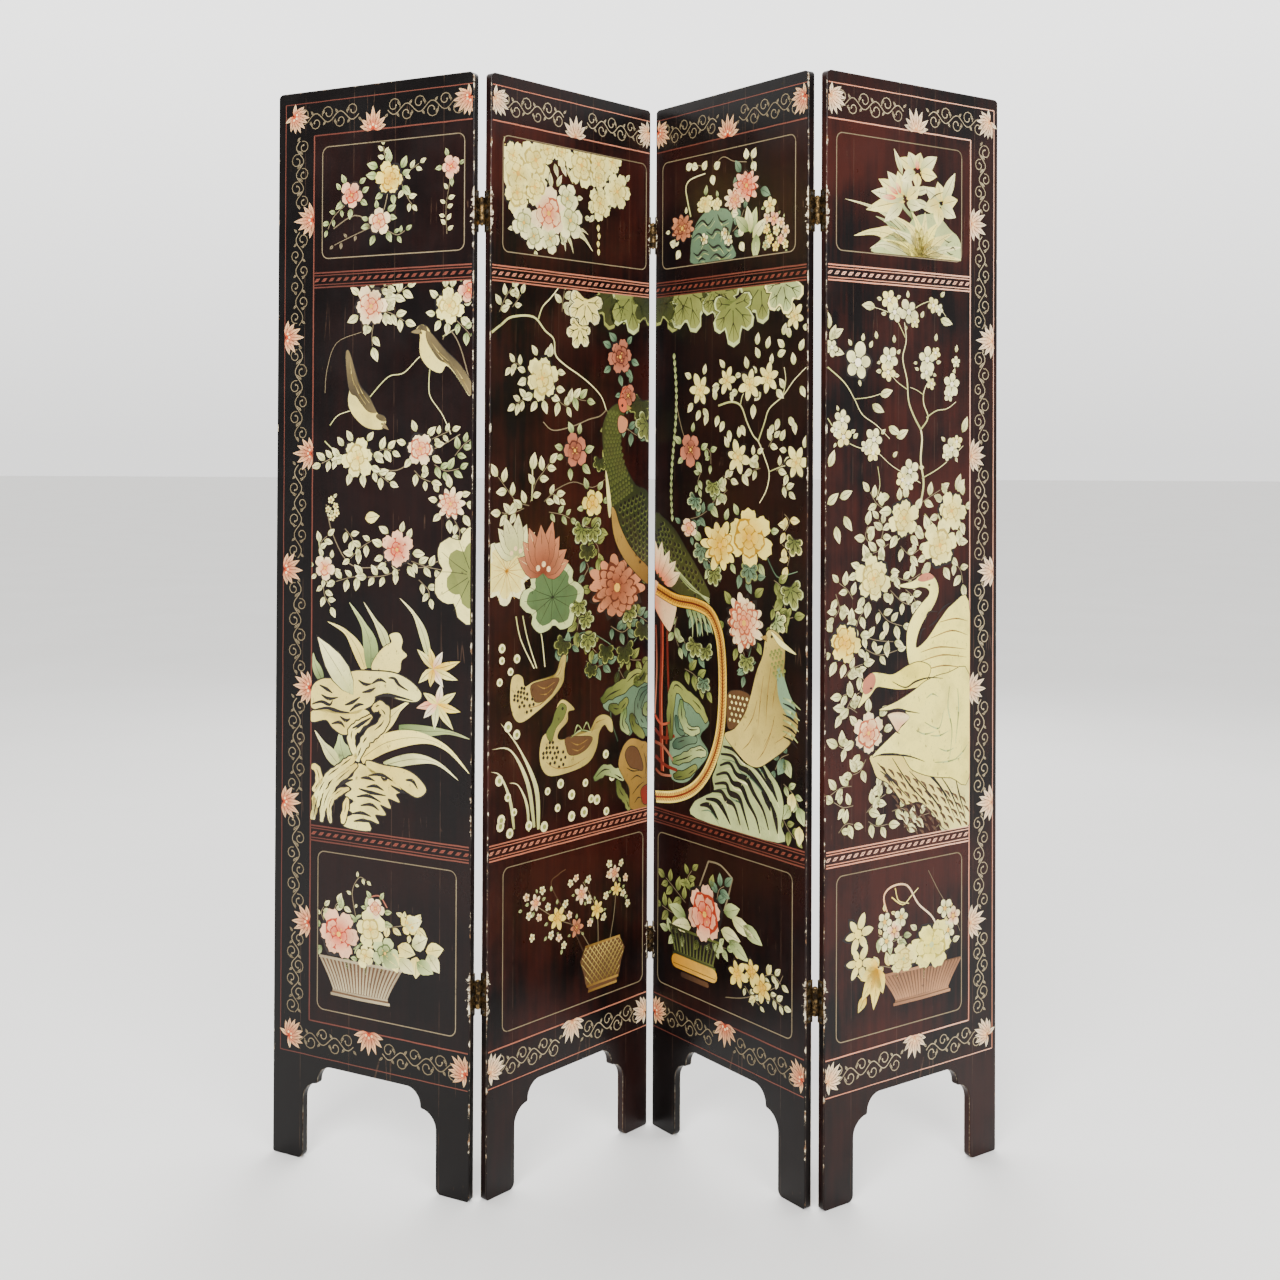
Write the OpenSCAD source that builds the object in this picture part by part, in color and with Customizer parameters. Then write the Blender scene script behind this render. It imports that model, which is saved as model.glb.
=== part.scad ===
// Four-panel folding screen: framed plank panels under a lacquered ground, hung on
// loose-pin knuckle hinges that fold the run like an accordion.
// +Z is up, the painted fronts face -Y, and the run of panels goes along +X.
// The origin is on the floor, at the middle of the standing screen.

/* [Panels] */
// Height of a panel, from the floor to its top edge
panel_h = 1830; // [1500:10:2200]
// Width of a panel
panel_w = 404; // [340:1:520]
// Thickness of a panel, ground included
panel_t = 14; // [12:0.5:22]
// Radius of the top corners, seen from the front
top_corner_r = 11; // [4:1:25]
// Radius of the softened long edges
arris_r = 2; // [0.5:0.25:3]

/* [Stance] */
// Turn of the first panel, from the line of the run
first_yaw = -28.5; // [-40:0.5:-15]
// Fold between the first and second panel, from flat
fold_12 = 77; // [50:1:110]
// Fold between the second and third panel, from flat
fold_23 = 103; // [70:1:130]
// Fold between the third and fourth panel, from flat
fold_34 = 89.5; // [60:0.5:120]

/* [Feet and apron] */
// Width of a leg
leg_w = 65; // [50:1:90]
// Clear height under the middle of the apron
apron_clear = 165; // [120:1:220]
// Radius of the lower bracket lobe, beside the leg
low_lobe_r = 31; // [20:1:40]
// Radius of the upper bracket lobe, under the apron
high_lobe_r = 28; // [18:1:40]
// Rounding of the cusp between the two lobes
cusp_r = 4; // [3:0.5:8]
// Radius of a foot's outer bottom corner
foot_outer_r = 7; // [3:1:15]
// Radius of a foot's inner bottom corner
foot_inner_r = 11; // [3:1:20]

/* [Framing] */
// Height of the top rail
top_rail_h = 74; // [50:1:110]
// Height of the solid apron rail above its bracket arch
apron_rail_h = 78; // [50:1:120]
// Length of the rail tenons
tenon_l = 34; // [15:1:45]
// Thickness of the tenons and tongues
tongue_t = 3.5; // [2.5:0.5:5]
// Length of the plank tongues
tongue_l = 6; // [4:0.5:10]
// Shoulder left above and below a tenon
tenon_shoulder = 12; // [8:1:20]
// Clearance of tongues and tenons in their grooves, each side
groove_fit = 0.1; // [0.05:0.05:0.3]
// Space left past the end of a tongue or tenon
groove_end_gap = 0.5; // [0.2:0.1:1]

/* [Lacquered ground] */
// Thickness of the lacquered ground on each face
ground_t = 1.5; // [0.8:0.1:2.5]
// Bare wood left at the sawn edges of the arch and feet
ground_setback = 0.8; // [0.2:0.1:2]

/* [Hinges] */
// Distance from the top edge down to the upper hinges' middle
upper_hinge_drop = 227; // [130:1:500]
// Height of the lower hinges' middle above the floor
lower_hinge_z = 332; // [300:1:500]
// Clear gap between two panels when the run is flat
panel_gap = 12; // [11.5:0.5:16]
// Clear gap between two panels when they are folded shut
shut_gap = 2.4; // [1.6:0.2:5]
// Height of a leaf plate
leaf_h = 68; // [60:1:90]
// Thickness of a leaf plate
leaf_t = 1.8; // [1.4:0.1:2.2]
// Depth that a leaf is let into the panel edge
leaf_inlet = 1.2; // [0.8:0.1:1.4]
// Edge of the panel left beside the leaf
leaf_margin = 2.5; // [2.2:0.1:4]
// Corner radius of a leaf plate
leaf_corner_r = 2; // [0.5:0.5:4]
// Height of the knuckle barrel
barrel_h = 44; // [35:1:56]
// Outer diameter of the knuckle barrel
barrel_d = 10; // [8:0.5:10]
// Number of knuckles in a barrel
knuckle_count = 5; // [3:2:7]
// Space between two knuckles
knuckle_gap = 0.3; // [0.2:0.05:0.6]
// Diameter of the hinge pin
pin_d = 4.4; // [3:0.1:5]
// Radial running clearance of the pin
pin_fit = 0.05; // [0.02:0.01:0.1]
// Diameter of the pin's button head
pin_head_d = 8; // [6:0.5:10]
// Height of the pin's button head
pin_head_h = 2.6; // [2:0.1:4]
// Length of the pin's rounded tip below the barrel
pin_tip_h = 2; // [1:0.5:5]

/* [Screws] */
// Number of screws in a leaf
screws_per_leaf = 3; // [2:1:4]
// Distance of the end screws from the ends of the leaf
screw_end = 6.5; // [5:0.5:9]
// Diameter of a screw's countersunk head
screw_head_d = 6.4; // [5:0.1:7]
// Diameter of a screw's shank
screw_shank_d = 3.2; // [2.5:0.1:4]
// Length of a screw under its head face
screw_l = 18; // [12:1:25]
// Width and depth of the screwdriver slot
screw_slot = 0.9; // [0.6:0.1:1.2]
// Radial clearance of a screw in its hole
screw_fit = 0.05; // [0.02:0.01:0.1]

/* [Hidden] */
$fn = 48;

panel_count = 4;
folds = [fold_12, fold_23, fold_34];
upper_hinge_z = panel_h - upper_hinge_drop;
hinge_heights = [upper_hinge_z, lower_hinge_z];

// How far a cutter runs past what it cuts
past = 5;

// Edges of the legs, and the arch and boards worked out from them
inner_left = leg_w;
inner_right = panel_w - leg_w;
cusp_rise = sqrt(low_lobe_r * low_lobe_r + 2 * low_lobe_r * cusp_r);
cusp_lean = atan2(cusp_r, cusp_rise);
high_lobe_z = apron_clear - high_lobe_r;
low_lobe_z = high_lobe_z - cusp_rise;
low_lobe_x = inner_left + low_lobe_r;
high_lobe_x = low_lobe_x + high_lobe_r;
arc_steps = 12;
apron_top = apron_clear + apron_rail_h;
top_rail_z = panel_h - top_rail_h;
plank_count = 3;
plank_w = (inner_right - inner_left) / plank_count;

// The pins stand in the gap, just outside the faces that fold together
pin_out = panel_gap / 2;
pin_proud = shut_gap / 2;
barrel_r = barrel_d / 2;
pin_r = pin_d / 2;
knuckle_pitch = barrel_h / knuckle_count;
leaf_w = panel_t - leaf_margin;
leaf_face = leaf_t - leaf_inlet;
leaf_stop = 0.3;
root_depth = 0.75 * barrel_r;
screw_pitch = (leaf_h - 2 * screw_end) / (screws_per_leaf - 1);

// Plan of the run. Joint j has its pin behind the panels when j is odd, and in front
// of them when j is even, so the panels fold back and forth in turn.
function along(i) = [cos(panel_yaw(i)), sin(panel_yaw(i))];
function inward(i) = [-sin(panel_yaw(i)), cos(panel_yaw(i))];
function pin_side(j) = j % 2 == 1 ? panel_t + pin_proud : -pin_proud;
function panel_yaw(i) =
    i == 1 ? first_yaw : panel_yaw(i - 1) + (i % 2 == 0 ? 1 : -1) * folds[i - 2];
function panel_corner(i) =
    i == 1 ? [0, 0] : pin_spot(i - 1) + pin_out * along(i) - pin_side(i - 1) * inward(i);
function pin_spot(j) =
    panel_corner(j) + (panel_w + pin_out) * along(j) + pin_side(j) * inward(j);

// Middle of the run's plan, taken at the rounded long edges of every panel
edge_centres = [
    for (i = [1 : panel_count], u = [arris_r, panel_w - arris_r], v = [arris_r, panel_t - arris_r])
        panel_corner(i) + u * along(i) + v * inward(i)
];
plan_x = [for (p = edge_centres) p.x];
plan_y = [for (p = edge_centres) p.y];
plan_middle = [(min(plan_x) + max(plan_x)) / 2, (min(plan_y) + max(plan_y)) / 2];

// Puts a panel's own frame in the run: x along its width, y from front to back
module on_panel(i) {
    spot = panel_corner(i) - plan_middle;
    translate([spot.x, spot.y, 0]) rotate([0, 0, panel_yaw(i)]) children();
}

// Turns a front-view outline into a slab between two depths
module slab(front, back) {
    translate([0, back, 0]) rotate([90, 0, 0]) linear_extrude(back - front) children();
}

// Rectangle given by its low and high corners
module area(low, high) {
    translate(low) square(high - low);
}

// Removes a square corner of the given radius, with the arc's centre at the origin
module corner_cutter(r) {
    difference() {
        square(r + past);
        circle(r);
    }
}

// Points of an arc in a front view; the first can be left out where another arc ends
function arc(centre, r, from, to, first = 0) = [
    for (k = [first : arc_steps])
        let (a = from + (to - from) * k / arc_steps) centre + r * [cos(a), sin(a)]
];

// Left edge of the opening under the apron, from the floor up: the foot's inner corner,
// the low lobe, the rounded cusp, the high lobe. A setback moves it into the wood.
function arch_side(setback) = concat(
    [[inner_left - foot_inner_r, -past]],
    arc([inner_left - foot_inner_r, foot_inner_r], foot_inner_r - setback, -90, 0),
    arc([low_lobe_x, low_lobe_z], low_lobe_r + setback, 180, 90 + cusp_lean),
    arc([low_lobe_x - cusp_r, high_lobe_z], cusp_r - setback, cusp_lean - 90, 0, 1),
    arc([high_lobe_x, high_lobe_z], high_lobe_r + setback, 180, 90, 1)
);

// Opening under the apron, the same on both sides
module arch_opening(setback) {
    left = arch_side(setback);
    right = [for (k = [len(left) - 1 : -1 : 0]) [panel_w - left[k].x, left[k].y]];
    polygon(concat(left, right));
}

// Front view of a whole panel
module panel_outline(setback) {
    difference() {
        area([0, 0], [panel_w, panel_h]);
        for (side = [0, 1]) translate([side * panel_w, 0]) mirror([side, 0]) {
            translate([top_corner_r, panel_h - top_corner_r]) mirror([1, 0])
                corner_cutter(top_corner_r);
            translate([foot_outer_r, foot_outer_r]) mirror([1, 0]) mirror([0, 1])
                corner_cutter(foot_outer_r);
        }
        arch_opening(setback);
    }
}

// Section of a panel with all four long edges softened
module softened_section(length) {
    difference() {
        square([length, panel_t]);
        for (s = [0, 1], t = [0, 1])
            translate([s * length, t * panel_t]) mirror([s, 0]) mirror([0, t])
                translate([arris_r, arris_r]) mirror([1, 0]) mirror([0, 1])
                    corner_cutter(arris_r);
    }
}

// Everything that a panel may fill: its outline, with the side and top edges softened
module panel_envelope(setback = 0) {
    intersection() {
        slab(0, panel_t) panel_outline(setback);
        linear_extrude(panel_h) softened_section(panel_w);
        translate([0, 0, -past]) mirror([1, 0, 0]) rotate([0, -90, 0])
            linear_extrude(panel_w) softened_section(panel_h + past);
    }
}

// Where the leaves of the joint on one edge of a panel are let in
module leaf_mortises(j, side) {
    for (z = hinge_heights) translate([side * panel_w, 0, z]) mirror([side, 0, 0]) {
        low_y = j % 2 == 1 ? leaf_margin : -past;
        high_y = j % 2 == 1 ? panel_t + past : leaf_w;
        translate([-past, low_y, -leaf_h / 2]) cube([past + leaf_inlet, high_y - low_y, leaf_h]);
    }
}

// Pilot holes for the screws of the joint on one edge of a panel
module pilot_holes(j, side) {
    for (z = hinge_heights) translate([side * panel_w, 0, z]) mirror([side, 0, 0])
        at_screws(j) rotate([0, 90, 0])
            cylinder(r = screw_shank_d / 2 + screw_fit, h = screw_l + groove_end_gap);
}

// Every hinge cut that a panel gets; the ends of the run have none
module hinge_cuts(i) {
    if (i > 1) {
        leaf_mortises(i - 1, 0);
        pilot_holes(i - 1, 0);
    }
    if (i < panel_count) {
        leaf_mortises(i, 1);
        pilot_holes(i, 1);
    }
}

// Places on the leaf's face, one for each screw, with x into the panel
module at_screws(j) {
    mid_y = j % 2 == 1 ? leaf_margin + leaf_w / 2 : leaf_w / 2;
    for (k = [0 : screws_per_leaf - 1])
        translate([-leaf_face, mid_y, k * screw_pitch - leaf_h / 2 + screw_end]) children();
}

// Tongue along the middle of the wood, between two corners seen from the front
module tongue(low, high) {
    slab(panel_t / 2 - tongue_t / 2, panel_t / 2 + tongue_t / 2) area(low, high);
}

// Groove or mortise that takes the same tongue, with its clearances
module groove(low, high) {
    slab(panel_t / 2 - tongue_t / 2 - groove_fit, panel_t / 2 + tongue_t / 2 + groove_fit)
        area(low, high);
}

// Board cut out of the envelope between two corners, between the two grounds
module board(low, high) {
    intersection() {
        panel_envelope();
        slab(ground_t, panel_t - ground_t) area(low, high);
    }
}

// Upright with its leg and foot, grooved for the planks, mortised for both rails
module stile(i, side) {
    reach = inner_left - tongue_l - groove_end_gap;
    mortise_x = inner_left - tenon_l - groove_end_gap;
    color("#2a1512") difference() {
        board([side * inner_right, 0], [side * inner_right + leg_w, panel_h]);
        translate([side * panel_w, 0, 0]) mirror([side, 0, 0]) {
            groove([reach, apron_top - past], [inner_left + past, top_rail_z + past]);
            groove([mortise_x, apron_clear + tenon_shoulder - groove_fit],
                   [inner_left + past, apron_top - tenon_shoulder + groove_fit]);
            groove([mortise_x, top_rail_z + tenon_shoulder - groove_fit],
                   [inner_left + past, panel_h - tenon_shoulder + groove_fit]);
        }
        hinge_cuts(i);
    }
}

// Rail across the top, tenoned into both stiles and grooved for the planks
module top_rail() {
    color("#2e1814") difference() {
        union() {
            board([inner_left, top_rail_z], [inner_right, panel_h]);
            tongue([inner_left - tenon_l, top_rail_z + tenon_shoulder],
                   [inner_right + tenon_l, panel_h - tenon_shoulder]);
        }
        groove([inner_left - past, top_rail_z - past],
               [inner_right + past, top_rail_z + tongue_l + groove_end_gap]);
    }
}

// Apron with its cusped bracket arch, tenoned into both stiles
module apron() {
    color("#331b16") difference() {
        union() {
            board([inner_left, low_lobe_z], [inner_right, apron_top]);
            tongue([inner_left - tenon_l, apron_clear + tenon_shoulder],
                   [inner_right + tenon_l, apron_top - tenon_shoulder]);
        }
        groove([inner_left - past, apron_top - tongue_l - groove_end_gap],
               [inner_right + past, apron_top + past]);
    }
}

// Upright plank of the infill: a groove on its left edge, a tongue on its right edge
module plank(k) {
    left = inner_left + k * plank_w;
    right = left + plank_w;
    first = k == 0;
    color("#3a2019") difference() {
        union() {
            board([left, apron_top], [right, top_rail_z]);
            tongue([first ? left - tongue_l : left, apron_top],
                   [right + tongue_l, top_rail_z]);
            tongue([left + tongue_l + groove_end_gap, apron_top - tongue_l],
                   [right, top_rail_z + tongue_l]);
        }
        if (!first)
            groove([left - past, apron_top - past],
                   [left + tongue_l + groove_end_gap, top_rail_z + past]);
    }
}

// Lacquered ground over one face, held back from the floor and the sawn edges
module ground(i, front, back) {
    color("#150c0b") difference() {
        intersection() {
            panel_envelope(ground_setback);
            slab(front, back) area([0, ground_setback], [panel_w, panel_h]);
        }
        hinge_cuts(i);
    }
}

module front_ground(i) {
    ground(i, 0, ground_t);
}

module back_ground(i) {
    ground(i, panel_t - ground_t, panel_t);
}

// One countersunk slotted screw, lying along x with its face at the origin
module screw() {
    cone_l = (screw_head_d - screw_shank_d) / 2;
    rotate([0, 90, 0]) difference() {
        union() {
            cylinder(r1 = screw_head_d / 2, r2 = screw_shank_d / 2, h = cone_l);
            cylinder(r = screw_shank_d / 2, h = screw_l);
        }
        translate([-screw_head_d, -screw_slot / 2, -past])
            cube([2 * screw_head_d, screw_slot, past + screw_slot]);
    }
}

// All the hinge screws of a panel
module screws(i) {
    color("#6b5a34") {
        if (i > 1) edge_screws(i - 1, 0);
        if (i < panel_count) edge_screws(i, 1);
    }
}

module edge_screws(j, side) {
    for (z = hinge_heights) translate([side * panel_w, 0, z]) mirror([side, 0, 0])
        at_screws(j) screw();
}

// Leaf plate with its rounded far corners, its face towards the neighbour
module leaf_plate() {
    translate([-leaf_face, 0, 0]) rotate([0, 90, 0]) linear_extrude(leaf_t) difference() {
        translate([-leaf_h / 2, -leaf_w]) square([leaf_h, leaf_w + pin_proud - leaf_stop]);
        for (end = [0, 1]) mirror([end, 0]) translate([leaf_h / 2, -leaf_w]) mirror([0, 1])
            translate([-leaf_corner_r, -leaf_corner_r]) corner_cutter(leaf_corner_r);
    }
}

// One knuckle and the root that joins it to its plate
module knuckle(k) {
    low = barrel_h / 2 - (k + 1) * knuckle_pitch + (k == knuckle_count - 1 ? 0 : knuckle_gap / 2);
    high = barrel_h / 2 - k * knuckle_pitch - (k == 0 ? 0 : knuckle_gap / 2);
    translate([-pin_out, pin_proud, low]) {
        cylinder(r = barrel_r, h = high - low);
        translate([0, -root_depth, 0]) cube([pin_out - leaf_face / 2, root_depth, high - low]);
    }
}

// Leaf on one edge of a panel, with x into the panel and y towards the pin. A left leaf
// has the knuckles from the top one on, a right leaf the ones between them.
module leaf_body(first_knuckle) {
    difference() {
        union() {
            leaf_plate();
            for (k = [first_knuckle : 2 : knuckle_count - 1]) knuckle(k);
        }
        translate([-pin_out, pin_proud, -barrel_h])
            cylinder(r = pin_r + pin_fit, h = 2 * barrel_h);
        for (k = [0 : screws_per_leaf - 1])
            translate([-leaf_face, -leaf_w / 2, k * screw_pitch - leaf_h / 2 + screw_end])
                countersink();
    }
}

// Hole in a leaf that seats one screw
module countersink() {
    mouth_r = screw_head_d / 2 + screw_fit;
    hole_r = screw_shank_d / 2 + screw_fit;
    rotate([0, 90, 0]) {
        translate([0, 0, -past]) cylinder(r = mouth_r, h = past);
        cylinder(r1 = mouth_r, r2 = hole_r, h = mouth_r - hole_r);
        cylinder(r = hole_r, h = leaf_t + past);
    }
}

// Puts a leaf on its panel edge: side 0 is the panel's left edge, side 1 its right
module on_edge(i, j, side, z) {
    odd = j % 2 == 1;
    on_panel(i) translate([side * panel_w, odd ? panel_t : 0, z])
        mirror([side, 0, 0]) mirror([0, odd ? 0 : 1, 0]) children();
}

module left_leaf(j, z) {
    color("#4a3d25") on_edge(j, j, 1, z) leaf_body(0);
}

module right_leaf(j, z) {
    color("#54462b") on_edge(j + 1, j, 0, z) leaf_body(1);
}

// Loose pin: a button head on the top knuckle, a shank, a rounded tip
module pin(j, z) {
    spot = pin_spot(j) - plan_middle;
    head_r = pin_head_d / 2;
    cap_r = (head_r * head_r + pin_head_h * pin_head_h) / (2 * pin_head_h);
    color("#8a7440") translate([spot.x, spot.y, z]) {
        translate([0, 0, -barrel_h / 2]) cylinder(r = pin_r, h = barrel_h);
        translate([0, 0, barrel_h / 2]) intersection() {
            translate([0, 0, pin_head_h - cap_r]) sphere(cap_r);
            cylinder(r = head_r, h = pin_head_h);
        }
        translate([0, 0, -barrel_h / 2 - pin_tip_h]) {
            translate([0, 0, pin_tip_h / 2]) cylinder(r = pin_r, h = pin_tip_h / 2);
            cylinder(r1 = pin_r / 2, r2 = pin_r, h = pin_tip_h / 2);
        }
    }
}

module panel_stile(i, side) {
    on_panel(i) stile(i, side);
}

panel_stile(1, 0);  // panel_1_left_stile
panel_stile(1, 1);  // panel_1_right_stile
on_panel(1) top_rail();  // panel_1_top_rail
on_panel(1) apron();  // panel_1_apron
on_panel(1) plank(0);  // panel_1_left_plank
on_panel(1) plank(1);  // panel_1_middle_plank
on_panel(1) plank(2);  // panel_1_right_plank
on_panel(1) front_ground(1);  // panel_1_front_ground
on_panel(1) back_ground(1);  // panel_1_back_ground
on_panel(1) screws(1);  // panel_1_screws

panel_stile(2, 0);  // panel_2_left_stile
panel_stile(2, 1);  // panel_2_right_stile
on_panel(2) top_rail();  // panel_2_top_rail
on_panel(2) apron();  // panel_2_apron
on_panel(2) plank(0);  // panel_2_left_plank
on_panel(2) plank(1);  // panel_2_middle_plank
on_panel(2) plank(2);  // panel_2_right_plank
on_panel(2) front_ground(2);  // panel_2_front_ground
on_panel(2) back_ground(2);  // panel_2_back_ground
on_panel(2) screws(2);  // panel_2_screws

panel_stile(3, 0);  // panel_3_left_stile
panel_stile(3, 1);  // panel_3_right_stile
on_panel(3) top_rail();  // panel_3_top_rail
on_panel(3) apron();  // panel_3_apron
on_panel(3) plank(0);  // panel_3_left_plank
on_panel(3) plank(1);  // panel_3_middle_plank
on_panel(3) plank(2);  // panel_3_right_plank
on_panel(3) front_ground(3);  // panel_3_front_ground
on_panel(3) back_ground(3);  // panel_3_back_ground
on_panel(3) screws(3);  // panel_3_screws

panel_stile(4, 0);  // panel_4_left_stile
panel_stile(4, 1);  // panel_4_right_stile
on_panel(4) top_rail();  // panel_4_top_rail
on_panel(4) apron();  // panel_4_apron
on_panel(4) plank(0);  // panel_4_left_plank
on_panel(4) plank(1);  // panel_4_middle_plank
on_panel(4) plank(2);  // panel_4_right_plank
on_panel(4) front_ground(4);  // panel_4_front_ground
on_panel(4) back_ground(4);  // panel_4_back_ground
on_panel(4) screws(4);  // panel_4_screws

left_leaf(1, upper_hinge_z);  // hinge_12_upper_left_leaf
right_leaf(1, upper_hinge_z);  // hinge_12_upper_right_leaf
pin(1, upper_hinge_z);  // hinge_12_upper_pin
left_leaf(1, lower_hinge_z);  // hinge_12_lower_left_leaf
right_leaf(1, lower_hinge_z);  // hinge_12_lower_right_leaf
pin(1, lower_hinge_z);  // hinge_12_lower_pin

left_leaf(2, upper_hinge_z);  // hinge_23_upper_left_leaf
right_leaf(2, upper_hinge_z);  // hinge_23_upper_right_leaf
pin(2, upper_hinge_z);  // hinge_23_upper_pin
left_leaf(2, lower_hinge_z);  // hinge_23_lower_left_leaf
right_leaf(2, lower_hinge_z);  // hinge_23_lower_right_leaf
pin(2, lower_hinge_z);  // hinge_23_lower_pin

left_leaf(3, upper_hinge_z);  // hinge_34_upper_left_leaf
right_leaf(3, upper_hinge_z);  // hinge_34_upper_right_leaf
pin(3, upper_hinge_z);  // hinge_34_upper_pin
left_leaf(3, lower_hinge_z);  // hinge_34_lower_left_leaf
right_leaf(3, lower_hinge_z);  // hinge_34_lower_right_leaf
pin(3, lower_hinge_z);  // hinge_34_lower_pin
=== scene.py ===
"""Looks of a four-fold lacquered folding screen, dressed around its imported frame.

Every panel keeps its own flat drawing, in millimetres from the panel's lower left front corner.
The ornament is inlaid: thin closed tiles of pigment that stand a hair proud of the lacquer.
"""

import logging
import math
import random
from dataclasses import dataclass
from enum import Enum
from typing import Any, Protocol, Sequence

import bpy
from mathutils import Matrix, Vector


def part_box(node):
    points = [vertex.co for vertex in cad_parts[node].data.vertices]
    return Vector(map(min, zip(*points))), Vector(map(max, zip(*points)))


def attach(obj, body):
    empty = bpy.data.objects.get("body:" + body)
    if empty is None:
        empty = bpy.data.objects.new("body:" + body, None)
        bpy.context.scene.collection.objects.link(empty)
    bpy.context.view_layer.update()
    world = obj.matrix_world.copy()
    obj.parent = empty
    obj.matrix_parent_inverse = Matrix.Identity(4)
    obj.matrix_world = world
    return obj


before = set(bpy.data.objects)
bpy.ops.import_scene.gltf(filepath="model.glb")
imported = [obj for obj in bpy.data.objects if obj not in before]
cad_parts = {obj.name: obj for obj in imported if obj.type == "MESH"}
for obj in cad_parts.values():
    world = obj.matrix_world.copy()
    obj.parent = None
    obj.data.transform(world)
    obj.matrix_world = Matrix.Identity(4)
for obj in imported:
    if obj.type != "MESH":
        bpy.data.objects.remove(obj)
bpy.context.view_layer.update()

log = logging.getLogger("folding_screen")

Point = tuple[float, float]
Place = tuple[float, float, float]
Colour = tuple[float, float, float]

DRAWN_WIDTH = 404.0
DRAWN_HEIGHT = 1830.0
METRE = 1000.0
FULL_TURN = 2 * math.pi


def linear(red: float, green: float, blue: float) -> Colour:
    """Turns a display colour of 0 to 255 into scene-linear values.

    Args:
        red: Red part.
        green: Green part.
        blue: Blue part.

    Returns:
        The three parts as the shader wants them.
    """
    # These are the numbers of the usual display curve.
    parts = [value / 255 for value in (red, green, blue)]
    return tuple(v / 12.92 if v < 0.04045 else ((v + 0.055) / 1.055) ** 2.4 for v in parts)


def blend(first: Colour, second: Colour, share: float) -> Colour:
    """Mixes two colours.

    Args:
        first: Colour at share 0.
        second: Colour at share 1.
        share: How far towards the second one.

    Returns:
        The colour between them.
    """
    return tuple(a + (b - a) * share for a, b in zip(first, second))


def around(centre: Point, angle: float, reach: float) -> Point:
    """Gives the point that lies a distance away in a direction.

    Args:
        centre: Where to start.
        angle: Direction in radians, counterclockwise from the panel's width.
        reach: Distance in millimetres.

    Returns:
        The point.
    """
    return centre[0] + reach * math.cos(angle), centre[1] + reach * math.sin(angle)


def heading(here: Point, after: Point) -> float:
    """Gives the direction from one point to another, in radians."""
    return math.atan2(after[1] - here[1], after[0] - here[0])


def crosswise(path: Sequence[Point], spot: int) -> Point:
    """Gives the direction straight across a line, to its left.

    Args:
        path: The line.
        spot: Number of the point on it.

    Returns:
        The direction, of length 1.
    """
    before, after = path[max(spot - 1, 0)], path[min(spot + 1, len(path) - 1)]
    length = math.dist(before, after) or 1
    return -(after[1] - before[1]) / length, (after[0] - before[0]) / length


def beside(point: Point, normal: Point, reach: float) -> Point:
    """Gives the point that lies a distance beside a line's point."""
    return point[0] + reach * normal[0], point[1] + reach * normal[1]


def shifted(points: Sequence[Point], across: float, up: float) -> tuple[Point, ...]:
    """Moves points by the same distance."""
    return tuple((x + across, z + up) for x, z in points)


def curve_through(points: Sequence[Point], steps: int, closed: bool = False) -> list[Point]:
    """Draws a smooth line through points, in even steps between each pair.

    Args:
        points: The points it passes.
        steps: Pieces between two points.
        closed: Whether it comes back to its start.

    Returns:
        The points of the smooth line.
    """
    count = len(points)
    spans = count if closed else count - 1
    line: list[Point] = []
    for span in range(spans):
        if closed:
            a, b, c, d = (points[(span + k) % count] for k in (-1, 0, 1, 2))
        else:
            a, b, c, d = (points[min(max(span + k, 0), count - 1)] for k in (-1, 0, 1, 2))
        for step in range(steps):
            t = step / steps
            line.append(tuple(
                0.5 * (2 * b[k] + (c[k] - a[k]) * t + (2 * a[k] - 5 * b[k] + 4 * c[k] - d[k]) * t * t
                       + (3 * b[k] - a[k] - 3 * c[k] + d[k]) * t ** 3)
                for k in (0, 1)))
    if not closed:
        line.append(tuple(points[-1]))
    return line


def grown(outline: Sequence[Point], width: float) -> list[Point]:
    """Moves a closed outline outwards.

    Args:
        outline: The outline.
        width: How far, in millimetres.

    Returns:
        The wider outline.
    """
    count = len(outline)
    area = sum(outline[k - 1][0] * outline[k][1] - outline[k][0] * outline[k - 1][1]
               for k in range(count))
    sign = 1 if area > 0 else -1
    wider = []
    for k, point in enumerate(outline):
        before, after = outline[k - 1], outline[(k + 1) % count]
        length = math.dist(before, after) or 1
        normal = ((after[1] - before[1]) / length, -(after[0] - before[0]) / length)
        wider.append(tuple(point[a] + sign * width * normal[a] for a in (0, 1)))
    return wider


@dataclass(frozen=True)
class Pigment:
    """A ground pigment, with its tint in the heart of a shape and at the rim.

    Attributes:
        heart: Colour at the heart of a tile.
        rim: Colour at its rim.
    """

    heart: Colour
    rim: Colour

    def tint(self, share: float, tone: float) -> Colour:
        """Mixes the pigment.

        Args:
            share: How far from the heart's tint to the rim's.
            tone: Factor on the brightness.

        Returns:
            The colour.
        """
        return tuple(tone * part for part in blend(self.heart, self.rim, share))


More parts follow.
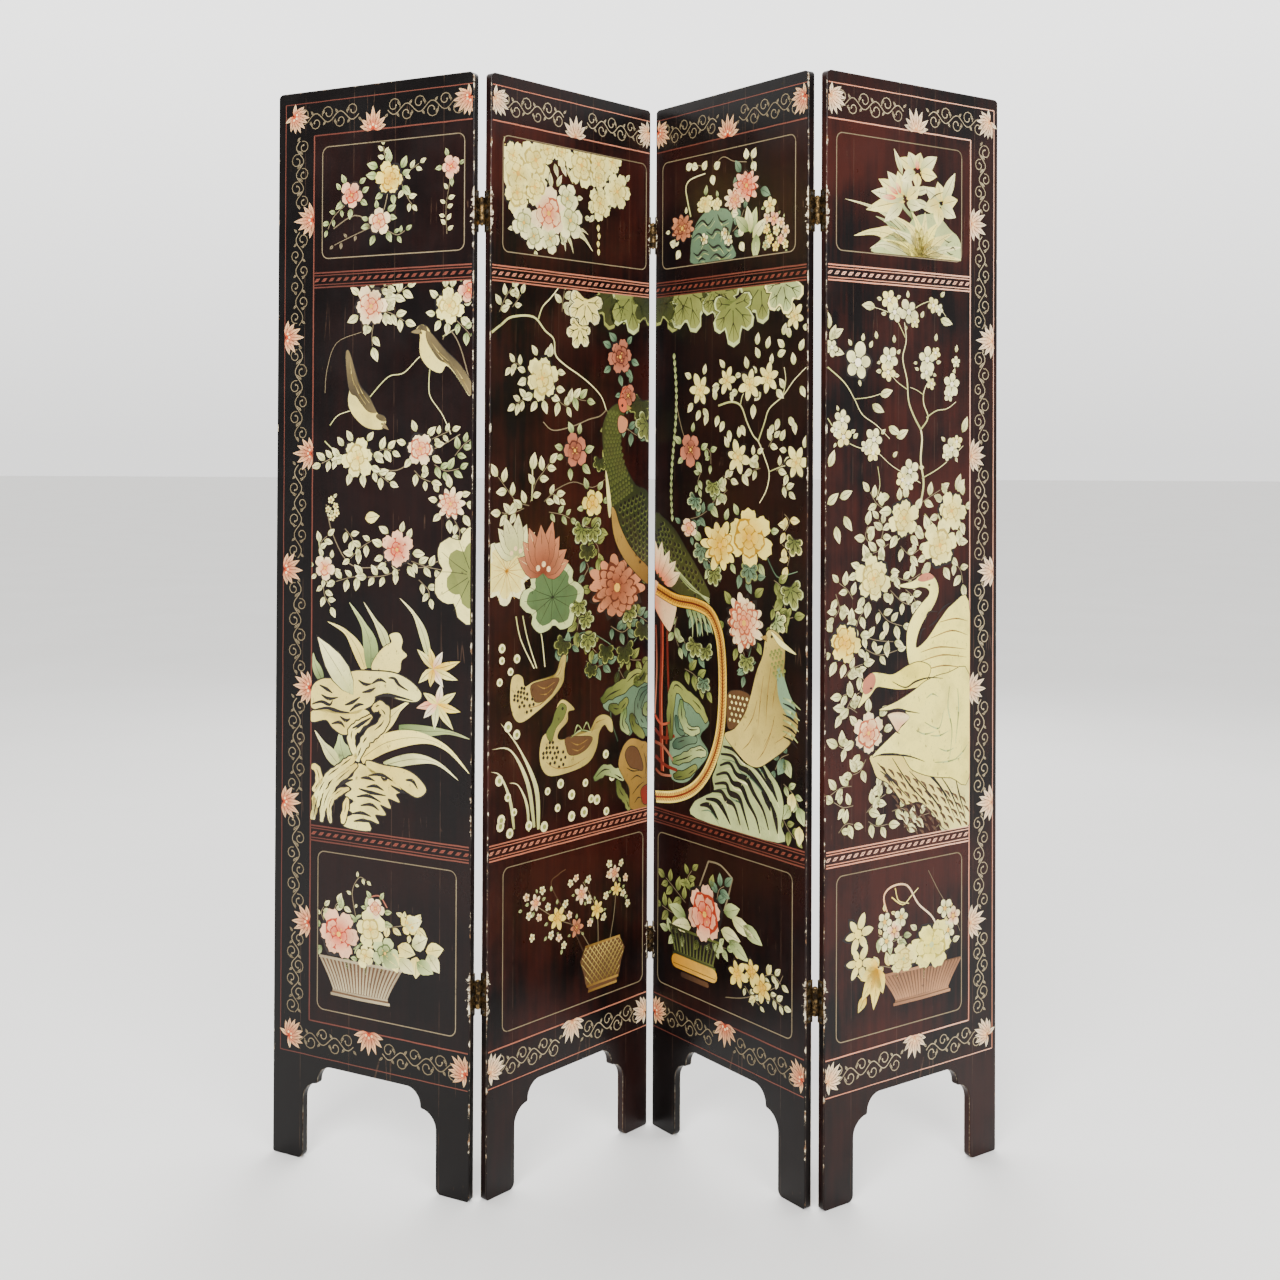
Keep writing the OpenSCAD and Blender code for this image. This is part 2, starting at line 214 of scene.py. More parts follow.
class Paint(Enum):
    """The pigments on the decorator's table."""

    INK = Pigment(linear(14, 10, 9), linear(18, 12, 11))
    CREAM = Pigment(linear(228, 202, 110), linear(246, 235, 154))
    IVORY = Pigment(linear(176, 178, 112), linear(246, 237, 176))
    YELLOW = Pigment(linear(222, 164, 50), linear(248, 226, 128))
    PINK = Pigment(linear(206, 66, 54), linear(242, 190, 152))
    BLUSH = Pigment(linear(222, 112, 84), linear(246, 222, 172))
    ROSE = Pigment(linear(96, 40, 32), linear(184, 118, 94))
    CORAL = Pigment(linear(160, 64, 50), linear(196, 106, 82))
    SAND = Pigment(linear(112, 52, 38), linear(200, 136, 102))
    SAGE = Pigment(linear(62, 74, 32), linear(146, 150, 84))
    MOSS = Pigment(linear(22, 26, 11), linear(62, 66, 30))
    STRAW = Pigment(linear(240, 220, 104), linear(252, 240, 148))
    TEAL = Pigment(linear(46, 70, 54), linear(118, 142, 110))
    CELADON = Pigment(linear(86, 108, 58), linear(194, 202, 138))
    OCHRE = Pigment(linear(104, 76, 36), linear(164, 130, 72))
    GOLD = Pigment(linear(184, 128, 54), linear(226, 178, 92))
    CANE = Pigment(linear(80, 60, 38), linear(122, 100, 66))
    BUFF = Pigment(linear(100, 82, 32), linear(204, 182, 108))
    BROWN = Pigment(linear(52, 34, 24), linear(92, 64, 42))
    MAROON = Pigment(linear(82, 26, 22), linear(124, 46, 38))
    # Painted sunlight: the next two are lighter copies of the border lines' brick red, the first half lit,
    # the second fully lit.
    HALF_SUNLIT_DUSTY = Pigment(linear(166, 102, 82), linear(196, 132, 108))
    SUNLIT_SHELL = Pigment(linear(206, 138, 112), linear(238, 186, 158))
    VINE = Pigment(linear(108, 96, 72), linear(138, 124, 96))
    THREAD = Pigment(linear(146, 132, 104), linear(184, 170, 136))
    FLAME = Pigment(linear(186, 58, 40), linear(242, 208, 158))
    APRICOT = Pigment(linear(234, 164, 112), linear(252, 240, 204))
    FEATHER = Pigment(linear(40, 34, 22), linear(122, 106, 70))
    OLIVE = Pigment(linear(34, 38, 16), linear(96, 102, 52))
    BRICK = Pigment(linear(86, 42, 34), linear(112, 62, 50))
    TAN = Pigment(linear(134, 94, 68), linear(176, 132, 98))
    JADE = Pigment(linear(38, 66, 44), linear(112, 136, 84))


@dataclass(frozen=True)
class PanelFace:
    """The front face of one panel, found from its CAD nodes.

    Attributes:
        number: The panel's number from the left.
        origin: Lower left front corner, in metres.
        along: Direction of the panel's width.
        inward: Direction of its thickness, away from the viewer.
        width: Width in millimetres.
        thickness: Thickness in millimetres.
        height: Height in millimetres.
    """

    number: int
    origin: Vector
    along: Vector
    inward: Vector
    width: float
    thickness: float
    height: float

    @classmethod
    def from_frame(cls, number: int) -> "PanelFace":
        """Measures a panel on its two stiles and its two lacquered grounds.

        Args:
            number: The panel's number from the left.

        Returns:
            The face.
        """
        stiles = [f"panel_{number}_{side}_stile" for side in ("left", "right")]
        middles = [sum((Vector(corner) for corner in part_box(stile)), Vector()) / 2 for stile in stiles]
        along = middles[1] - middles[0]
        along.z = 0
        along.normalize()
        inward = Vector((-along.y, along.x, 0))
        grounds = [f"panel_{number}_{side}_ground" for side in ("front", "back")]
        spans = []
        for names, axis in ((stiles, along), (grounds, inward), (stiles, Vector((0, 0, 1)))):
            reaches = [v.co.dot(axis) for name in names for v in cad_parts[name].data.vertices]
            spans.append((min(reaches), max(reaches)))
        origin = along * spans[0][0] + inward * spans[1][0] + Vector((0, 0, spans[2][0]))
        sizes = [(high - low) * METRE for low, high in spans]
        return cls(number, origin, along, inward, *sizes)

    @property
    def body(self) -> str:
        """Name of the body that carries the panel."""
        return f"panel_{self.number}"

    @property
    def yaw(self) -> float:
        """Turn of the panel's width from the X axis, in radians."""
        return math.atan2(self.along.y, self.along.x)

    def spot(self, x: float, z: float, lift: float) -> Vector:
        """Places a point of the drawing in the row frame.

        Args:
            x: Distance from the panel's left edge on the drawing.
            z: Height above the floor on the drawing.
            lift: Height above the lacquer, in millimetres.

        Returns:
            The place in metres.
        """
        across = self.along * (x * self.width / DRAWN_WIDTH)
        up = Vector((0, 0, z * self.height / DRAWN_HEIGHT))
        return self.origin + (across + up - self.inward * lift) / METRE


@dataclass(frozen=True)
class Window:
    """The part of a drawing that a piece of ornament may cover, in millimetres.

    Attributes:
        left: Its left edge.
        right: Its right edge.
        low: Its bottom edge.
        high: Its top edge.
    """

    left: float
    right: float
    low: float
    high: float

    def clip(self, outline: Sequence[Point]) -> list[Point]:
        """Cuts an outline off at the window's four sides.

        Args:
            outline: The outline's points.

        Returns:
            What is left of it.
        """
        sides = ((0, self.left, 1), (0, self.right, -1), (1, self.low, 1), (1, self.high, -1))
        for axis, limit, sign in sides:
            kept: list[Point] = []
            for here, after in zip(outline, [*outline[1:], *outline[:1]]):
                gap, next_gap = sign * (here[axis] - limit), sign * (after[axis] - limit)
                if gap >= 0:
                    kept.append(here)
                if gap * next_gap < 0:
                    share = gap / (gap - next_gap)
                    kept.append(tuple(here[k] + (after[k] - here[k]) * share for k in (0, 1)))
            outline = kept
        return list(outline)

    def nearest(self, point: Point) -> Point:
        """Gives the point of the window that is nearest to a point."""
        return (min(max(point[0], self.left), self.right), min(max(point[1], self.low), self.high))

    def holds(self, point: Point) -> bool:
        """Tells whether a point lies in the window."""
        return self.left <= point[0] <= self.right and self.low <= point[1] <= self.high


class Inlay:
    """One piece of inlaid ornament on a panel's face, gathered tile by tile."""

    BED = -0.03
    FIRST_LIFT = 0.05
    LEVEL_STEP = 0.016
    DOME = 0.01
    LEAST_AREA = 0.2
    TILE_TONES = (0.88, 1.06)
    STROKE_TONES = (0.9, 1.05)
    MIDDLE_SHARE = 0.7

    def __init__(self, face: PanelFace, title: str, window: Window) -> None:
        """Starts an empty piece.

        Args:
            face: The panel's face.
            title: What the piece shows, in plain words.
            window: The part of the drawing that it may cover.
        """
        self.face = face
        self.title = f"panel_{face.number}_{title}"
        self.window = window
        self.random = random.Random(self.title)
        self.points: list[Vector] = []
        self.colours: list[Colour] = []
        self.polygons: list[tuple[int, ...]] = []

    def lift(self, level: float) -> float:
        """Height of a level above the lacquer, in millimetres."""
        return self.FIRST_LIFT + self.LEVEL_STEP * level

    def add(self, point: Point, lift: float, colour: Colour) -> int:
        """Adds one point.

        Args:
            point: Its place on the drawing.
            lift: Its height above the lacquer.
            colour: Its pigment.

        Returns:
            Its number.
        """
        self.points.append(self.face.spot(point[0], point[1], lift))
        self.colours.append(colour)
        return len(self.points) - 1

    def tile(self, outline: Sequence[Point], paint: Paint, level: float = 0,
             heart: Point | None = None, reach: float = 0, domed: bool = False,
             shade: float = 1.0) -> None:
        """Adds a closed tile.

        Args:
            outline: Its outline.
            paint: Its pigment.
            level: How high it lies.
            heart: Where the heart's tint is. The rim's tint is all over it where this is left out.
            reach: Distance from the heart to the full tint of the rim.
            domed: Whether the top rises to the middle, for outlines that bulge all round.
            shade: Factor on the pigment, below 1 for a darker tile.
        """
        outline = self.window.clip(outline)
        if len(outline) < 3:
            return
        area = sum(a[0] * b[1] - b[0] * a[1] for a, b in zip(outline, [*outline[1:], outline[0]]))
        if abs(area) < self.LEAST_AREA:
            return
        if area < 0:
            outline.reverse()
        pigment = paint.value
        tone = shade * self.random.uniform(*self.TILE_TONES)
        tints = []
        for point in outline:
            share = min(math.dist(point, heart) / reach, 1) if heart else 1
            tints.append(pigment.tint(share, tone))
        top = [self.add(point, self.lift(level), tint) for point, tint in zip(outline, tints)]
        low = [self.add(point, self.BED, tint) for point, tint in zip(outline, tints)]
        count = len(outline)
        if domed:
            middle = tuple(sum(point[k] for point in outline) / count for k in (0, 1))
            share = min(math.dist(middle, heart) / reach, 1) if heart else self.MIDDLE_SHARE
            tint = pigment.tint(share, tone)
            peak = self.add(middle, self.lift(level) + self.DOME, tint)
            self.polygons += [(peak, top[k], top[(k + 1) % count]) for k in range(count)]
        else:
            self.polygons.append(tuple(top))
        self.polygons.append(tuple(reversed(low)))
        for k in range(count):
            after = (k + 1) % count
            self.polygons.append((top[k], low[k], low[after], top[after]))

    def stroke(self, path: Sequence[Point], width: float, paint: Paint, level: float = 0,
               start: float = 1.0, end: float = 1.0) -> None:
        """Adds a closed brush stroke along a line.

        Args:
            path: The line.
            width: Width where it is fullest.
            paint: Its pigment.
            level: How high it lies.
            start: Share of the width at its start.
            end: Share of the width at its end.
        """
        path = [point for point in path if self.window.holds(point)]
        count = len(path)
        if count < 2:
            return
        pigment = paint.value
        tone = self.random.uniform(*self.STROKE_TONES)
        rings = []
        for k, point in enumerate(path):
            share = k / (count - 1)
            half = width / 2 * (start + (end - start) * share)
            tint = pigment.tint(share, tone)
            normal = crosswise(path, k)
            sides = [beside(point, normal, sign * half) for sign in (-1, 1)]
            rings.append([self.add(sides[0], self.BED, tint), self.add(sides[1], self.BED, tint),
                          self.add(sides[1], self.lift(level), tint),
                          self.add(sides[0], self.lift(level), tint)])
        for first, second in zip(rings, rings[1:]):
            for k in range(4):
                after = (k + 1) % 4
                self.polygons.append((first[k], first[after], second[after], second[k]))
        self.polygons.append(tuple(reversed(rings[0])))
        self.polygons.append(tuple(rings[-1]))

    def swelling(self, path: Sequence[Point], width: float, paint: Paint, level: float = 0) -> None:
        """Adds a brush mark that is full in the middle and thin at both ends.

        Args:
            path: Its middle line.
            width: Its greatest width.
            paint: Pigment.
            level: Height over the ground, in steps.
        """
        half = len(path) // 2
        self.stroke(path[:half + 1], width, paint, level, 0.3, 1.0)
        self.stroke(path[half:], width, paint, level, 1.0, 0.2)

    def dot(self, centre: Point, radius: float, paint: Paint, level: float = 0, sides: int = 7) -> None:
        """Adds a small round tile."""
        outline = [around(centre, FULL_TURN * k / sides, radius) for k in range(sides)]
        self.tile(outline, paint, level)

    def draw(self, motifs: Sequence["Motif"]) -> "Inlay":
        """Draws motifs in their order.

        Args:
            motifs: The motifs.

        Returns:
            This piece, for the next call.
        """
        for motif in motifs:
            motif.draw(self)
        return self

    def build(self, finish: "PigmentFinish") -> bpy.types.Object | None:
        """Makes the mesh, gives it its finish and lets it ride on its panel.

        Args:
            finish: The pigments' finish.

        Returns:
            The piece, or nothing where no tile was drawn.
        """
        if not self.polygons:
            return None
        mesh = bpy.data.meshes.new(self.title)
        mesh.from_pydata(self.points, [], self.polygons)
        layer = mesh.color_attributes.new(PigmentFinish.ATTRIBUTE, "FLOAT_COLOR", "POINT")
        layer.data.foreach_set("color", [v for tint in self.colours for v in (*tint, 1.0)])
        mesh.materials.append(finish.material())
        piece = bpy.data.objects.new(self.title, mesh)
        bpy.context.scene.collection.objects.link(piece)
        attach(piece, self.face.body)
        log.info("%s: %d tiles' faces on %s", self.title, len(self.polygons), self.face.body)
        return piece


class Motif(Protocol):
    """Anything that can be drawn on a panel."""

    def draw(self, inlay: Inlay) -> None:
        """Draws the motif.

        Args:
            inlay: The piece that it goes into.
        """


@dataclass(frozen=True)
class Leaf:
    """A leaf of two halves with its midrib left open between them.

    Attributes:
        x: Foot of the leaf on the drawing.
        z: Height of the foot.
        angle: Direction of the tip in degrees.
        length: Length in millimetres.
        width: Width where it is widest.
        paint: Pigment.
        level: How high it lies.
        bend: Sideways drift of the tip as a share of the length.
        glow: Share of the length over which the foot's tint fades to the rim's.
    """

    x: float
    z: float
    angle: float
    length: float = 25.0
    width: float = 12.0
    paint: Paint = Paint.IVORY
    level: float = 0.0
    bend: float = 0.0
    glow: float = 0.8

    MIDRIB = 0.42
    RIM_SHARES = (0.16, 0.36, 0.58, 0.8)
    RIB_SHARES = (0.78, 0.4)
    WIDEST = 0.8

    def draw(self, inlay: Inlay) -> None:
        """Draws the two halves.

        Args:
            inlay: The piece that it becomes part of.
        """
        turn = math.radians(self.angle)
        ahead, aside = (math.cos(turn), math.sin(turn)), (-math.sin(turn), math.cos(turn))

        def place(share: float, side: float) -> Point:
            """Gives a spot on the leaf.

            Args:
                share: How far along the leaf, as a share of its length.
                side: Distance to the side of its midrib.

            Returns:
                The spot.
            """
            drift = side + self.bend * self.length * share * share
            return (self.x + ahead[0] * share * self.length + aside[0] * drift,
                    self.z + ahead[1] * share * self.length + aside[1] * drift)

        for sign in (-1, 1):
            rim = [place(s, sign * self.width / 2 * math.sin(math.pi * s ** self.WIDEST))
                   for s in self.RIM_SHARES]
            rib = [place(s, sign * self.MIDRIB) for s in self.RIB_SHARES]
            outline = [place(0.0, 0), *rim, place(1.0, 0), *rib]
            inlay.tile(outline, self.paint, self.level, heart=(self.x, self.z),
                       reach=self.length * self.glow)


@dataclass(frozen=True)
class Branch:
    """A twig or branch that tapers along a smooth line.

    Attributes:
        points: Points that it runs through.
        width: Width at its foot.
        tip: Share of the width at its tip.
        paint: Pigment.
        level: How high it lies.
    """

    points: tuple[Point, ...]
    width: float = 3.0
    tip: float = 0.35
    paint: Paint = Paint.IVORY
    level: float = 0.0

    def draw(self, inlay: Inlay) -> None:
        """Draws the stroke."""
        path = curve_through(self.points, 5)
        inlay.stroke(path, self.width, self.paint, self.level, 1.0, self.tip)


@dataclass(frozen=True)
class Strap:
    """A long strap leaf that tapers from its foot to its tip, with an open midrib.

    Attributes:
        points: Points that its midrib runs through.
        width: Width where it is fullest.
        paint: Pigment.
        level: How high it lies.
        ribbed: Whether it has a dark midrib.
    """

    points: tuple[Point, ...]
    width: float = 14.0
    paint: Paint = Paint.IVORY
    level: float = 0.0
    ribbed: bool = True

    FOOT = 0.55
    SWELL = 1.6
    TAPER = 2.2
    TIP = 0.02
    RIB_END = 0.85
    RIB_WIDTH = 0.9

    def draw(self, inlay: Inlay) -> None:
        """Draws the blade and its midrib.

        Args:
            inlay: The piece that it becomes part of.
        """
        path = curve_through(self.points, 6)
        count = len(path)
        sides: list[list[Point]] = [[], []]
        for k, point in enumerate(path):
            share = k / (count - 1)
            swell = math.sin(math.pi * min(share * self.SWELL, 1))
            half = self.width / 2 * (self.FOOT + (1 - self.FOOT) * swell)
            half *= max(1 - share ** self.TAPER, self.TIP)
            for side, sign in zip(sides, (-1, 1)):
                side.append(beside(point, crosswise(path, k), sign * half))
        outline = sides[0] + sides[1][::-1]
        inlay.tile(outline, self.paint, self.level, heart=path[0], reach=math.dist(path[0], path[-1]))
        if self.ribbed:
            rib = path[1:int(count * self.RIB_END)]
            inlay.stroke(rib, self.RIB_WIDTH, Paint.INK, self.level + 1.5, 1, 0.4)


@dataclass(frozen=True)
class Spray:
    """A twig with leaves on both sides and one at its tip.

    Attributes:
        points: Points that its twig runs through.
        leaves: Number of leaves.
        length: Length of a leaf.
        paint: Pigment of the leaves.
        twig: Pigment of the twig.
        level: How high it lies.
        spread: Lean of the leaves from the twig, in degrees.
    """

    points: tuple[Point, ...]
    leaves: int = 6
    length: float = 24.0
    paint: Paint = Paint.IVORY
    twig: Paint = Paint.VINE
    level: float = 0.0
    spread: float = 55.0

    TWIG_WIDTH = 1.6
    STALK = 2.5
    WANDER = 14
    SIZES = (0.82, 1.12)
    FULL = 0.58
    BEND = 0.12

    def draw(self, inlay: Inlay) -> None:
        """Draws the twig, then its leaves from the foot to the tip.

        Args:
            inlay: The piece that it becomes part of.
        """
        path = curve_through(self.points, 6)
        inlay.stroke(path, self.TWIG_WIDTH, self.twig, self.level, 1.0, 0.6)
        last = len(path) - 1
        for k in range(self.leaves):
            share = 1.0 if k == self.leaves - 1 else (k + 0.7) / self.leaves
            spot = min(int(share * last), last - 1)
            here = path[spot]
            swing = 0 if k == self.leaves - 1 else self.spread * (1 if k % 2 else -1)
            turn = math.degrees(heading(here, path[spot + 1])) + swing
            turn += inlay.random.uniform(-self.WANDER, self.WANDER)
            foot = around(path[last] if swing == 0 else here, math.radians(turn), self.STALK)
            length = self.length * inlay.random.uniform(*self.SIZES)
            bend = inlay.random.uniform(-self.BEND, self.BEND)
            Leaf(*foot, turn, length, length * self.FULL, self.paint, self.level + 1, bend).draw(inlay)


@dataclass(frozen=True)
class PetalPlan:
    """How a flower's petals stand.

    Attributes:
        rings: Share of the radius and number of petals of each ring, outermost first.
        ruffle: Depth of the waves on a petal's rim, as a share of the radius.
        point: How far a petal's sides fall back from its tip.
        stamens: Number of stamens round the heart.
        round: How full a petal's shoulders are. Below 1.2 it ends in a point.
    """

    rings: tuple[tuple[float, int], ...]
    ruffle: float
    point: float
    stamens: int
    round: float = 1.6


class FlowerKind(Enum):
    """The flowers of the pattern book."""

    PEONY = PetalPlan(((1.0, 6), (0.72, 5), (0.42, 4)), 0.045, 0.2, 3, 2.6)
    ROSE = PetalPlan(((1.0, 5), (0.6, 4)), 0.03, 0.22, 4, 2.4)
    ASTER = PetalPlan(((1.0, 10), (0.74, 8), (0.46, 5)), 0.0, 0.34, 4, 1.6)
    PRUNUS = PetalPlan(((1.0, 5),), 0.0, 0.34, 5, 1.8)
    LILY = PetalPlan(((1.0, 6),), 0.0, 0.56, 3, 1.2)
    STAR = PetalPlan(((1.0, 6), (0.46, 4)), 0.0, 0.46, 4, 1.3)
    POMPON = PetalPlan(((1.0, 14), (0.82, 12), (0.63, 10), (0.44, 7), (0.26, 4)), 0.0, 0.26, 0, 2.2)


@dataclass(frozen=True)
class Flower:
    """An open flower with its ring of leaves.

    Attributes:
        x: Middle of the flower on the drawing.
        z: Height of its middle.
        radius: Radius in millimetres.
        kind: Which flower.
        paint: Pigment of its petals.
        leaves: Number of leaves round it.
        leaf_paint: Pigment of those leaves.
        heart: Pigment of its heart and stamens.
        level: How high it lies.
        squash: Height as a share of width, for a flower seen aslant.
        leaf: Length of a leaf, or 0 to work it out from the radius.
    """

    x: float
    z: float
    radius: float = 28.0
    kind: FlowerKind = FlowerKind.PEONY
    paint: Paint = Paint.CREAM
    leaves: int = 8
    leaf_paint: Paint = Paint.IVORY
    heart: Paint = Paint.GOLD
    level: float = 4.0
    squash: float = 1.0
    leaf: float = 0.0

    RIM_STEPS = 10
    GAP = 0.935
    FOLD = 0.6
    LEAF_SHARE = 0.75
    LEAF_LENGTHS = (12, 25)
    LEAF_FULL = 0.6
    BED_GAP = 0.8
    RING_STEP = 3
    HEART = 0.11
    BARE_HEART = 0.24
    STAMEN_GAP = 0.13
    STAMEN = 0.045

    def draw(self, inlay: Inlay) -> None:
        """Draws the leaves, then each ring of petals over its dark bed, then the heart.

        Args:
            inlay: The piece that it becomes part of.
        """
        rand = inlay.random
        shortest, longest = self.LEAF_LENGTHS
        length = self.leaf or min(max(self.radius * self.LEAF_SHARE, shortest), longest)
        first = rand.uniform(0, 360)
        for k in range(self.leaves):
            turn = first + 360 * k / self.leaves + rand.uniform(-15, 15)
            reach = self.radius * rand.uniform(0.86, 1.12)
            foot = self.squashed(around((self.x, self.z), math.radians(turn), reach))
            size = length * rand.uniform(0.8, 1.15)
            lean = rand.uniform(-25, 25)
            Leaf(*foot, turn + lean, size, size * self.LEAF_FULL, self.leaf_paint, 1,
                 rand.uniform(-0.15, 0.15)).draw(inlay)
        level = self.level
        plan = self.kind.value
        for ring, (share, petals) in enumerate(plan.rings):
            reach = self.radius * share
            turn = rand.uniform(0, FULL_TURN)
            bed = [self.rim_point(turn, petals, FULL_TURN * k / (petals * 4), reach * 1.03 + self.BED_GAP)
                   for k in range(petals * 4)]
            rim = [self.squashed(point) for point in bed]
            if ring:
                inlay.tile(rim, self.paint, level, (self.x, self.z), self.radius * 9, shade=self.FOLD)
            else:
                inlay.tile(rim, Paint.INK, level)
            for petal in range(petals):
                middle = turn + FULL_TURN * petal / petals
                size = reach * rand.uniform(0.84, 1.1)
                inlay.tile([self.squashed(point) for point in self.petal(middle, petals, size)],
                           self.paint, level + 1 + 0.3 * (petal % 2), heart=(self.x, self.z),
                           reach=self.radius * 0.8, domed=True)
            level += self.RING_STEP
        self.draw_heart(inlay, plan, level)

    def squashed(self, point: Point) -> Point:
        """Flattens a point towards the flower's middle."""
        return point[0], self.z + (point[1] - self.z) * self.squash

    def rim_point(self, turn: float, petals: int, angle: float, reach: float) -> Point:
        """Gives a point on the scalloped rim of a ring of petals.

        Args:
            turn: Direction of the first petal.
            petals: Number of petals.
            angle: Direction of the point from the first petal.
            reach: Distance to the rim at the middle of a petal.

        Returns:
            The point.
        """
        dip = 0.5 - 0.5 * math.cos(petals * angle)
        return around((self.x, self.z), turn + angle, reach * (1 - self.kind.value.point * 0.8 * dip))

    def petal(self, middle: float, petals: int, reach: float) -> list[Point]:
        """Outlines one petal.

        Args:
            middle: Its direction.
            petals: Number of petals in its ring.
            reach: Distance from the flower's middle to its tip.

        Returns:
            The outline.
        """
        plan = self.kind.value
        half = math.pi / petals * self.GAP
        outline = [around((self.x, self.z), middle + side * half * 0.7, reach * 0.26) for side in (1, -1)]
        for step in range(self.RIM_STEPS + 1):
            side = 2 * step / self.RIM_STEPS - 1
            fall = plan.point * abs(side) ** plan.round + 0.05 * side ** 4
            wave = plan.ruffle * math.cos(3 * math.pi * side)
            outline.append(around((self.x, self.z), middle + side * half, reach * (1 - fall + wave)))
        return outline

    def draw_heart(self, inlay: Inlay, plan: PetalPlan, level: float) -> None:
        """Draws the heart and its stamens.

        Args:
            inlay: The piece that it goes into.
            plan: The flower's plan.
            level: How high the heart lies.
        """
        centre = (self.x, self.z)
        share = self.HEART if len(plan.rings) > 1 else self.BARE_HEART
        inlay.dot(centre, max(self.radius * share, 1.2), self.heart, level)
        for k in range(plan.stamens):
            turn = FULL_TURN * (k + 0.5) / plan.stamens
            spot = around(centre, turn, self.radius * (share + self.STAMEN_GAP))
            inlay.dot(self.squashed(spot), max(self.radius * self.STAMEN, 0.7), self.heart, level, 5)


@dataclass(frozen=True)
class Bud:
    """A closed bud on a short stalk.

    Attributes:
        x: Foot of the bud.
        z: Height of its foot.
        angle: Direction of its tip, in degrees.
        length: Its length.
        paint: Pigment of the petals.
    """

    x: float
    z: float
    angle: float = 90.0
    length: float = 15.0
    paint: Paint = Paint.CREAM

    FULL = 0.62
    SEPAL_LEAN = 28
    SEPAL = (0.55, 0.24)

    def draw(self, inlay: Inlay) -> None:
        """Draws the two halves of the bud and its cup.

        Args:
            inlay: The piece that it becomes part of.
        """
        Leaf(self.x, self.z, self.angle, self.length, self.length * self.FULL, self.paint, 3).draw(inlay)
        length, width = (self.length * share for share in self.SEPAL)
        for side in (-self.SEPAL_LEAN, self.SEPAL_LEAN):
            Leaf(self.x, self.z, self.angle + side, length, width, Paint.CELADON, 2).draw(inlay)


@dataclass(frozen=True)
class Scroll:
    """A scrolling vine along a straight border.

    Attributes:
        start: Where it starts.
        end: Where it ends.
        pitch: Distance between two curls.
        swing: Height of a curl to either side.
        width: Width of the stroke.
        paint: Pigment.
    """

    start: Point
    end: Point
    pitch: float = 25.0
    swing: float = 20.0
    width: float = 1.5
    paint: Paint = Paint.THREAD

    STEM_STEPS = 5
    STEM_SWING = 0.42
    CURL_STEPS = 12
    CURL_SIZES = (0.5, 0.62)
    CURL_START = 200
    CURL_TURN = 34
    CURL_REACH = 1.1
    CURL_CLOSING = 0.066
    END_DOT = 1.15
    LEAVES = ((42, 0.98), (128, 0.3))
    LEAF = (9.5, 4.0)

    def draw(self, inlay: Inlay) -> None:
        """Draws the stem, and by turns a curl and two small leaves on either side of it.

        Args:
            inlay: The piece that it becomes part of.
        """
        length = math.dist(self.start, self.end)
        bends = max(int(round(length / self.pitch)), 1)
        step = length / bends
        angle = heading(self.start, self.end)

        def place(ahead: float, aside: float) -> Point:
            """A spot so far along the band and so far beside it."""
            return around(around(self.start, angle, ahead), angle + math.pi / 2, aside)

        bow = self.swing * self.STEM_SWING
        stem = [place(step * k / self.STEM_STEPS, -bow * math.sin(math.pi * k / self.STEM_STEPS))
                for k in range(bends * self.STEM_STEPS + 1)]
        inlay.stroke(stem, self.width, self.paint)
        for bend in range(bends):
            side = 1 if bend % 2 else -1
            size = self.swing * inlay.random.uniform(*self.CURL_SIZES)
            middle = (step * (bend + 0.52), side * (self.swing - size) * -0.9)
            curl = []
            for k in range(self.CURL_STEPS):
                turn = side * math.radians(self.CURL_START - self.CURL_TURN * k)
                reach = size * (self.CURL_REACH - self.CURL_CLOSING * k)
                curl.append(place(middle[0] + reach * math.cos(turn), middle[1] - reach * math.sin(turn)))
            inlay.stroke(curl, self.width, self.paint, 1)
            inlay.dot(curl[-1], self.width * self.END_DOT, self.paint, 1, 6)
            for lean, ahead in self.LEAVES:
                foot = place(step * (bend + ahead), side * self.swing * 0.3)
                Leaf(*foot, math.degrees(angle) + side * lean, *self.LEAF, self.paint, 1).draw(inlay)


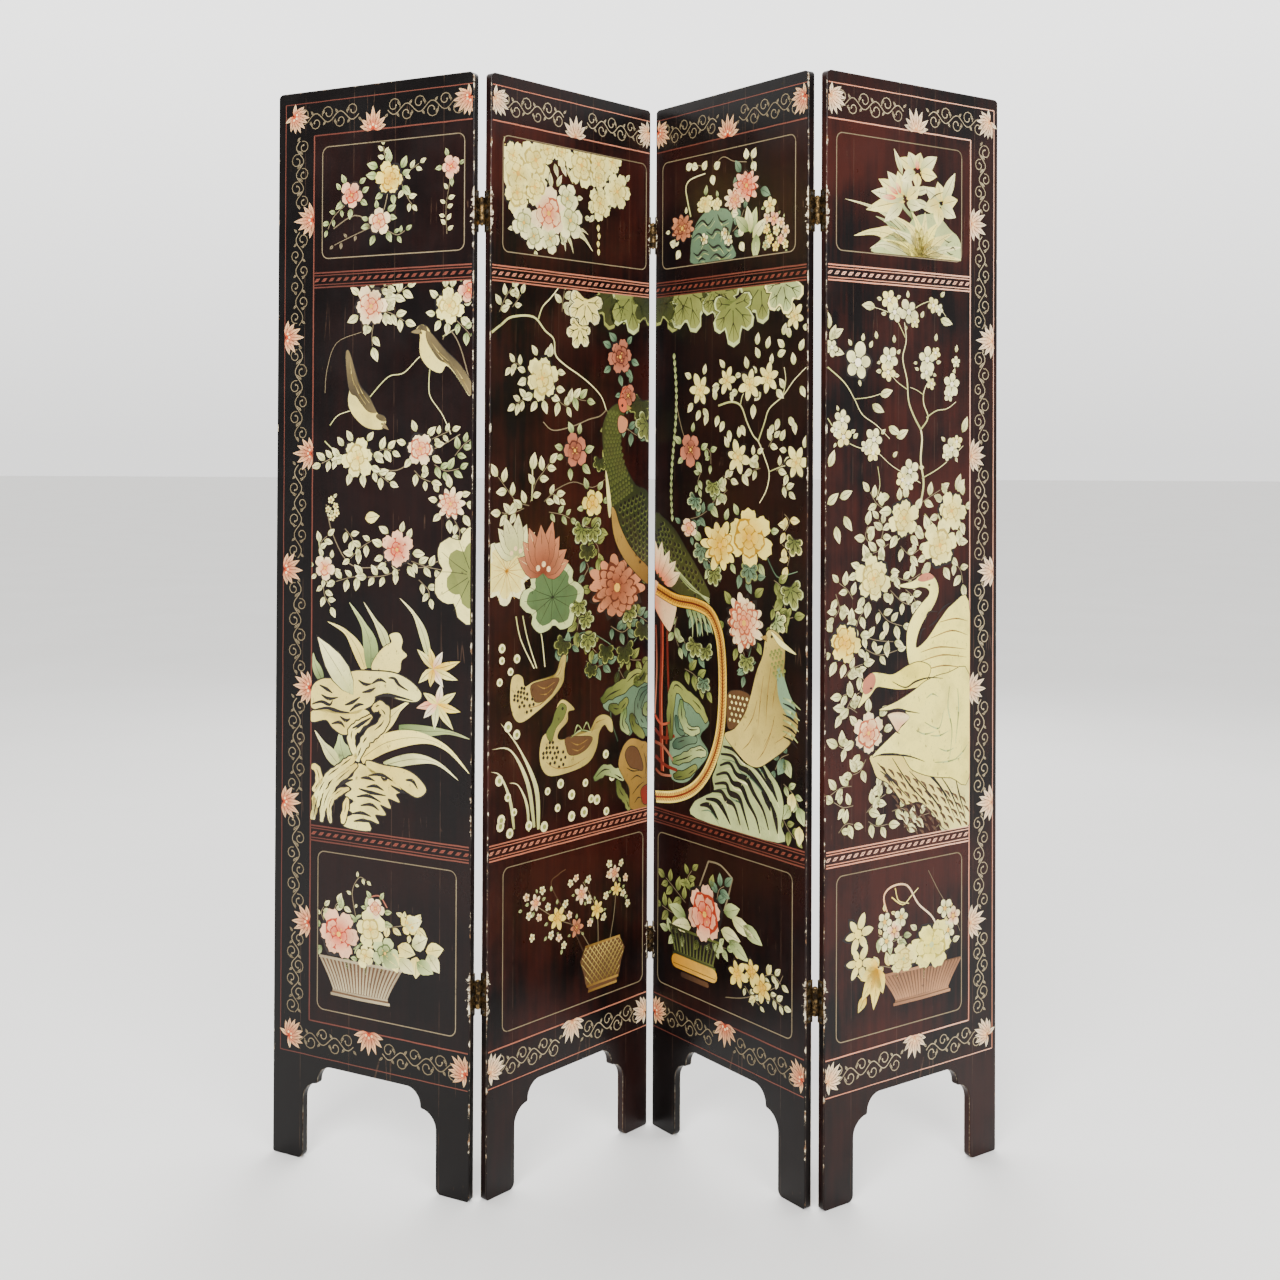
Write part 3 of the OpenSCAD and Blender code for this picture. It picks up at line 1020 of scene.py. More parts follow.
@dataclass(frozen=True)
class Palmette:
    """A fan of pointed petals that stands on a border line.

    Attributes:
        x: Middle of its foot.
        z: Height of its foot.
        angle: Direction in which it opens, in degrees.
        height: Length of its middle petal.
        spread: Angle from the first petal to the last.
        petals: Number of petals.
        paint: Pigment.
        level: How high it lies.
        full: Width of a petal, as a share of the height.
    """

    x: float
    z: float
    angle: float
    height: float = 40.0
    spread: float = 168.0
    petals: int = 7
    paint: Paint = Paint.FLAME
    level: float = 2.0
    full: float = 0.27

    SIDE_LOSS = 0.26
    SIZES = (0.88, 1.06)
    WANDER = 3
    BEND = -0.001
    RANK_STEP = 0.6
    RIM_LENGTH = 1.2
    RIM_WIDTH = 1.8
    GLOW = 1.1
    SEEDS = (-60, 0, 60)
    SEED_REACH = 0.17
    SEED = 0.06

    def draw(self, inlay: Inlay) -> None:
        """Draws the petals from the outside in, each over its dark rim, then the heart.

        Args:
            inlay: The piece that it becomes part of.
        """
        foot = (self.x, self.z)
        rand = inlay.random
        last = self.petals - 1
        order = sorted(range(self.petals), key=lambda k: -abs(k - last / 2))
        width = self.height * self.full
        for rank, k in enumerate(order):
            lean = self.spread * (k / last - 0.5)
            size = self.height * (1 - self.SIDE_LOSS * abs(lean) / 90) * rand.uniform(*self.SIZES)
            turn = self.angle + lean + rand.uniform(-self.WANDER, self.WANDER)
            level = self.level + rank * self.RANK_STEP
            bend = self.BEND * lean
            Leaf(*foot, turn, size + self.RIM_LENGTH, width + self.RIM_WIDTH, Paint.INK, level,
                 bend).draw(inlay)
            Leaf(*foot, turn, size, width, self.paint, level + 0.5, bend, self.GLOW).draw(inlay)
        for turn in self.SEEDS:
            spot = around(foot, math.radians(self.angle + turn), self.height * self.SEED_REACH)
            inlay.dot(spot, self.height * self.SEED, Paint.FLAME, self.level + 7, 7)


@dataclass(frozen=True)
class BorderFlower:
    """A half-open border flower at a corner of the frame.

    Attributes:
        x: Foot of the flower.
        z: Height of its foot.
        angle: Direction in which it opens, in degrees.
        height: Its height.
        paint: Pigment.
    """

    x: float
    z: float
    angle: float
    height: float = 36.0
    paint: Paint = Paint.FLAME

    SEPAL_LEAN = 118
    SEPAL = (0.6, 0.22)
    SPREAD = 150
    PETALS = 8

    def draw(self, inlay: Inlay) -> None:
        """Draws a palmette over two long sepals.

        Args:
            inlay: The piece that it becomes part of.
        """
        length, width = (self.height * share for share in self.SEPAL)
        for side in (-self.SEPAL_LEAN, self.SEPAL_LEAN):
            Leaf(self.x, self.z, self.angle + side, length, width, self.paint, 2).draw(inlay)
        Palmette(self.x, self.z, self.angle, self.height, self.SPREAD, self.PETALS,
                 self.paint).draw(inlay)


@dataclass(frozen=True)
class Line:
    """A straight inlaid line.

    Attributes:
        start: One end.
        end: The other end.
        width: Its width.
        paint: Pigment.
    """

    start: Point
    end: Point
    width: float = 2.4
    # Default: the half-lit copy of the border lines' brick red, a painted sunlight.
    paint: Paint = Paint.HALF_SUNLIT_DUSTY

    WAVER = 0.25
    STEP = 24

    def draw(self, inlay: Inlay) -> None:
        """Draws the line, a little uneven as from a hand-held knife.

        Args:
            inlay: The piece that it becomes part of.
        """
        first, last = (inlay.window.nearest(point) for point in (self.start, self.end))
        length = math.dist(first, last)
        count = max(int(length / self.STEP), 1)
        dx, dz = ((last[k] - first[k]) / length for k in (0, 1))
        path = []
        for k in range(count + 1):
            drift = inlay.random.uniform(-self.WAVER, self.WAVER) if 0 < k < count else 0
            path.append((first[0] + dx * length * k / count - dz * drift,
                         first[1] + dz * length * k / count + dx * drift))
        inlay.stroke([first, *path[1:-1], last], self.width, self.paint)


@dataclass(frozen=True)
class RoundedFrame:
    """A thin line round a cartouche, with rounded corners.

    Attributes:
        left: Its left side.
        right: Its right side.
        low: Its bottom.
        high: Its top.
        radius: Radius of its corners.
        width: Width of the line.
        paint: Pigment.
    """

    left: float
    right: float
    low: float
    high: float
    radius: float = 13.0
    width: float = 1.7
    paint: Paint = Paint.VINE

    CORNER_STEPS = 6

    def draw(self, inlay: Inlay) -> None:
        """Draws the line as one run of stroke that comes back to its start.

        Args:
            inlay: The piece that it becomes part of.
        """
        corners = ((self.right, self.high, 0), (self.left, self.high, 90),
                   (self.left, self.low, 180), (self.right, self.low, 270))
        path = []
        for x, z, first in corners:
            centre = (x - self.radius if x == self.right else x + self.radius,
                      z - self.radius if z == self.high else z + self.radius)
            path += [around(centre, math.radians(first + 90 * k / self.CORNER_STEPS), self.radius)
                     for k in range(self.CORNER_STEPS + 1)]
        inlay.stroke([*path, path[0]], self.width, self.paint)


@dataclass(frozen=True)
class KeyBand:
    """The coral band between two panels of a leaf: four lines with a chain of lozenges between.

    Attributes:
        left: Its left end.
        right: Its right end.
        middle: Height of its middle.
        paint: Pigment.
        half: Half its height.
        pitch: Width of one link, about.
    """

    left: float
    right: float
    middle: float
    paint: Paint = Paint.CORAL
    half: float = 12.5
    pitch: float = 15.0

    INSET = 4.6
    WIDE = 2.4
    THIN = 1.5
    LOZENGE = ((-0.42, -3.0), (0.08, -2.6), (0.42, 3.0), (-0.08, 2.6))
    SLIT = ((-0.2, -1.2), (0.2, 1.2))
    SLIT_WIDTH = 1.3

    def draw(self, inlay: Inlay) -> None:
        """Draws the lines and the chain.

        Args:
            inlay: The piece that it becomes part of.
        """
        inner = self.half - self.INSET
        for offset, width in ((self.half, self.WIDE), (inner, self.THIN), (-inner, self.THIN),
                              (-self.half, self.WIDE)):
            z = self.middle + offset
            Line((self.left, z), (self.right, z), width, self.paint).draw(inlay)
        count = max(int((self.right - self.left) / self.pitch), 1)
        step = (self.right - self.left) / count
        for k in range(count):
            x = self.left + step * (k + 0.5)
            lozenge, slit = ([(x + step * share, self.middle + rise) for share, rise in shape]
                             for shape in (self.LOZENGE, self.SLIT))
            inlay.tile(lozenge, self.paint, 1)
            inlay.stroke(slit, self.SLIT_WIDTH, Paint.MAROON, 3)


@dataclass(frozen=True)
class Form:
    """A smooth closed form, such as a bird's body or a stone, with a dark rim round it.

    Attributes:
        points: Points that its outline passes.
        paint: Pigment.
        level: How high it lies.
        heart: Where the heart's tint is.
        reach: Distance from there to the full tint of the rim.
        rim: Width of the dark rim.
        smooth: Steps of the outline between two points.
    """

    points: tuple[Point, ...]
    paint: Paint = Paint.CREAM
    level: float = 6.0
    heart: Point | None = None
    reach: float = 60.0
    rim: float = 1.4
    smooth: int = 4

    def draw(self, inlay: Inlay) -> None:
        """Draws the dark rim and the form over it.

        Args:
            inlay: The piece that it becomes part of.
        """
        outline = curve_through(self.points, self.smooth, closed=True)
        if self.rim > 0:
            inlay.tile(grown(outline, self.rim), Paint.INK, self.level - 1)
        inlay.tile(outline, self.paint, self.level, self.heart, self.reach)


@dataclass(frozen=True)
class Veins:
    """Dark brush marks that swell and taper, such as a stone's folds or a bird's quills.

    Attributes:
        lines: The marks' middle lines.
        width: Their width where they are fullest.
        paint: Pigment.
        level: How high it lies.
    """

    lines: tuple[tuple[Point, ...], ...]
    width: float = 2.6
    paint: Paint = Paint.INK
    level: float = 8.0

    def draw(self, inlay: Inlay) -> None:
        """Draws every mark."""
        for line in self.lines:
            inlay.swelling(curve_through(line, 4), self.width, self.paint, self.level)


@dataclass(frozen=True)
class Tongue:
    """One knobbly arm of a garden stone, with dark furrows round and along it.

    Attributes:
        points: Its middle line.
        width: Width where it is fullest.
        paint: Pigment.
        level: How high it lies.
        furrow: Width of the dark furrow round it.
    """

    points: tuple[Point, ...]
    width: float = 16.0
    paint: Paint = Paint.CREAM
    level: float = 6.0
    furrow: float = 2.2

    BLUNT = 0.42
    SWELL = 2.6
    KNOBS = (0.74, 1.16)
    LEAST_MARKED = 11
    MARK_DRIFT = 0.24
    MARK_SHARE = 0.16
    MARK_WIDTH = 3.2

    def draw(self, inlay: Inlay) -> None:
        """Draws the furrow, the arm and the broken marks along it.

        Args:
            inlay: The piece that it becomes part of.
        """
        rand = inlay.random
        path = curve_through(self.points, 4)
        last = len(path) - 1
        sides: list[list[Point]] = [[], []]
        for k, point in enumerate(path):
            ahead = heading(path[max(k - 1, 0)], path[min(k + 1, last)])
            full = min(1.0, self.BLUNT + self.SWELL * min(k / last, 1 - k / last))
            for side, sign in zip(sides, (-1, 1)):
                half = self.width / 2 * full * rand.uniform(*self.KNOBS)
                side.append(around(point, ahead + sign * math.pi / 2, half))
        outline = curve_through([*sides[0], *sides[1][::-1]], 2, closed=True)
        inlay.tile(grown(outline, self.furrow), Paint.INK, self.level)
        inlay.tile(outline, self.paint, self.level + 1, path[0], 90.0)
        if self.width < self.LEAST_MARKED:
            return
        spot = rand.randint(1, 3)
        while spot < last - 1:
            end = min(spot + rand.randint(3, 6), last)
            drift = rand.uniform(-self.MARK_DRIFT, self.MARK_DRIFT) * self.width
            mark = shifted(path[spot:end], 0, drift)
            if len(mark) > 2:
                width = min(self.width * self.MARK_SHARE, self.MARK_WIDTH)
                inlay.swelling(mark, width, Paint.INK, self.level + 2)
            spot = end + rand.randint(0, 2)


@dataclass(frozen=True)
class Ribbon:
    """A long tail feather of even width, barbed on both sides of its dark quill.

    Attributes:
        points: Points that its quill runs through.
        width: Its width.
        paint: Pigment of its middle.
        level: How high it lies.
    """

    points: tuple[Point, ...]
    width: float = 22.0
    paint: Paint = Paint.GOLD
    level: float = 8.0

    RIM = 2.6
    INNER = 0.62
    QUILL = 3.4
    BARB_TURN = math.radians(125)
    BARB_REACH = 0.46
    BARB_WIDTH = 1.2

    def draw(self, inlay: Inlay) -> None:
        """Draws the dark rim, the pale vane, its warmer middle, the quill and the barbs.

        Args:
            inlay: The piece that it becomes part of.
        """
        path = curve_through(self.points, 5)
        for width, paint, rise in ((self.width + self.RIM, Paint.INK, 0), (self.width, Paint.YELLOW, 1),
                                   (self.width * self.INNER, self.paint, 1.6),
                                   (self.QUILL, Paint.MAROON, 3)):
            inlay.stroke(path, width, paint, self.level + rise)
        for here, after in zip(path, path[1:]):
            for step in (0.0, 0.5):
                spot = tuple(here[k] + (after[k] - here[k]) * step for k in (0, 1))
                for side in (-1, 1):
                    tip = around(spot, heading(here, after) + side * self.BARB_TURN,
                                 self.width * self.BARB_REACH)
                    inlay.stroke([spot, tip], self.BARB_WIDTH, Paint.BROWN, self.level + 2, 1, 0.6)


@dataclass(frozen=True)
class Feathers:
    """Rows of small rounded feathers along a line, each row set between the last row's feathers.

    Attributes:
        points: The line, from the head's end to the tail's end.
        start: Width of the strip at the head's end.
        end: Width at the tail's end.
        size: Length of a feather.
        paint: Pigment.
        level: How high they lie.
        netted: Whether each has a dark middle.
    """

    points: tuple[Point, ...]
    start: float = 30.0
    end: float = 20.0
    size: float = 8.0
    paint: Paint = Paint.SAGE
    level: float = 8.0
    netted: bool = False

    ROW_STEP = 0.8
    SIDE_STEP = 0.95
    NET = 0.72
    SHAPE = ((0.0, 0.26), (0.45, 0.4), (0.72, 0.3), (0.86, 0.0))

    def draw(self, inlay: Inlay) -> None:
        """Draws the rows from the head to the tail.

        Args:
            inlay: The piece that it becomes part of.
        """
        path = curve_through(self.points, 12)
        length = sum(math.dist(a, b) for a, b in zip(path, path[1:]))
        rows = max(int(length / (self.size * self.ROW_STEP)), 1)
        for row in range(rows):
            share = (row + 0.3) / rows
            spot = min(int(share * (len(path) - 1)), len(path) - 2)
            turn = heading(path[spot], path[spot + 1])
            width = self.start + (self.end - self.start) * share
            across = max(int(width / (self.size * self.SIDE_STEP)), 1)
            for k in range(across + row % 2):
                aside = (k + 0.5 - row % 2 / 2) / across - 0.5
                foot = around(path[spot], turn + math.pi / 2, aside * width)
                inlay.tile(self.feather(foot, turn, self.size), self.paint, self.level, foot, self.size)
                if self.netted:
                    inlay.tile(self.feather(foot, turn, self.size * self.NET), Paint.INK, self.level + 1)

    def feather(self, foot: Point, turn: float, size: float) -> list[Point]:
        """Outlines one feather.

        Args:
            foot: Where it starts.
            turn: Direction of its tip, in radians.
            size: Its length.

        Returns:
            The outline.
        """
        outline = []
        for ahead, aside in (*self.SHAPE, *((a, -b) for a, b in reversed(self.SHAPE[:-1]))):
            point = around(foot, turn, ahead * size)
            outline.append(around(point, turn + math.pi / 2, aside * size * 1.05))
        return outline


@dataclass(frozen=True)
class PadLeaf:
    """A lotus leaf with a wavy rim and ribs from its middle.

    Attributes:
        x: Middle of the leaf.
        z: Height of its middle.
        radius: Half its width.
        paint: Pigment.
        rim_paint: Pigment of its rolled rim.
        squash: Its height against its width.
        lobes: Number of waves of the rim.
        level: Height over the ground, in steps.
        inner: Where the rim begins, as a share of the radius.
    """

    x: float
    z: float
    radius: float
    paint: Paint = Paint.SAGE
    rim_paint: Paint = Paint.CELADON
    squash: float = 0.8
    lobes: int = 6
    level: float = 1.0
    inner: float = 0.8

    STEPS = 48
    BED = 1.03
    DIP = 0.24
    RUFFLE = 0.02
    RIB_REACH = 0.88
    RIB_BEND = (0.45, 0.55)
    RIB_WANDER = 2
    RIB_WIDTH = 1.3

    def draw(self, inlay: Inlay) -> None:
        """Draws the rolled rim, the leaf and its ribs.

        Args:
            inlay: The piece that it becomes part of.
        """
        rand = inlay.random
        phase = rand.uniform(0, FULL_TURN)
        turns = [FULL_TURN * k / self.STEPS for k in range(self.STEPS)]

        def ring(scale: float) -> list[Point]:
            """Outlines the leaf.

            Args:
                scale: Its size against the full one.

            Returns:
                The outline.
            """
            outline = []
            for turn in turns:
                dip = self.DIP * abs(math.cos(self.lobes * turn / 2 + phase)) ** 4
                ruffle = self.RUFFLE * math.sin(3 * self.lobes * turn)
                reach = self.radius * scale * (1 - dip + ruffle)
                outline.append((self.x + math.cos(turn) * reach,
                                self.z + math.sin(turn) * reach * self.squash))
            return outline

        inlay.tile(ring(self.BED), Paint.INK, self.level)
        inlay.tile(ring(1.0), self.rim_paint, self.level + 1)
        inlay.tile(ring(self.inner), self.paint, self.level + 2, (self.x, self.z), self.radius * 1.3)
        for k in range(self.lobes * 2):
            turn = FULL_TURN * (k + rand.uniform(-0.2, 0.2)) / (self.lobes * 2)
            tip = (self.x + math.cos(turn) * self.radius * self.RIB_REACH,
                   self.z + math.sin(turn) * self.radius * self.RIB_REACH * self.squash)
            near, far = self.RIB_BEND
            half = tuple((start * near + end * far) + rand.uniform(-self.RIB_WANDER, self.RIB_WANDER)
                         for start, end in zip((self.x, self.z), tip))
            paint = Paint.MOSS if self.paint != Paint.CREAM else Paint.GOLD
            inlay.stroke(curve_through(((self.x, self.z), half, tip), 3), self.RIB_WIDTH, paint,
                         self.level + 3, 1, 0.5)


@dataclass(frozen=True)
class VineLeaf:
    """A broad lobed leaf that hangs from its foot, veined from there.

    Attributes:
        x: Foot of the leaf.
        z: Height of its foot.
        radius: Length of its middle lobe.
        angle: Direction of that lobe, in degrees.
        paint: Pigment.
        rim_paint: Pigment of its edge.
        level: Height over the ground, in steps.
    """

    x: float
    z: float
    radius: float = 38.0
    angle: float = 270.0
    paint: Paint = Paint.SAGE
    rim_paint: Paint = Paint.CELADON
    level: float = 2.0

    LOBES = (-100.0, -52.0, 0.0, 52.0, 100.0)
    LOBE_SHAPE = ((-22, 0.72), (-13, 0.93), (0, 1.0), (13, 0.93), (22, 0.72))
    SIZES = (0.86, 1.06)
    OUTER_SIZE = 0.8
    SHOULDER_TURN = 140
    SHOULDER_REACH = 0.15
    BED = 2.2
    INNER = 0.9
    VEINS = ((-14, 0.42), (0, 0.12), (14, 0.42))
    VEIN_REACH = 0.82
    VEIN_WIDTH = 2.0

    def draw(self, inlay: Inlay) -> None:
        """Draws the leaf in two tints, then its veins.

        Args:
            inlay: The piece that it becomes part of.
        """
        rand = inlay.random
        foot = (self.x, self.z)
        sizes = [rand.uniform(*self.SIZES) * (self.OUTER_SIZE if abs(lobe) > 80 else 1)
                 for lobe in self.LOBES]

        def outline(scale: float) -> list[Point]:
            """Outlines the leaf.

            Args:
                scale: Its size against the full one.

            Returns:
                The outline.
            """
            first, last = (around(foot, math.radians(self.angle + side * self.SHOULDER_TURN),
                                  self.radius * self.SHOULDER_REACH) for side in (-1, 1))
            line = [first]
            for lobe, size in zip(self.LOBES, sizes):
                for step, share in self.LOBE_SHAPE:
                    turn = math.radians(self.angle + lobe + step)
                    line.append(around(foot, turn, self.radius * size * share * scale))
            return [*line, last]

        inlay.tile(grown(outline(1.0), self.BED), Paint.INK, self.level)
        inlay.tile(outline(1.0), self.rim_paint, self.level + 1)
        inlay.tile(outline(self.INNER), self.paint, self.level + 2, foot, self.radius)
        for lobe, size in zip(self.LOBES, sizes):
            turn = math.radians(self.angle + lobe)
            for side, share in self.VEINS:
                start = around(foot, turn, self.radius * share)
                tip = around(foot, turn + math.radians(side), self.radius * size * self.VEIN_REACH)
                inlay.stroke([start, tip], self.VEIN_WIDTH, Paint.MOSS, self.level + 3, 1, 0.4)


@dataclass(frozen=True)
class Duckweed:
    """A round floating leaf, notched by its dark middle.

    Attributes:
        x: Middle of the leaf.
        z: Height of its middle.
        radius: Its radius.
    """

    x: float
    z: float
    radius: float = 8.0

    def draw(self, inlay: Inlay) -> None:
        """Draws the leaf and its middle.

        Args:
            inlay: The piece that it becomes part of.
        """
        size = self.radius * inlay.random.uniform(0.8, 1.15)
        inlay.dot((self.x, self.z), size, Paint.IVORY, 1, 11)
        inlay.dot((self.x + 0.6, self.z - 0.4), size * 0.5, Paint.SAGE, 2, 7)


@dataclass(frozen=True)
class Basket:
    """A splayed basket of upright canes between a rim and a foot.

    Attributes:
        x: Middle of the basket.
        low: Height of its foot.
        high: Height of its rim.
        foot: Half its width at the foot.
        rim: Half its width at the rim.
        ribs: Number of canes.
        paint: Pigment of the canes.
        body: Pigment between them.
        cane: Thickness of a cane, as a share of the space between two.
    """

    x: float
    low: float
    high: float
    foot: float
    rim: float
    ribs: int = 16
    paint: Paint = Paint.CANE
    body: Paint = Paint.BROWN
    cane: float = 0.72

    WAIST = (0.94, 0.2)
    CANE_BEND = (0.5, 0.42, 0.55)
    ROLLS = (4.5, 3.0, 4.5)

    def draw(self, inlay: Inlay) -> None:
        """Draws the dark body, the canes, and the rolls at the rim and foot.

        Args:
            inlay: The piece that it becomes part of.
        """
        height = self.high - self.low
        waist, rise = self.WAIST
        side = [(self.rim, self.high), (self.foot * waist, self.low + height * rise), (self.foot, self.low)]
        inlay.tile([(self.x - half, z) for half, z in side] + [(self.x + half, z) for half, z in side[::-1]],
                   self.body, 1)
        foot_share, rim_share, bend = self.CANE_BEND
        for k in range(self.ribs + 1):
            share = 2 * k / self.ribs - 1
            cane = [(self.x + share * self.rim * 0.96, self.high - 2),
                    (self.x + share * (self.foot * foot_share + self.rim * rim_share),
                     self.low + height * bend),
                    (self.x + share * self.foot * 0.9, self.low + height * 0.16)]
            inlay.stroke(curve_through(cane, 3), self.rim * 2 * self.cane / self.ribs, self.paint, 3)
        rolls = ((self.high, self.rim), (self.low + height * 0.14, self.foot * 0.95),
                 (self.low + 2, self.foot * 1.02))
        for (z, half), thick in zip(rolls, self.ROLLS):
            inlay.stroke([(self.x - half, z), (self.x, z - 1), (self.x + half, z)], thick, self.paint, 5)


@dataclass(frozen=True)
class LatticeBasket:
    """A high-shouldered basket of crossed canes on a small foot.

    Attributes:
        x: Middle of the basket.
        low: Height of its foot.
        high: Height of its rim.
        foot: Half its width at the foot.
        rim: Half its width at the rim.
    """

    x: float
    low: float
    high: float
    foot: float
    rim: float

    STEP = 11.0
    ROWS = 14
    LEAN = 0.9
    CANE = 1.5
    ROLL = 4.0
    SHAPE = ((0.0, 1.0), (0.1, 0.95), (0.16, 1.15), (0.45, 1.3), (0.72, 1.55), (0.9, 1.3), (1.0, 1.2))

    def half(self, z: float) -> float:
        """Gives half the basket's width at a height.

        Args:
            z: The height.

        Returns:
            Half the width.
        """
        share = min(max((z - self.low) / (self.high - self.low), 0), 1)
        for (low, first), (high, last) in zip(self.SHAPE, self.SHAPE[1:]):
            if share <= high:
                break
        return self.foot * (first + (last - first) * (share - low) / (high - low))

    def draw(self, inlay: Inlay) -> None:
        """Draws the dark body, the crossed canes, and the rim and foot.

        Args:
            inlay: The piece that it becomes part of.
        """
        levels = [self.low + (self.high - self.low) * k / self.ROWS for k in range(self.ROWS + 1)]
        middle = levels[self.ROWS // 2]
        inlay.tile([(self.x + self.half(z), z) for z in levels]
                   + [(self.x - self.half(z), z) for z in levels[::-1]], Paint.BROWN, 1)
        count = int(2 * self.rim / self.STEP) + 2
        for k in range(-count, count + 1):
            for lean, level in ((-self.LEAN, 4), (self.LEAN, 3)):
                line = [(self.x + k * self.STEP + lean * (z - middle), z) for z in levels[2:]]
                inside = [point for point in line if abs(point[0] - self.x) < self.half(point[1])]
                if len(inside) > 1:
                    inlay.stroke(inside, self.CANE, Paint.BUFF, level)
        for z in (self.high, levels[2], self.low + 2):
            roll = [(self.x - self.half(z), z), (self.x + self.half(z), z)]
            inlay.stroke(roll, self.ROLL, Paint.OCHRE, 5)


@dataclass(frozen=True)
class Rod:
    """A plain bar with rounded ends, lying across.

    Attributes:
        left: Its left end.
        right: Its right end.
        z: Height of its middle.
        height: Its thickness.
        paint: Pigment.
    """

    left: float
    right: float
    z: float
    height: float
    paint: Paint = Paint.GOLD

    def draw(self, inlay: Inlay) -> None:
        """Draws the bar with a dark line along it.

        Args:
            inlay: The piece that it becomes part of.
        """
        half = self.height / 2
        ends = [around((self.right - half, self.z), math.radians(t), half) for t in range(-90, 91, 30)]
        ends += [around((self.left + half, self.z), math.radians(t), half) for t in range(90, 271, 30)]
        inlay.tile(ends, self.paint, 6, (self.left, self.z), self.right - self.left)
        low = self.z - half * 0.4
        inlay.stroke([(self.left + 4, low), (self.right - 4, low)], 1.2, Paint.BROWN, 8)


class Recipe:
    """A material's node tree while it is put together."""

    def __init__(self, title: str) -> None:
        """Starts a material with an empty principled shader.

        Args:
            title: The material's name.
        """
        self.material = bpy.data.materials.new(title)
        self.material.use_nodes = True
        self.tree = self.material.node_tree
        self.tree.nodes.clear()
        self.shader = self.node("ShaderNodeBsdfPrincipled")
        output = self.node("ShaderNodeOutputMaterial")
        self.tree.links.new(self.shader.outputs[0], output.inputs[0])

    def feed(self, socket: bpy.types.NodeSocket, value: Any) -> None:
        """Links a socket or sets its value.

        Args:
            socket: The input.
            value: Another node's output, or a plain value.
        """
        if isinstance(value, bpy.types.NodeSocket):
            self.tree.links.new(value, socket)
        elif socket.type == "RGBA":
            socket.default_value = (*value, 1.0)
        else:
            socket.default_value = value

    def node(self, kind: str, settings: dict[str, Any] | None = None, **sockets: Any) -> bpy.types.Node:
        """Adds a node.

        Args:
            kind: Blender's name for it.
            settings: Its properties.
            **sockets: Its inputs, with an underscore for each space in a name.

        Returns:
            The node.
        """
        made = self.tree.nodes.new(kind)
        for name, value in (settings or {}).items():
            setattr(made, name, value)
        for name, value in sockets.items():
            self.feed(made.inputs[name.replace("_", " ")], value)
        return made

    def sum(self, operation: str, *values: Any) -> bpy.types.NodeSocket:
        """Adds a math node and gives its result.

        Args:
            operation: Blender's name for it.
            *values: What it works on.

        Returns:
            The result's socket.
        """
        made = self.node("ShaderNodeMath", {"operation": operation})
        for socket, value in zip(made.inputs, values):
            self.feed(socket, value)
        return made.outputs[0]

    def mix(self, share: Any, first: Any, second: Any) -> bpy.types.NodeSocket:
        """Mixes two colours by a share and gives the result.

        Args:
            share: How much of the second colour.
            first: A colour.
            second: Another colour.

        Returns:
            The result's socket.
        """
        made = self.node("ShaderNodeMix", {"data_type": "RGBA"})
        for place, value in ((0, share), (6, first), (7, second)):
            self.feed(made.inputs[place], value)
        return made.outputs[2]

    def noise(self, vector: Any, scale: float, detail: float = 5.0, rough: float = 0.55) -> Any:
        """Adds a noise texture and gives its strength."""
        return self.node("ShaderNodeTexNoise", None, Vector=vector, Scale=scale, Detail=detail,
                         Roughness=rough).outputs[0]

    def ease(self, value: Any, low: Any, high: Any, start: float = 0.0, end: float = 1.0) -> Any:
        """Maps a value smoothly from one range to another and gives the result.

        Args:
            value: The value.
            low: Start of the range it comes from.
            high: End of the range it comes from.
            start: Start of the range it goes to.
            end: End of the range it goes to.

        Returns:
            The result's socket.
        """
        made = self.node("ShaderNodeMapRange", {"interpolation_type": "SMOOTHSTEP"}, Value=value)
        for name, limit in (("From Min", low), ("From Max", high), ("To Min", start), ("To Max", end)):
            self.feed(made.inputs[name], limit)
        return made.outputs[0]

    def stretch(self, vector: Any, scale: tuple[float, float, float]) -> Any:
        """Scales a vector by three factors and gives the result.

        Args:
            vector: The vector.
            scale: The factors.

        Returns:
            The result's socket.
        """
        made = self.node("ShaderNodeVectorMath", {"operation": "MULTIPLY"})
        self.feed(made.inputs[0], vector)
        made.inputs[1].default_value = scale
        return made.outputs[0]

    def bump(self, height: Any, strength: float, distance: float) -> None:
        """Raises the surface by a height.

        Args:
            height: The height, from 0 to 1.
            strength: How strongly it shows.
            distance: Depth of the relief in metres.
        """
        made = self.node("ShaderNodeBump", None, Strength=strength, Distance=distance, Height=height)
        self.feed(self.shader.inputs["Normal"], made.outputs[0])

    def local(self, face: PanelFace) -> bpy.types.NodeSocket:
        """Gives coordinates in a panel's own frame: width, depth and height in metres.

        Args:
            face: The panel.

        Returns:
            The result's socket.
        """
        turn = Vector((face.along.dot(face.origin), face.inward.dot(face.origin), face.origin.z))
        place = self.node("ShaderNodeTexCoord").outputs["Object"]
        return self.node("ShaderNodeMapping", None, Vector=place, Location=tuple(-turn),
                         Rotation=(0.0, 0.0, -face.yaw)).outputs[0]


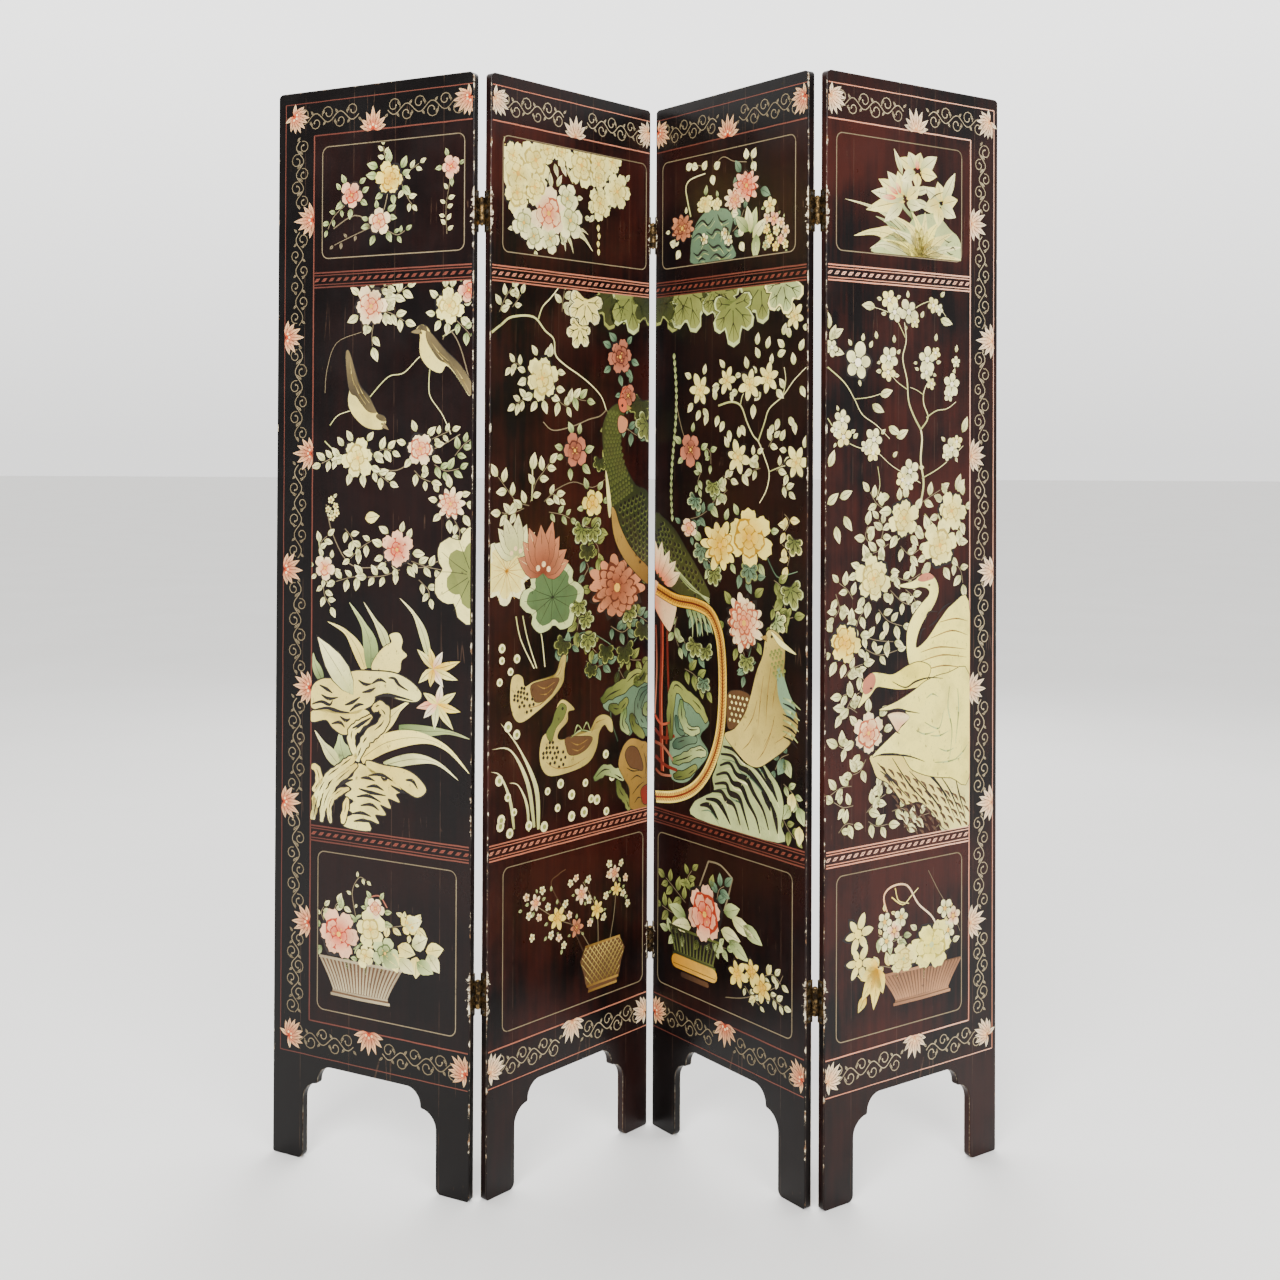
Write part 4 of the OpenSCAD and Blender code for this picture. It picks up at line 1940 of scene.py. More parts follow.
@dataclass(frozen=True)
class PigmentFinish:
    """Old tempera pigment in its cuts: matt, rubbed thin in places and a little dirty.

    Attributes:
        title: The material's name.
        grime: Colour of the dirt.
        bare: Colour under the pigment, where it is rubbed away.
        roughness: Roughness where the pigment is sound.
        saturation: Factor on the pigments' saturation.
        brightness: Factor on their brightness.
    """

    title: str = "inlaid_pigment"
    grime: Colour = linear(58, 40, 26)
    bare: Colour = linear(30, 18, 15)
    roughness: float = 0.52
    saturation: float = 1.08
    brightness: float = 0.94

    ATTRIBUTE = "pigment"
    DIRT_SHARE = 0.42
    DIRT_COVER = 0.55
    SPECK_SHARE = 0.28
    RUBBED_SHARE = 0.7
    GLOSS = 0.32
    BUMP = (0.3, 0.0002)

    def material(self) -> bpy.types.Material:
        """Makes the material once and hands out the same one after that.

        Returns:
            The material.
        """
        if self.title in bpy.data.materials:
            return bpy.data.materials[self.title]
        recipe = Recipe(self.title)
        place = recipe.node("ShaderNodeTexCoord").outputs["Object"]
        tint = recipe.node("ShaderNodeAttribute", {"attribute_name": self.ATTRIBUTE}).outputs["Color"]
        cloud = recipe.noise(place, scale=26.0, detail=4.0)
        grain = recipe.noise(place, scale=420.0, detail=3.0, rough=0.7)
        rubbed = recipe.noise(recipe.stretch(place, (1.0, 1.0, 0.55)), scale=150.0, detail=6.0, rough=0.68)
        dirty = recipe.sum("MULTIPLY", recipe.ease(cloud, 0.44, 0.72), self.DIRT_SHARE)
        tint = recipe.node("ShaderNodeHueSaturation", None, Saturation=self.saturation,
                           Value=self.brightness, Color=tint).outputs[0]
        colour = recipe.mix(dirty, tint, recipe.mix(self.DIRT_COVER, tint, self.grime))
        speck = recipe.sum("MULTIPLY", recipe.ease(grain, 0.52, 0.78), self.SPECK_SHARE)
        colour = recipe.mix(speck, colour, self.grime)
        gone = recipe.sum("MULTIPLY", recipe.ease(rubbed, 0.6, 0.7), self.RUBBED_SHARE)
        recipe.feed(recipe.shader.inputs["Base Color"], recipe.mix(gone, colour, self.bare))
        recipe.feed(recipe.shader.inputs["Roughness"],
                    recipe.ease(rubbed, 0.3, 0.7, self.roughness + 0.1, self.roughness - 0.12))
        recipe.shader.inputs["Specular IOR Level"].default_value = self.GLOSS
        recipe.bump(recipe.sum("ADD", grain, recipe.sum("MULTIPLY", rubbed, -0.8)), *self.BUMP)
        return recipe.material


@dataclass(frozen=True)
class LacquerFinish:
    """Old black lacquer with a maroon cast, partly its own and partly painted sunlight, worn to the pale
    ground along its arrises.

    Attributes:
        title: Start of the materials' names.
        deep: Colour where the lacquer is thick.
        warm: Maroon colour, the lacquer's own cast, laid on more thickly where it stands for painted
            sunlight.
        border: Colour of the border strips and the legs.
        gesso: Colour of the ground under the lacquer, where it is chipped.
        wood: Colour of worn wood.
        roughness: Roughness of sound lacquer.
        warmth_and_sunlight: How far the lacquer shows maroon, from 0 to 1: partly its own browning, partly
            painted sunlight.
        seams: Places of the planks' joints across the width, in metres.
    """

    title: str
    deep: Colour = linear(10, 6, 6)
    warm: Colour = linear(52, 19, 13)
    border: Colour = linear(10, 8, 8)
    gesso: Colour = linear(205, 194, 166)
    wood: Colour = linear(112, 82, 56)
    roughness: float = 0.27
    warmth_and_sunlight: float = 1.0
    seams: tuple[float, ...] = ()

    HINGE_REACH = 0.044
    HINGE_SIDE = (0.02, 0.016)
    BITE_START = 0.43
    BITE_DEPTH = 0.036
    WORN_START = 0.53
    WORN_DEPTH = 0.03
    CHIP_EDGE = 0.0006
    BORDER_SHARE = 0.4
    CRACK_COLOUR = linear(84, 62, 46)
    CRACK_SHARE = 0.5
    GLOSS = 0.16
    BUMP = (0.22, 0.0007)

    def material(self, face: PanelFace, field: Window, hinges: Sequence[Point],
                 edgewise: bool) -> bpy.types.Material:
        """Makes the lacquer of one panel.

        Args:
            face: The panel.
            field: What lies inside the panel's borders, in millimetres.
            hinges: Side (0 left, 1 right) and height of each hinge, in metres.
            edgewise: Whether it is for the wood, whose edges show, rather than for the two faces.

        Returns:
            The material.
        """
        recipe = Recipe(f"{self.title}_{face.number}" + ("_edges" if edgewise else ""))
        place = recipe.local(face)
        split = recipe.node("ShaderNodeSeparateXYZ", None, Vector=place)
        across, depth, up = split.outputs
        width, height = face.width / METRE, face.height / METRE
        colour = self.ageing_and_sunlit_cast(recipe, place)
        # Painted sunlight in part: the border strips take more maroon where the panel's maroon factor is
        # high.
        strips = recipe.mix(self.BORDER_SHARE * self.warmth_and_sunlight, self.border, colour)
        colour = recipe.mix(self.outside(recipe, across, up, field), colour, strips)
        crack = self.cracks(recipe, place, across)
        colour = recipe.mix(recipe.sum("MULTIPLY", crack, self.CRACK_SHARE), colour, self.CRACK_COLOUR)
        right_gap = recipe.sum("SUBTRACT", width, across)
        side_gap = recipe.sum("MINIMUM", across, right_gap)
        gap = recipe.sum("MINIMUM", side_gap, recipe.sum("SUBTRACT", height, up))
        gap = recipe.sum("MINIMUM", gap, recipe.sum("ADD", up, 0.0015))
        ragged = recipe.noise(recipe.stretch(place, (1.0, 1.0, 0.5)), scale=95.0, detail=8.0, rough=0.7)
        worn = recipe.sum("MULTIPLY", recipe.sum("SUBTRACT", ragged, self.WORN_START), self.WORN_DEPTH)
        chips = recipe.noise(place, scale=130.0, detail=6.0, rough=0.65)
        for side, level in hinges:
            near = recipe.ease(recipe.sum("ABSOLUTE", recipe.sum("SUBTRACT", up, level)),
                               self.HINGE_REACH, self.HINGE_REACH * 0.6)
            this_side = recipe.ease(right_gap if side else across, *self.HINGE_SIDE)
            bite = recipe.sum("MULTIPLY", recipe.sum("MULTIPLY", near, this_side),
                              recipe.sum("MULTIPLY", recipe.sum("SUBTRACT", chips, self.BITE_START),
                                         self.BITE_DEPTH))
            worn = recipe.sum("MAXIMUM", worn, bite)
        chipped = recipe.ease(recipe.sum("SUBTRACT", worn, gap), 0.0, self.CHIP_EDGE)
        if edgewise:
            middle = recipe.sum("ABSOLUTE", recipe.sum("SUBTRACT", depth, face.thickness / METRE / 2))
            rubbed = recipe.ease(recipe.sum("SUBTRACT", recipe.sum("ADD", middle, recipe.sum(
                "MULTIPLY", ragged, 0.004)), 0.0075), -0.0006, 0.0008)
            chipped = recipe.sum("MULTIPLY", rubbed, 0.8)
        bare = recipe.mix(recipe.ease(chips, 0.42, 0.6), self.wood, self.gesso)
        recipe.feed(recipe.shader.inputs["Base Color"], recipe.mix(chipped, colour, bare))
        haze = recipe.noise(place, scale=9.0, detail=6.0, rough=0.6)
        dull = recipe.ease(haze, 0.35, 0.7, self.roughness, self.roughness + 0.16)
        recipe.feed(recipe.shader.inputs["Roughness"],
                    recipe.sum("ADD", dull, recipe.sum("MULTIPLY", chipped, 0.45)))
        recipe.shader.inputs["Specular IOR Level"].default_value = self.GLOSS
        skin = recipe.noise(place, scale=240.0, detail=3.0, rough=0.5)
        wavy = recipe.noise(recipe.stretch(place, (1.0, 1.0, 0.25)), scale=22.0, detail=3.0)
        relief = recipe.sum("ADD", recipe.sum("MULTIPLY", skin, 0.1), wavy)
        relief = recipe.sum("SUBTRACT", relief, recipe.sum("MULTIPLY", crack, 0.6))
        relief = recipe.sum("SUBTRACT", relief, chipped)
        recipe.bump(relief, *self.BUMP)
        return recipe.material

    def ageing_and_sunlit_cast(self, recipe: Recipe, place: Any) -> Any:
        """Gives the lacquer's colour, with maroon clouds and upright streaks; how much maroon shows is
        partly painted sunlight.

        Args:
            recipe: The material's recipe.
            place: Place in the panel's frame.

        Returns:
            The colour's socket.
        """
        cloud = recipe.noise(place, scale=5.0, detail=5.0)
        streak = recipe.noise(recipe.stretch(place, (1.0, 1.0, 0.06)), scale=85.0, detail=4.0, rough=0.6)
        share = recipe.sum("ADD", recipe.ease(cloud, 0.3, 0.7), recipe.ease(streak, 0.3, 0.75, -0.25, 0.25))
        # The maroon share is scaled by the panel's factor: partly the old lacquer's own cast, partly painted
        # sunlight.
        return recipe.mix(recipe.sum("MULTIPLY", share, self.warmth_and_sunlight), self.deep, self.warm)

    def outside(self, recipe: Recipe, across: Any, up: Any, field: Window) -> Any:
        """Gives 1 on the border strips and the legs, and 0 on the field.

        Args:
            recipe: The material's recipe.
            across: Place across the width.
            up: Height.
            field: What lies inside the borders.

        Returns:
            The mask.
        """
        soft = 0.0006
        gaps = (recipe.sum("SUBTRACT", field.left / METRE, across),
                recipe.sum("SUBTRACT", across, field.right / METRE),
                recipe.sum("SUBTRACT", field.low / METRE, up),
                recipe.sum("SUBTRACT", up, field.high / METRE))
        reach = gaps[0]
        for gap in gaps[1:]:
            reach = recipe.sum("MAXIMUM", reach, gap)
        return recipe.ease(reach, -soft, soft)

    def cracks(self, recipe: Recipe, place: Any, across: Any) -> Any:
        """Gives fine cracks: the planks' joints showing through, and upright hair cracks.

        Args:
            recipe: The material's recipe.
            place: Place in the panel's frame.
            across: Place across the width.

        Returns:
            The mask, 1 in a crack.
        """
        broken = recipe.noise(recipe.stretch(place, (0.2, 0.2, 1.0)), scale=14.0, detail=5.0, rough=0.6)
        hair = recipe.node("ShaderNodeTexVoronoi", {"feature": "DISTANCE_TO_EDGE"},
                           Vector=recipe.stretch(place, (26.0, 26.0, 1.6)), Scale=1.0).outputs["Distance"]
        found = recipe.sum("MULTIPLY", recipe.ease(hair, 0.012, 0.004), recipe.ease(broken, 0.56, 0.64))
        shaky = recipe.noise(recipe.stretch(place, (0.3, 0.3, 1.0)), scale=9.0, detail=4.0)
        shift = recipe.sum("MULTIPLY", recipe.sum("SUBTRACT", shaky, 0.5), 0.0016)
        moved = recipe.sum("ADD", across, shift)
        for seam in self.seams:
            gap = recipe.sum("ABSOLUTE", recipe.sum("SUBTRACT", moved, seam))
            line = recipe.sum("MULTIPLY", recipe.ease(gap, 0.0006, 0.0002), recipe.ease(broken, 0.42, 0.56))
            found = recipe.sum("MAXIMUM", found, line)
        return found


@dataclass(frozen=True)
class MetalFinish:
    """Old metal with patina in its hollows and brighter rubbed places.

    Attributes:
        title: The material's name.
        patina: Colour where it has darkened.
        bright: Colour where it is rubbed.
        roughness: Roughness of the rubbed metal.
        cover: Share of noise that stays dark, from 0 to 1.
    """

    title: str
    patina: Colour
    bright: Colour
    roughness: float = 0.36
    cover: float = 0.5

    def material(self) -> bpy.types.Material:
        """Makes the material once and hands out the same one after that.

        Returns:
            The material.
        """
        if self.title in bpy.data.materials:
            return bpy.data.materials[self.title]
        recipe = Recipe(self.title)
        place = recipe.node("ShaderNodeTexCoord").outputs["Object"]
        cloud = recipe.noise(place, scale=140.0, detail=6.0, rough=0.65)
        spots = recipe.noise(place, scale=520.0, detail=4.0, rough=0.7)
        scratch = recipe.noise(recipe.stretch(place, (1.0, 1.0, 0.05)), scale=900.0, detail=3.0)
        share = recipe.ease(recipe.sum("ADD", cloud, recipe.sum("MULTIPLY", spots, 0.3)),
                            self.cover + 0.02, self.cover + 0.3)
        recipe.feed(recipe.shader.inputs["Base Color"], recipe.mix(share, self.patina, self.bright))
        recipe.shader.inputs["Metallic"].default_value = 1.0
        recipe.feed(recipe.shader.inputs["Roughness"],
                    recipe.ease(share, 0.0, 1.0, self.roughness + 0.28, self.roughness))
        recipe.bump(recipe.sum("ADD", spots, recipe.sum("MULTIPLY", scratch, 0.5)), 0.25, 0.0003)
        return recipe.material


PIGMENT = PigmentFinish()
LEAF_METAL = MetalFinish("aged_brass_leaf", linear(34, 27, 20), linear(118, 94, 58), 0.36, 0.54)
PIN_METAL = MetalFinish("aged_brass_pin", linear(44, 34, 24), linear(142, 116, 74), 0.3, 0.48)
SCREW_METAL = MetalFinish("darkened_screw", linear(42, 38, 34), linear(132, 126, 116), 0.38, 0.52)


@dataclass(frozen=True)
class PanelWork:
    """Everything that dresses one panel: its lacquer, its borders and its pictures.

    Attributes:
        face: The panel's face, on which every place below is in millimetres.
        field_left: Left edge of the field, right of the side border where there is one.
        field_right: Right edge of the field.
        upper: Left and right of the upper cartouche.
        lower: Left and right of the lower cartouche.
        outer: Left and right ends of the outermost lines.
        scroll_ends: Where the scrolls of the top and bottom borders end.
        corners: Feet of the flowers in the left and the right corners.
        warmth_and_sunlight: How much of the lacquer shows maroon, partly browned with age and partly painted
            sunlight.
        flower_paint: Pigment of the border's flowers.
        line_paint: Pigment of the border's lines and bands; on the second and fourth panels a lighter copy
            of the brick red that stands for painted sunlight.
        scroll_paint: Pigment of the border's scrolls.
        frame_top: Height of the line over the field and the upper cartouche.
        frame_low: Height of the line under the lower cartouche.
        outer_top: Height of the outermost line at the top.
        outer_low: Height of the outermost line at the bottom.
        upper_rows: Bottom and top of the upper cartouche.
        lower_rows: Bottom and top of the lower cartouche.
        bands: Middles of the upper and the lower key band.
        field_rows: Bottom and top of the field.
        feet: Height down to which the panel is drawn on.
    """

    face: PanelFace
    field_left: float = 0.0
    field_right: float = DRAWN_WIDTH
    upper: Point = (21.0, 374.0)
    lower: Point = (15.0, 372.0)
    outer: Point = (0.0, DRAWN_WIDTH)
    scroll_ends: Point = (18.0, 386.0)
    corners: Point = (8.0, 396.0)
    # Full maroon factor; partly painted sunlight.
    warmth_and_sunlight: float = 1.0
    flower_paint: Paint = Paint.FLAME
    line_paint: Paint = Paint.BRICK
    scroll_paint: Paint = Paint.VINE
    frame_top: float = 1752.0
    frame_low: float = 239.0
    outer_top: float = 1810.0
    outer_low: float = 179.0
    upper_rows: Point = (1540.0, 1731.0)
    lower_rows: Point = (262.0, 530.0)
    bands: Point = (1503.5, 559.0)
    field_rows: Point = (572.0, 1490.0)
    feet: float = 120.0

    EDGE = 3.0
    INSET = 2.0
    FRAME_LINE = 2.2
    SIDE_LINE = 2.4
    OUTER_LINE = 1.5
    SCROLL_MIDDLES = (172.0, 232.0)
    PALMETTES = (202.0, 204.0)
    CORNER_FLOWERS = ((0, 1789.0, -35), (0, 205.0, 35), (1, 1789.0, 215), (1, 205.0, 145))
    SIDE_PALMETTES = 7
    PALMETTE_STEP = 200.5
    PALMETTE_LOW = 405.0
    SIDE_GAP = 20
    SIDE_SWING = 19.0

    @property
    def whole(self) -> Window:
        """The whole panel inside its bevelled edges."""
        return Window(self.EDGE, DRAWN_WIDTH - self.EDGE, self.feet, DRAWN_HEIGHT - self.EDGE)

    @property
    def field(self) -> Window:
        """The field between the cartouches."""
        return Window(max(self.field_left, self.EDGE), min(self.field_right, DRAWN_WIDTH - self.EDGE),
                      *self.field_rows)

    def cartouche(self, sides: Point, rows: Point) -> Window:
        """The inside of a cartouche with these sides and rows."""
        return Window(sides[0] + self.INSET, sides[1] - self.INSET, rows[0] + self.INSET,
                      rows[1] - self.INSET)

    def inlay(self, title: str, window: Window | None = None) -> Inlay:
        """Starts a piece on this panel, in a window of it or over the whole."""
        return Inlay(self.face, title, window or self.whole)

    def pictures(self) -> list[Inlay]:
        """Draws the two cartouches and the field, in the order in which they overlap.

        Returns:
            The pieces, drawn.
        """
        upper = self.cartouche(self.upper, self.upper_rows)
        lower = self.cartouche(self.lower, self.lower_rows)
        plan = (("upper_picture", upper, self.upper_picture), ("twigs", self.field, self.twigs),
                ("water_plants", self.field, self.water_plants), ("blossoms", self.field, self.blossoms),
                ("bank", self.field, self.bank), ("creatures", self.field, self.creatures),
                ("lower_picture", lower, self.lower_picture))
        return [self.inlay(title, window).draw(picture()) for title, window, picture in plan]

    def water_plants(self) -> list[Motif]:
        """Water plants, on the panel that has them."""
        return []

    def seams(self) -> tuple[float, ...]:
        """Finds where the planks begin and end.

        Returns:
            The places in metres along the panel, from its left edge.
        """
        ends = set()
        for plank in ("left_plank", "right_plank"):
            spots = [v.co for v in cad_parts[f"panel_{self.face.number}_{plank}"].data.vertices]
            places = [(spot - self.face.origin).dot(self.face.along) for spot in spots]
            ends |= {round(min(places), 4), round(max(places), 4)}
        return tuple(sorted(ends))

    def hinge_marks(self) -> list[tuple[int, float]]:
        """Finds the hinges on this panel, near which the lacquer is worn.

        Returns:
            For each hinge its side (0 left, 1 right) and its height in metres.
        """
        marks = set()
        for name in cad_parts:
            if name.endswith("_leaf") and str(self.face.number) in name.split("_")[1]:
                low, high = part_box(name)
                middle = (Vector(low) + Vector(high)) / 2
                side = (middle - self.face.origin).dot(self.face.along) / self.face.width * METRE
                marks.add((round(side), round(middle.z, 3)))
        return sorted(marks)

    def dress_lacquer(self) -> None:
        """Gives the panel's CAD nodes their lacquer."""
        number = self.face.number
        # The maroon factor handed on is partly painted sunlight.
        finish = LacquerFinish("old_lacquer", warmth_and_sunlight=self.warmth_and_sunlight, seams=self.seams())
        inside = Window(self.field_left, self.field_right, self.frame_low, self.frame_top)
        marks = self.hinge_marks()
        faces = finish.material(self.face, inside, marks, False)
        edges = finish.material(self.face, inside, marks, True)
        for name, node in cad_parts.items():
            if not name.startswith(f"panel_{number}_"):
                continue
            if name.endswith("_screws"):
                chosen = SCREW_METAL.material()
            else:
                chosen = faces if name.endswith("_ground") else edges
            for slot in node.material_slots:
                slot.material = chosen
        log.info("panel %d: lacquer with %d hinge marks", number, len(marks))

    def border(self) -> list[Inlay]:
        """Draws the lines, bands, scrolls and palmettes of the borders.

        Returns:
            The pieces, drawn.
        """
        left, right = self.field_left, self.field_right
        paint = self.line_paint
        lines = self.inlay("border_lines")
        lines.draw([Line((left, z), (right, z), self.FRAME_LINE, paint)
                    for z in (self.frame_top, self.frame_low)])
        lines.draw([Line((self.outer[0], z), (self.outer[1], z), self.OUTER_LINE, paint)
                    for z in (self.outer_top, self.outer_low)])
        lines.draw([RoundedFrame(*self.upper, *self.upper_rows),
                    RoundedFrame(*self.lower, *self.lower_rows)])
        bands = self.inlay("coral_bands").draw([KeyBand(left, right, z, paint) for z in self.bands])
        scrolls = self.inlay("border_scrolls")
        for z in ((self.frame_top + self.outer_top) / 2 + 1, (self.frame_low + self.outer_low) / 2):
            scrolls.draw([Scroll((end, z), (middle, z), paint=self.scroll_paint)
                          for end, middle in zip(self.scroll_ends, self.SCROLL_MIDDLES)])
        top, low = self.PALMETTES
        flowers = self.inlay("border_flowers")
        flowers.draw([Palmette(top, self.frame_top + 2, 90, paint=self.flower_paint),
                      Palmette(low, self.frame_low - 2, -90, paint=self.flower_paint)])
        flowers.draw([BorderFlower(self.corners[side], z, turn, paint=self.flower_paint)
                      for side, z, turn in self.CORNER_FLOWERS])
        if left > 0 or right < DRAWN_WIDTH:
            self.side_border(lines, scrolls, flowers)
        return [lines, bands, scrolls, flowers]

    def side_border(self, lines: Inlay, scrolls: Inlay, flowers: Inlay) -> None:
        """Draws the upright border on the run's outer side.

        Args:
            lines: The piece for lines.
            scrolls: The piece for scrolls.
            flowers: The piece for palmettes.
        """
        on_left = self.field_left > 0
        inner = self.field_left if on_left else self.field_right
        outer = self.outer[0] if on_left else self.outer[1]
        away = 1 if on_left else -1
        paint = self.line_paint
        lines.draw([Line((inner, self.frame_low), (inner, self.frame_top), self.SIDE_LINE, paint),
                    Line((outer, self.outer_low), (outer, self.outer_top), self.OUTER_LINE, paint)])
        middle = (inner + outer) / 2
        heights = [self.PALMETTE_LOW + self.PALMETTE_STEP * k for k in range(self.SIDE_PALMETTES)]
        stops = [self.frame_low - 12, *heights, self.frame_top + 14]
        for k, (low, high) in enumerate(zip(stops, stops[1:])):
            scrolls.draw([Scroll((middle, low + self.SIDE_GAP), (middle, high - self.SIDE_GAP),
                                 swing=self.SIDE_SWING * (-1) ** k, paint=self.scroll_paint)])
        for k, z in enumerate(heights):
            inward = k % 2 == 0
            foot = inner - away * 3 if inward else outer + away * 3
            turn = 180 if inward == on_left else 0
            flowers.draw([Palmette(foot, z, turn, paint=self.flower_paint)])


PEONY, ROSE, ASTER, PRUNUS = FlowerKind.PEONY, FlowerKind.ROSE, FlowerKind.ASTER, FlowerKind.PRUNUS
LILY, STAR, POMPON = FlowerKind.LILY, FlowerKind.STAR, FlowerKind.POMPON
ROSY, INK, CREAM, IVORY, YELLOW = Paint.ROSE, Paint.INK, Paint.CREAM, Paint.IVORY, Paint.YELLOW
PINK, BLUSH, CORAL, SAND, SAGE = Paint.PINK, Paint.BLUSH, Paint.CORAL, Paint.SAND, Paint.SAGE
MOSS, STRAW, TEAL, CELADON, OCHRE = Paint.MOSS, Paint.STRAW, Paint.TEAL, Paint.CELADON, Paint.OCHRE
GOLD, BUFF, BROWN, MAROON, HALF_SUNLIT_DUSTY = Paint.GOLD, Paint.BUFF, Paint.BROWN, Paint.MAROON, Paint.HALF_SUNLIT_DUSTY
SUNLIT_SHELL, VINE, THREAD, APRICOT = Paint.SUNLIT_SHELL, Paint.VINE, Paint.THREAD, Paint.APRICOT
FEATHER, OLIVE, TAN, JADE = Paint.FEATHER, Paint.OLIVE, Paint.TAN, Paint.JADE


@dataclass(frozen=True)
class FirstPanel(PanelWork):
    """The first panel: song birds on twigs over lilies, strap leaves and a garden stone."""

    field_left: float = 78.0
    upper: Point = (96.0, 386.0)
    lower: Point = (95.0, 377.0)
    outer: Point = (16.0, DRAWN_WIDTH)
    scroll_ends: Point = (42.0, 386.0)
    corners: Point = (34.0, 396.0)
    # Little painted sunlight: the lacquer stays near black.
    warmth_and_sunlight: float = 0.2

    def upper_picture(self) -> list[Motif]:
        """The spray of roses in the upper cartouche.

        Returns:
            The motifs, in the order in which they are drawn.
        """
        return [
            Branch(((120, 1590), (165, 1610), (215, 1597), (237, 1660)), 2.2, 0.6, VINE),
            Spray(((150, 1632), (122, 1612), (108, 1590)), 6, 15, CELADON),
            Spray(((205, 1590), (150, 1572), (122, 1562)), 5, 11, VINE),
            Spray(((232, 1690), (226, 1708), (224, 1722)), 5, 13),
            Spray(((262, 1655), (275, 1630), (282, 1622)), 4, 17),
            Spray(((262, 1672), (282, 1680), (296, 1688)), 4, 15),
            Spray(((230, 1582), (252, 1572), (268, 1578)), 5, 13, CELADON),
            Flower(158, 1645, 24, ROSE, PINK, 7, CELADON),
            Flower(215, 1597, 23, ROSE, BLUSH, 7, CELADON),
            Flower(237, 1667, 29, PEONY, YELLOW, 8, CELADON),
            Branch(((352, 1568), (350, 1610), (357, 1652), (360, 1675)), 1.8, 0.6, VINE),
            Spray(((352, 1572), (350, 1610), (357, 1650)), 9, 13),
            Flower(360, 1678, 18, ROSE, PINK, 4, CELADON),
        ]

    def twigs(self) -> list[Motif]:
        """The twigs, from the top of the field down.

        Returns:
            The motifs, in the order in which they are drawn.
        """
        return [
            Branch(((404, 1305), (380, 1380), (358, 1410), (345, 1395)), 2.4, 0.5, VINE),
            Branch(((115, 1255), (132, 1272), (160, 1280)), 1.8, 0.6),
            Branch(((196, 1300), (235, 1335), (268, 1342), (300, 1368), (322, 1372)), 2.0, 0.6),
            Branch(((320, 1350), (318, 1320), (322, 1300), (345, 1272), (362, 1240)), 2.0, 0.6),
            Branch(((345, 1400), (362, 1408), (378, 1416)), 2.4, 0.4),
            Branch(((104, 1310), (108, 1350), (128, 1395), (180, 1412)), 1.4, 0.5, VINE),
            Branch(((104, 1228), (130, 1208), (150, 1202)), 2.2, 0.6),
            Branch(((205, 1185), (255, 1180), (300, 1205), (345, 1222), (380, 1240)), 2.0, 0.6, VINE),
            Branch(((108, 1120), (122, 1070), (160, 1020), (220, 1020), (250, 1045)), 2.0, 0.6, VINE),
            Branch(((250, 1040), (300, 1020), (345, 1035)), 1.8, 0.5, VINE),
            Branch(((92, 1060), (100, 1020), (112, 985)), 2.2, 0.5),
        ]

    def blossoms(self) -> list[Motif]:
        """The flowers and leaf sprays of the field.

        Returns:
            The motifs, in the order in which they are drawn.
        """
        return [
            Spray(((222, 1448), (245, 1440), (268, 1428)), 6, 22),
            Spray(((222, 1462), (250, 1472), (272, 1485)), 6, 22),
            Spray(((215, 1478), (228, 1487), (240, 1489)), 4, 20),
            Spray(((205, 1425), (202, 1405), (203, 1388)), 3, 24),
            Flower(200, 1455, 34, PEONY, BLUSH, 6),
            Flower(396, 1474, 22, ROSE, PINK, 4, CELADON),
            Flower(358, 1450, 30, PEONY, CREAM, 9),
            Spray(((372, 1425), (392, 1408), (402, 1395)), 5, 20, CELADON),
            Spray(((140, 1200), (118, 1198), (98, 1190)), 6, 21),
            Spray(((205, 1180), (222, 1170), (238, 1160)), 5, 22),
            Spray(((205, 1205), (228, 1215), (243, 1212)), 5, 22),
            Flower(174, 1200, 33, PEONY, CREAM, 8),
            Spray(((325, 1232), (345, 1240), (362, 1246)), 5, 18),
            Flower(302, 1216, 28, PEONY, BLUSH, 7),
            Spray(((330, 1190), (352, 1180), (378, 1184)), 6, 21, CELADON),
            Spray(((370, 1205), (386, 1222), (402, 1232)), 6, 20, CELADON),
            Spray(((290, 1180), (304, 1168), (322, 1162)), 4, 19),
            *[Flower(x, z, 6.5, PRUNUS, CREAM, 1, IVORY, OCHRE, leaf=9)
              for x, z in ((118, 1128), (128, 1118), (112, 1112), (130, 1106), (121, 1098))],
            Flower(362, 1126, 28, ASTER, BLUSH, 8, IVORY),
            Spray(((370, 1100), (380, 1082), (378, 1066)), 4, 20),
            Leaf(190, 1098, 10, 30, 20, CREAM),
            Spray(((148, 1080), (160, 1068), (172, 1050)), 4, 19),
            Spray(((205, 1062), (180, 1048), (160, 1030)), 6, 20),
            Flower(256, 1048, 31, PEONY, PINK, 9),
            Spray(((285, 1030), (315, 1022), (345, 1018)), 6, 20),
            Spray(((262, 1015), (230, 1004), (196, 1000)), 7, 21),
            Spray(((300, 1000), (318, 985), (322, 972)), 4, 20),
            Spray(((190, 1002), (160, 998), (130, 990)), 6, 21),
            Flower(106, 1012, 22, ROSE, BLUSH, 6),
            Spray(((102, 985), (106, 965), (118, 948)), 5, 19),
            Spray(((92, 1040), (98, 1056), (110, 1066)), 4, 18),
        ]

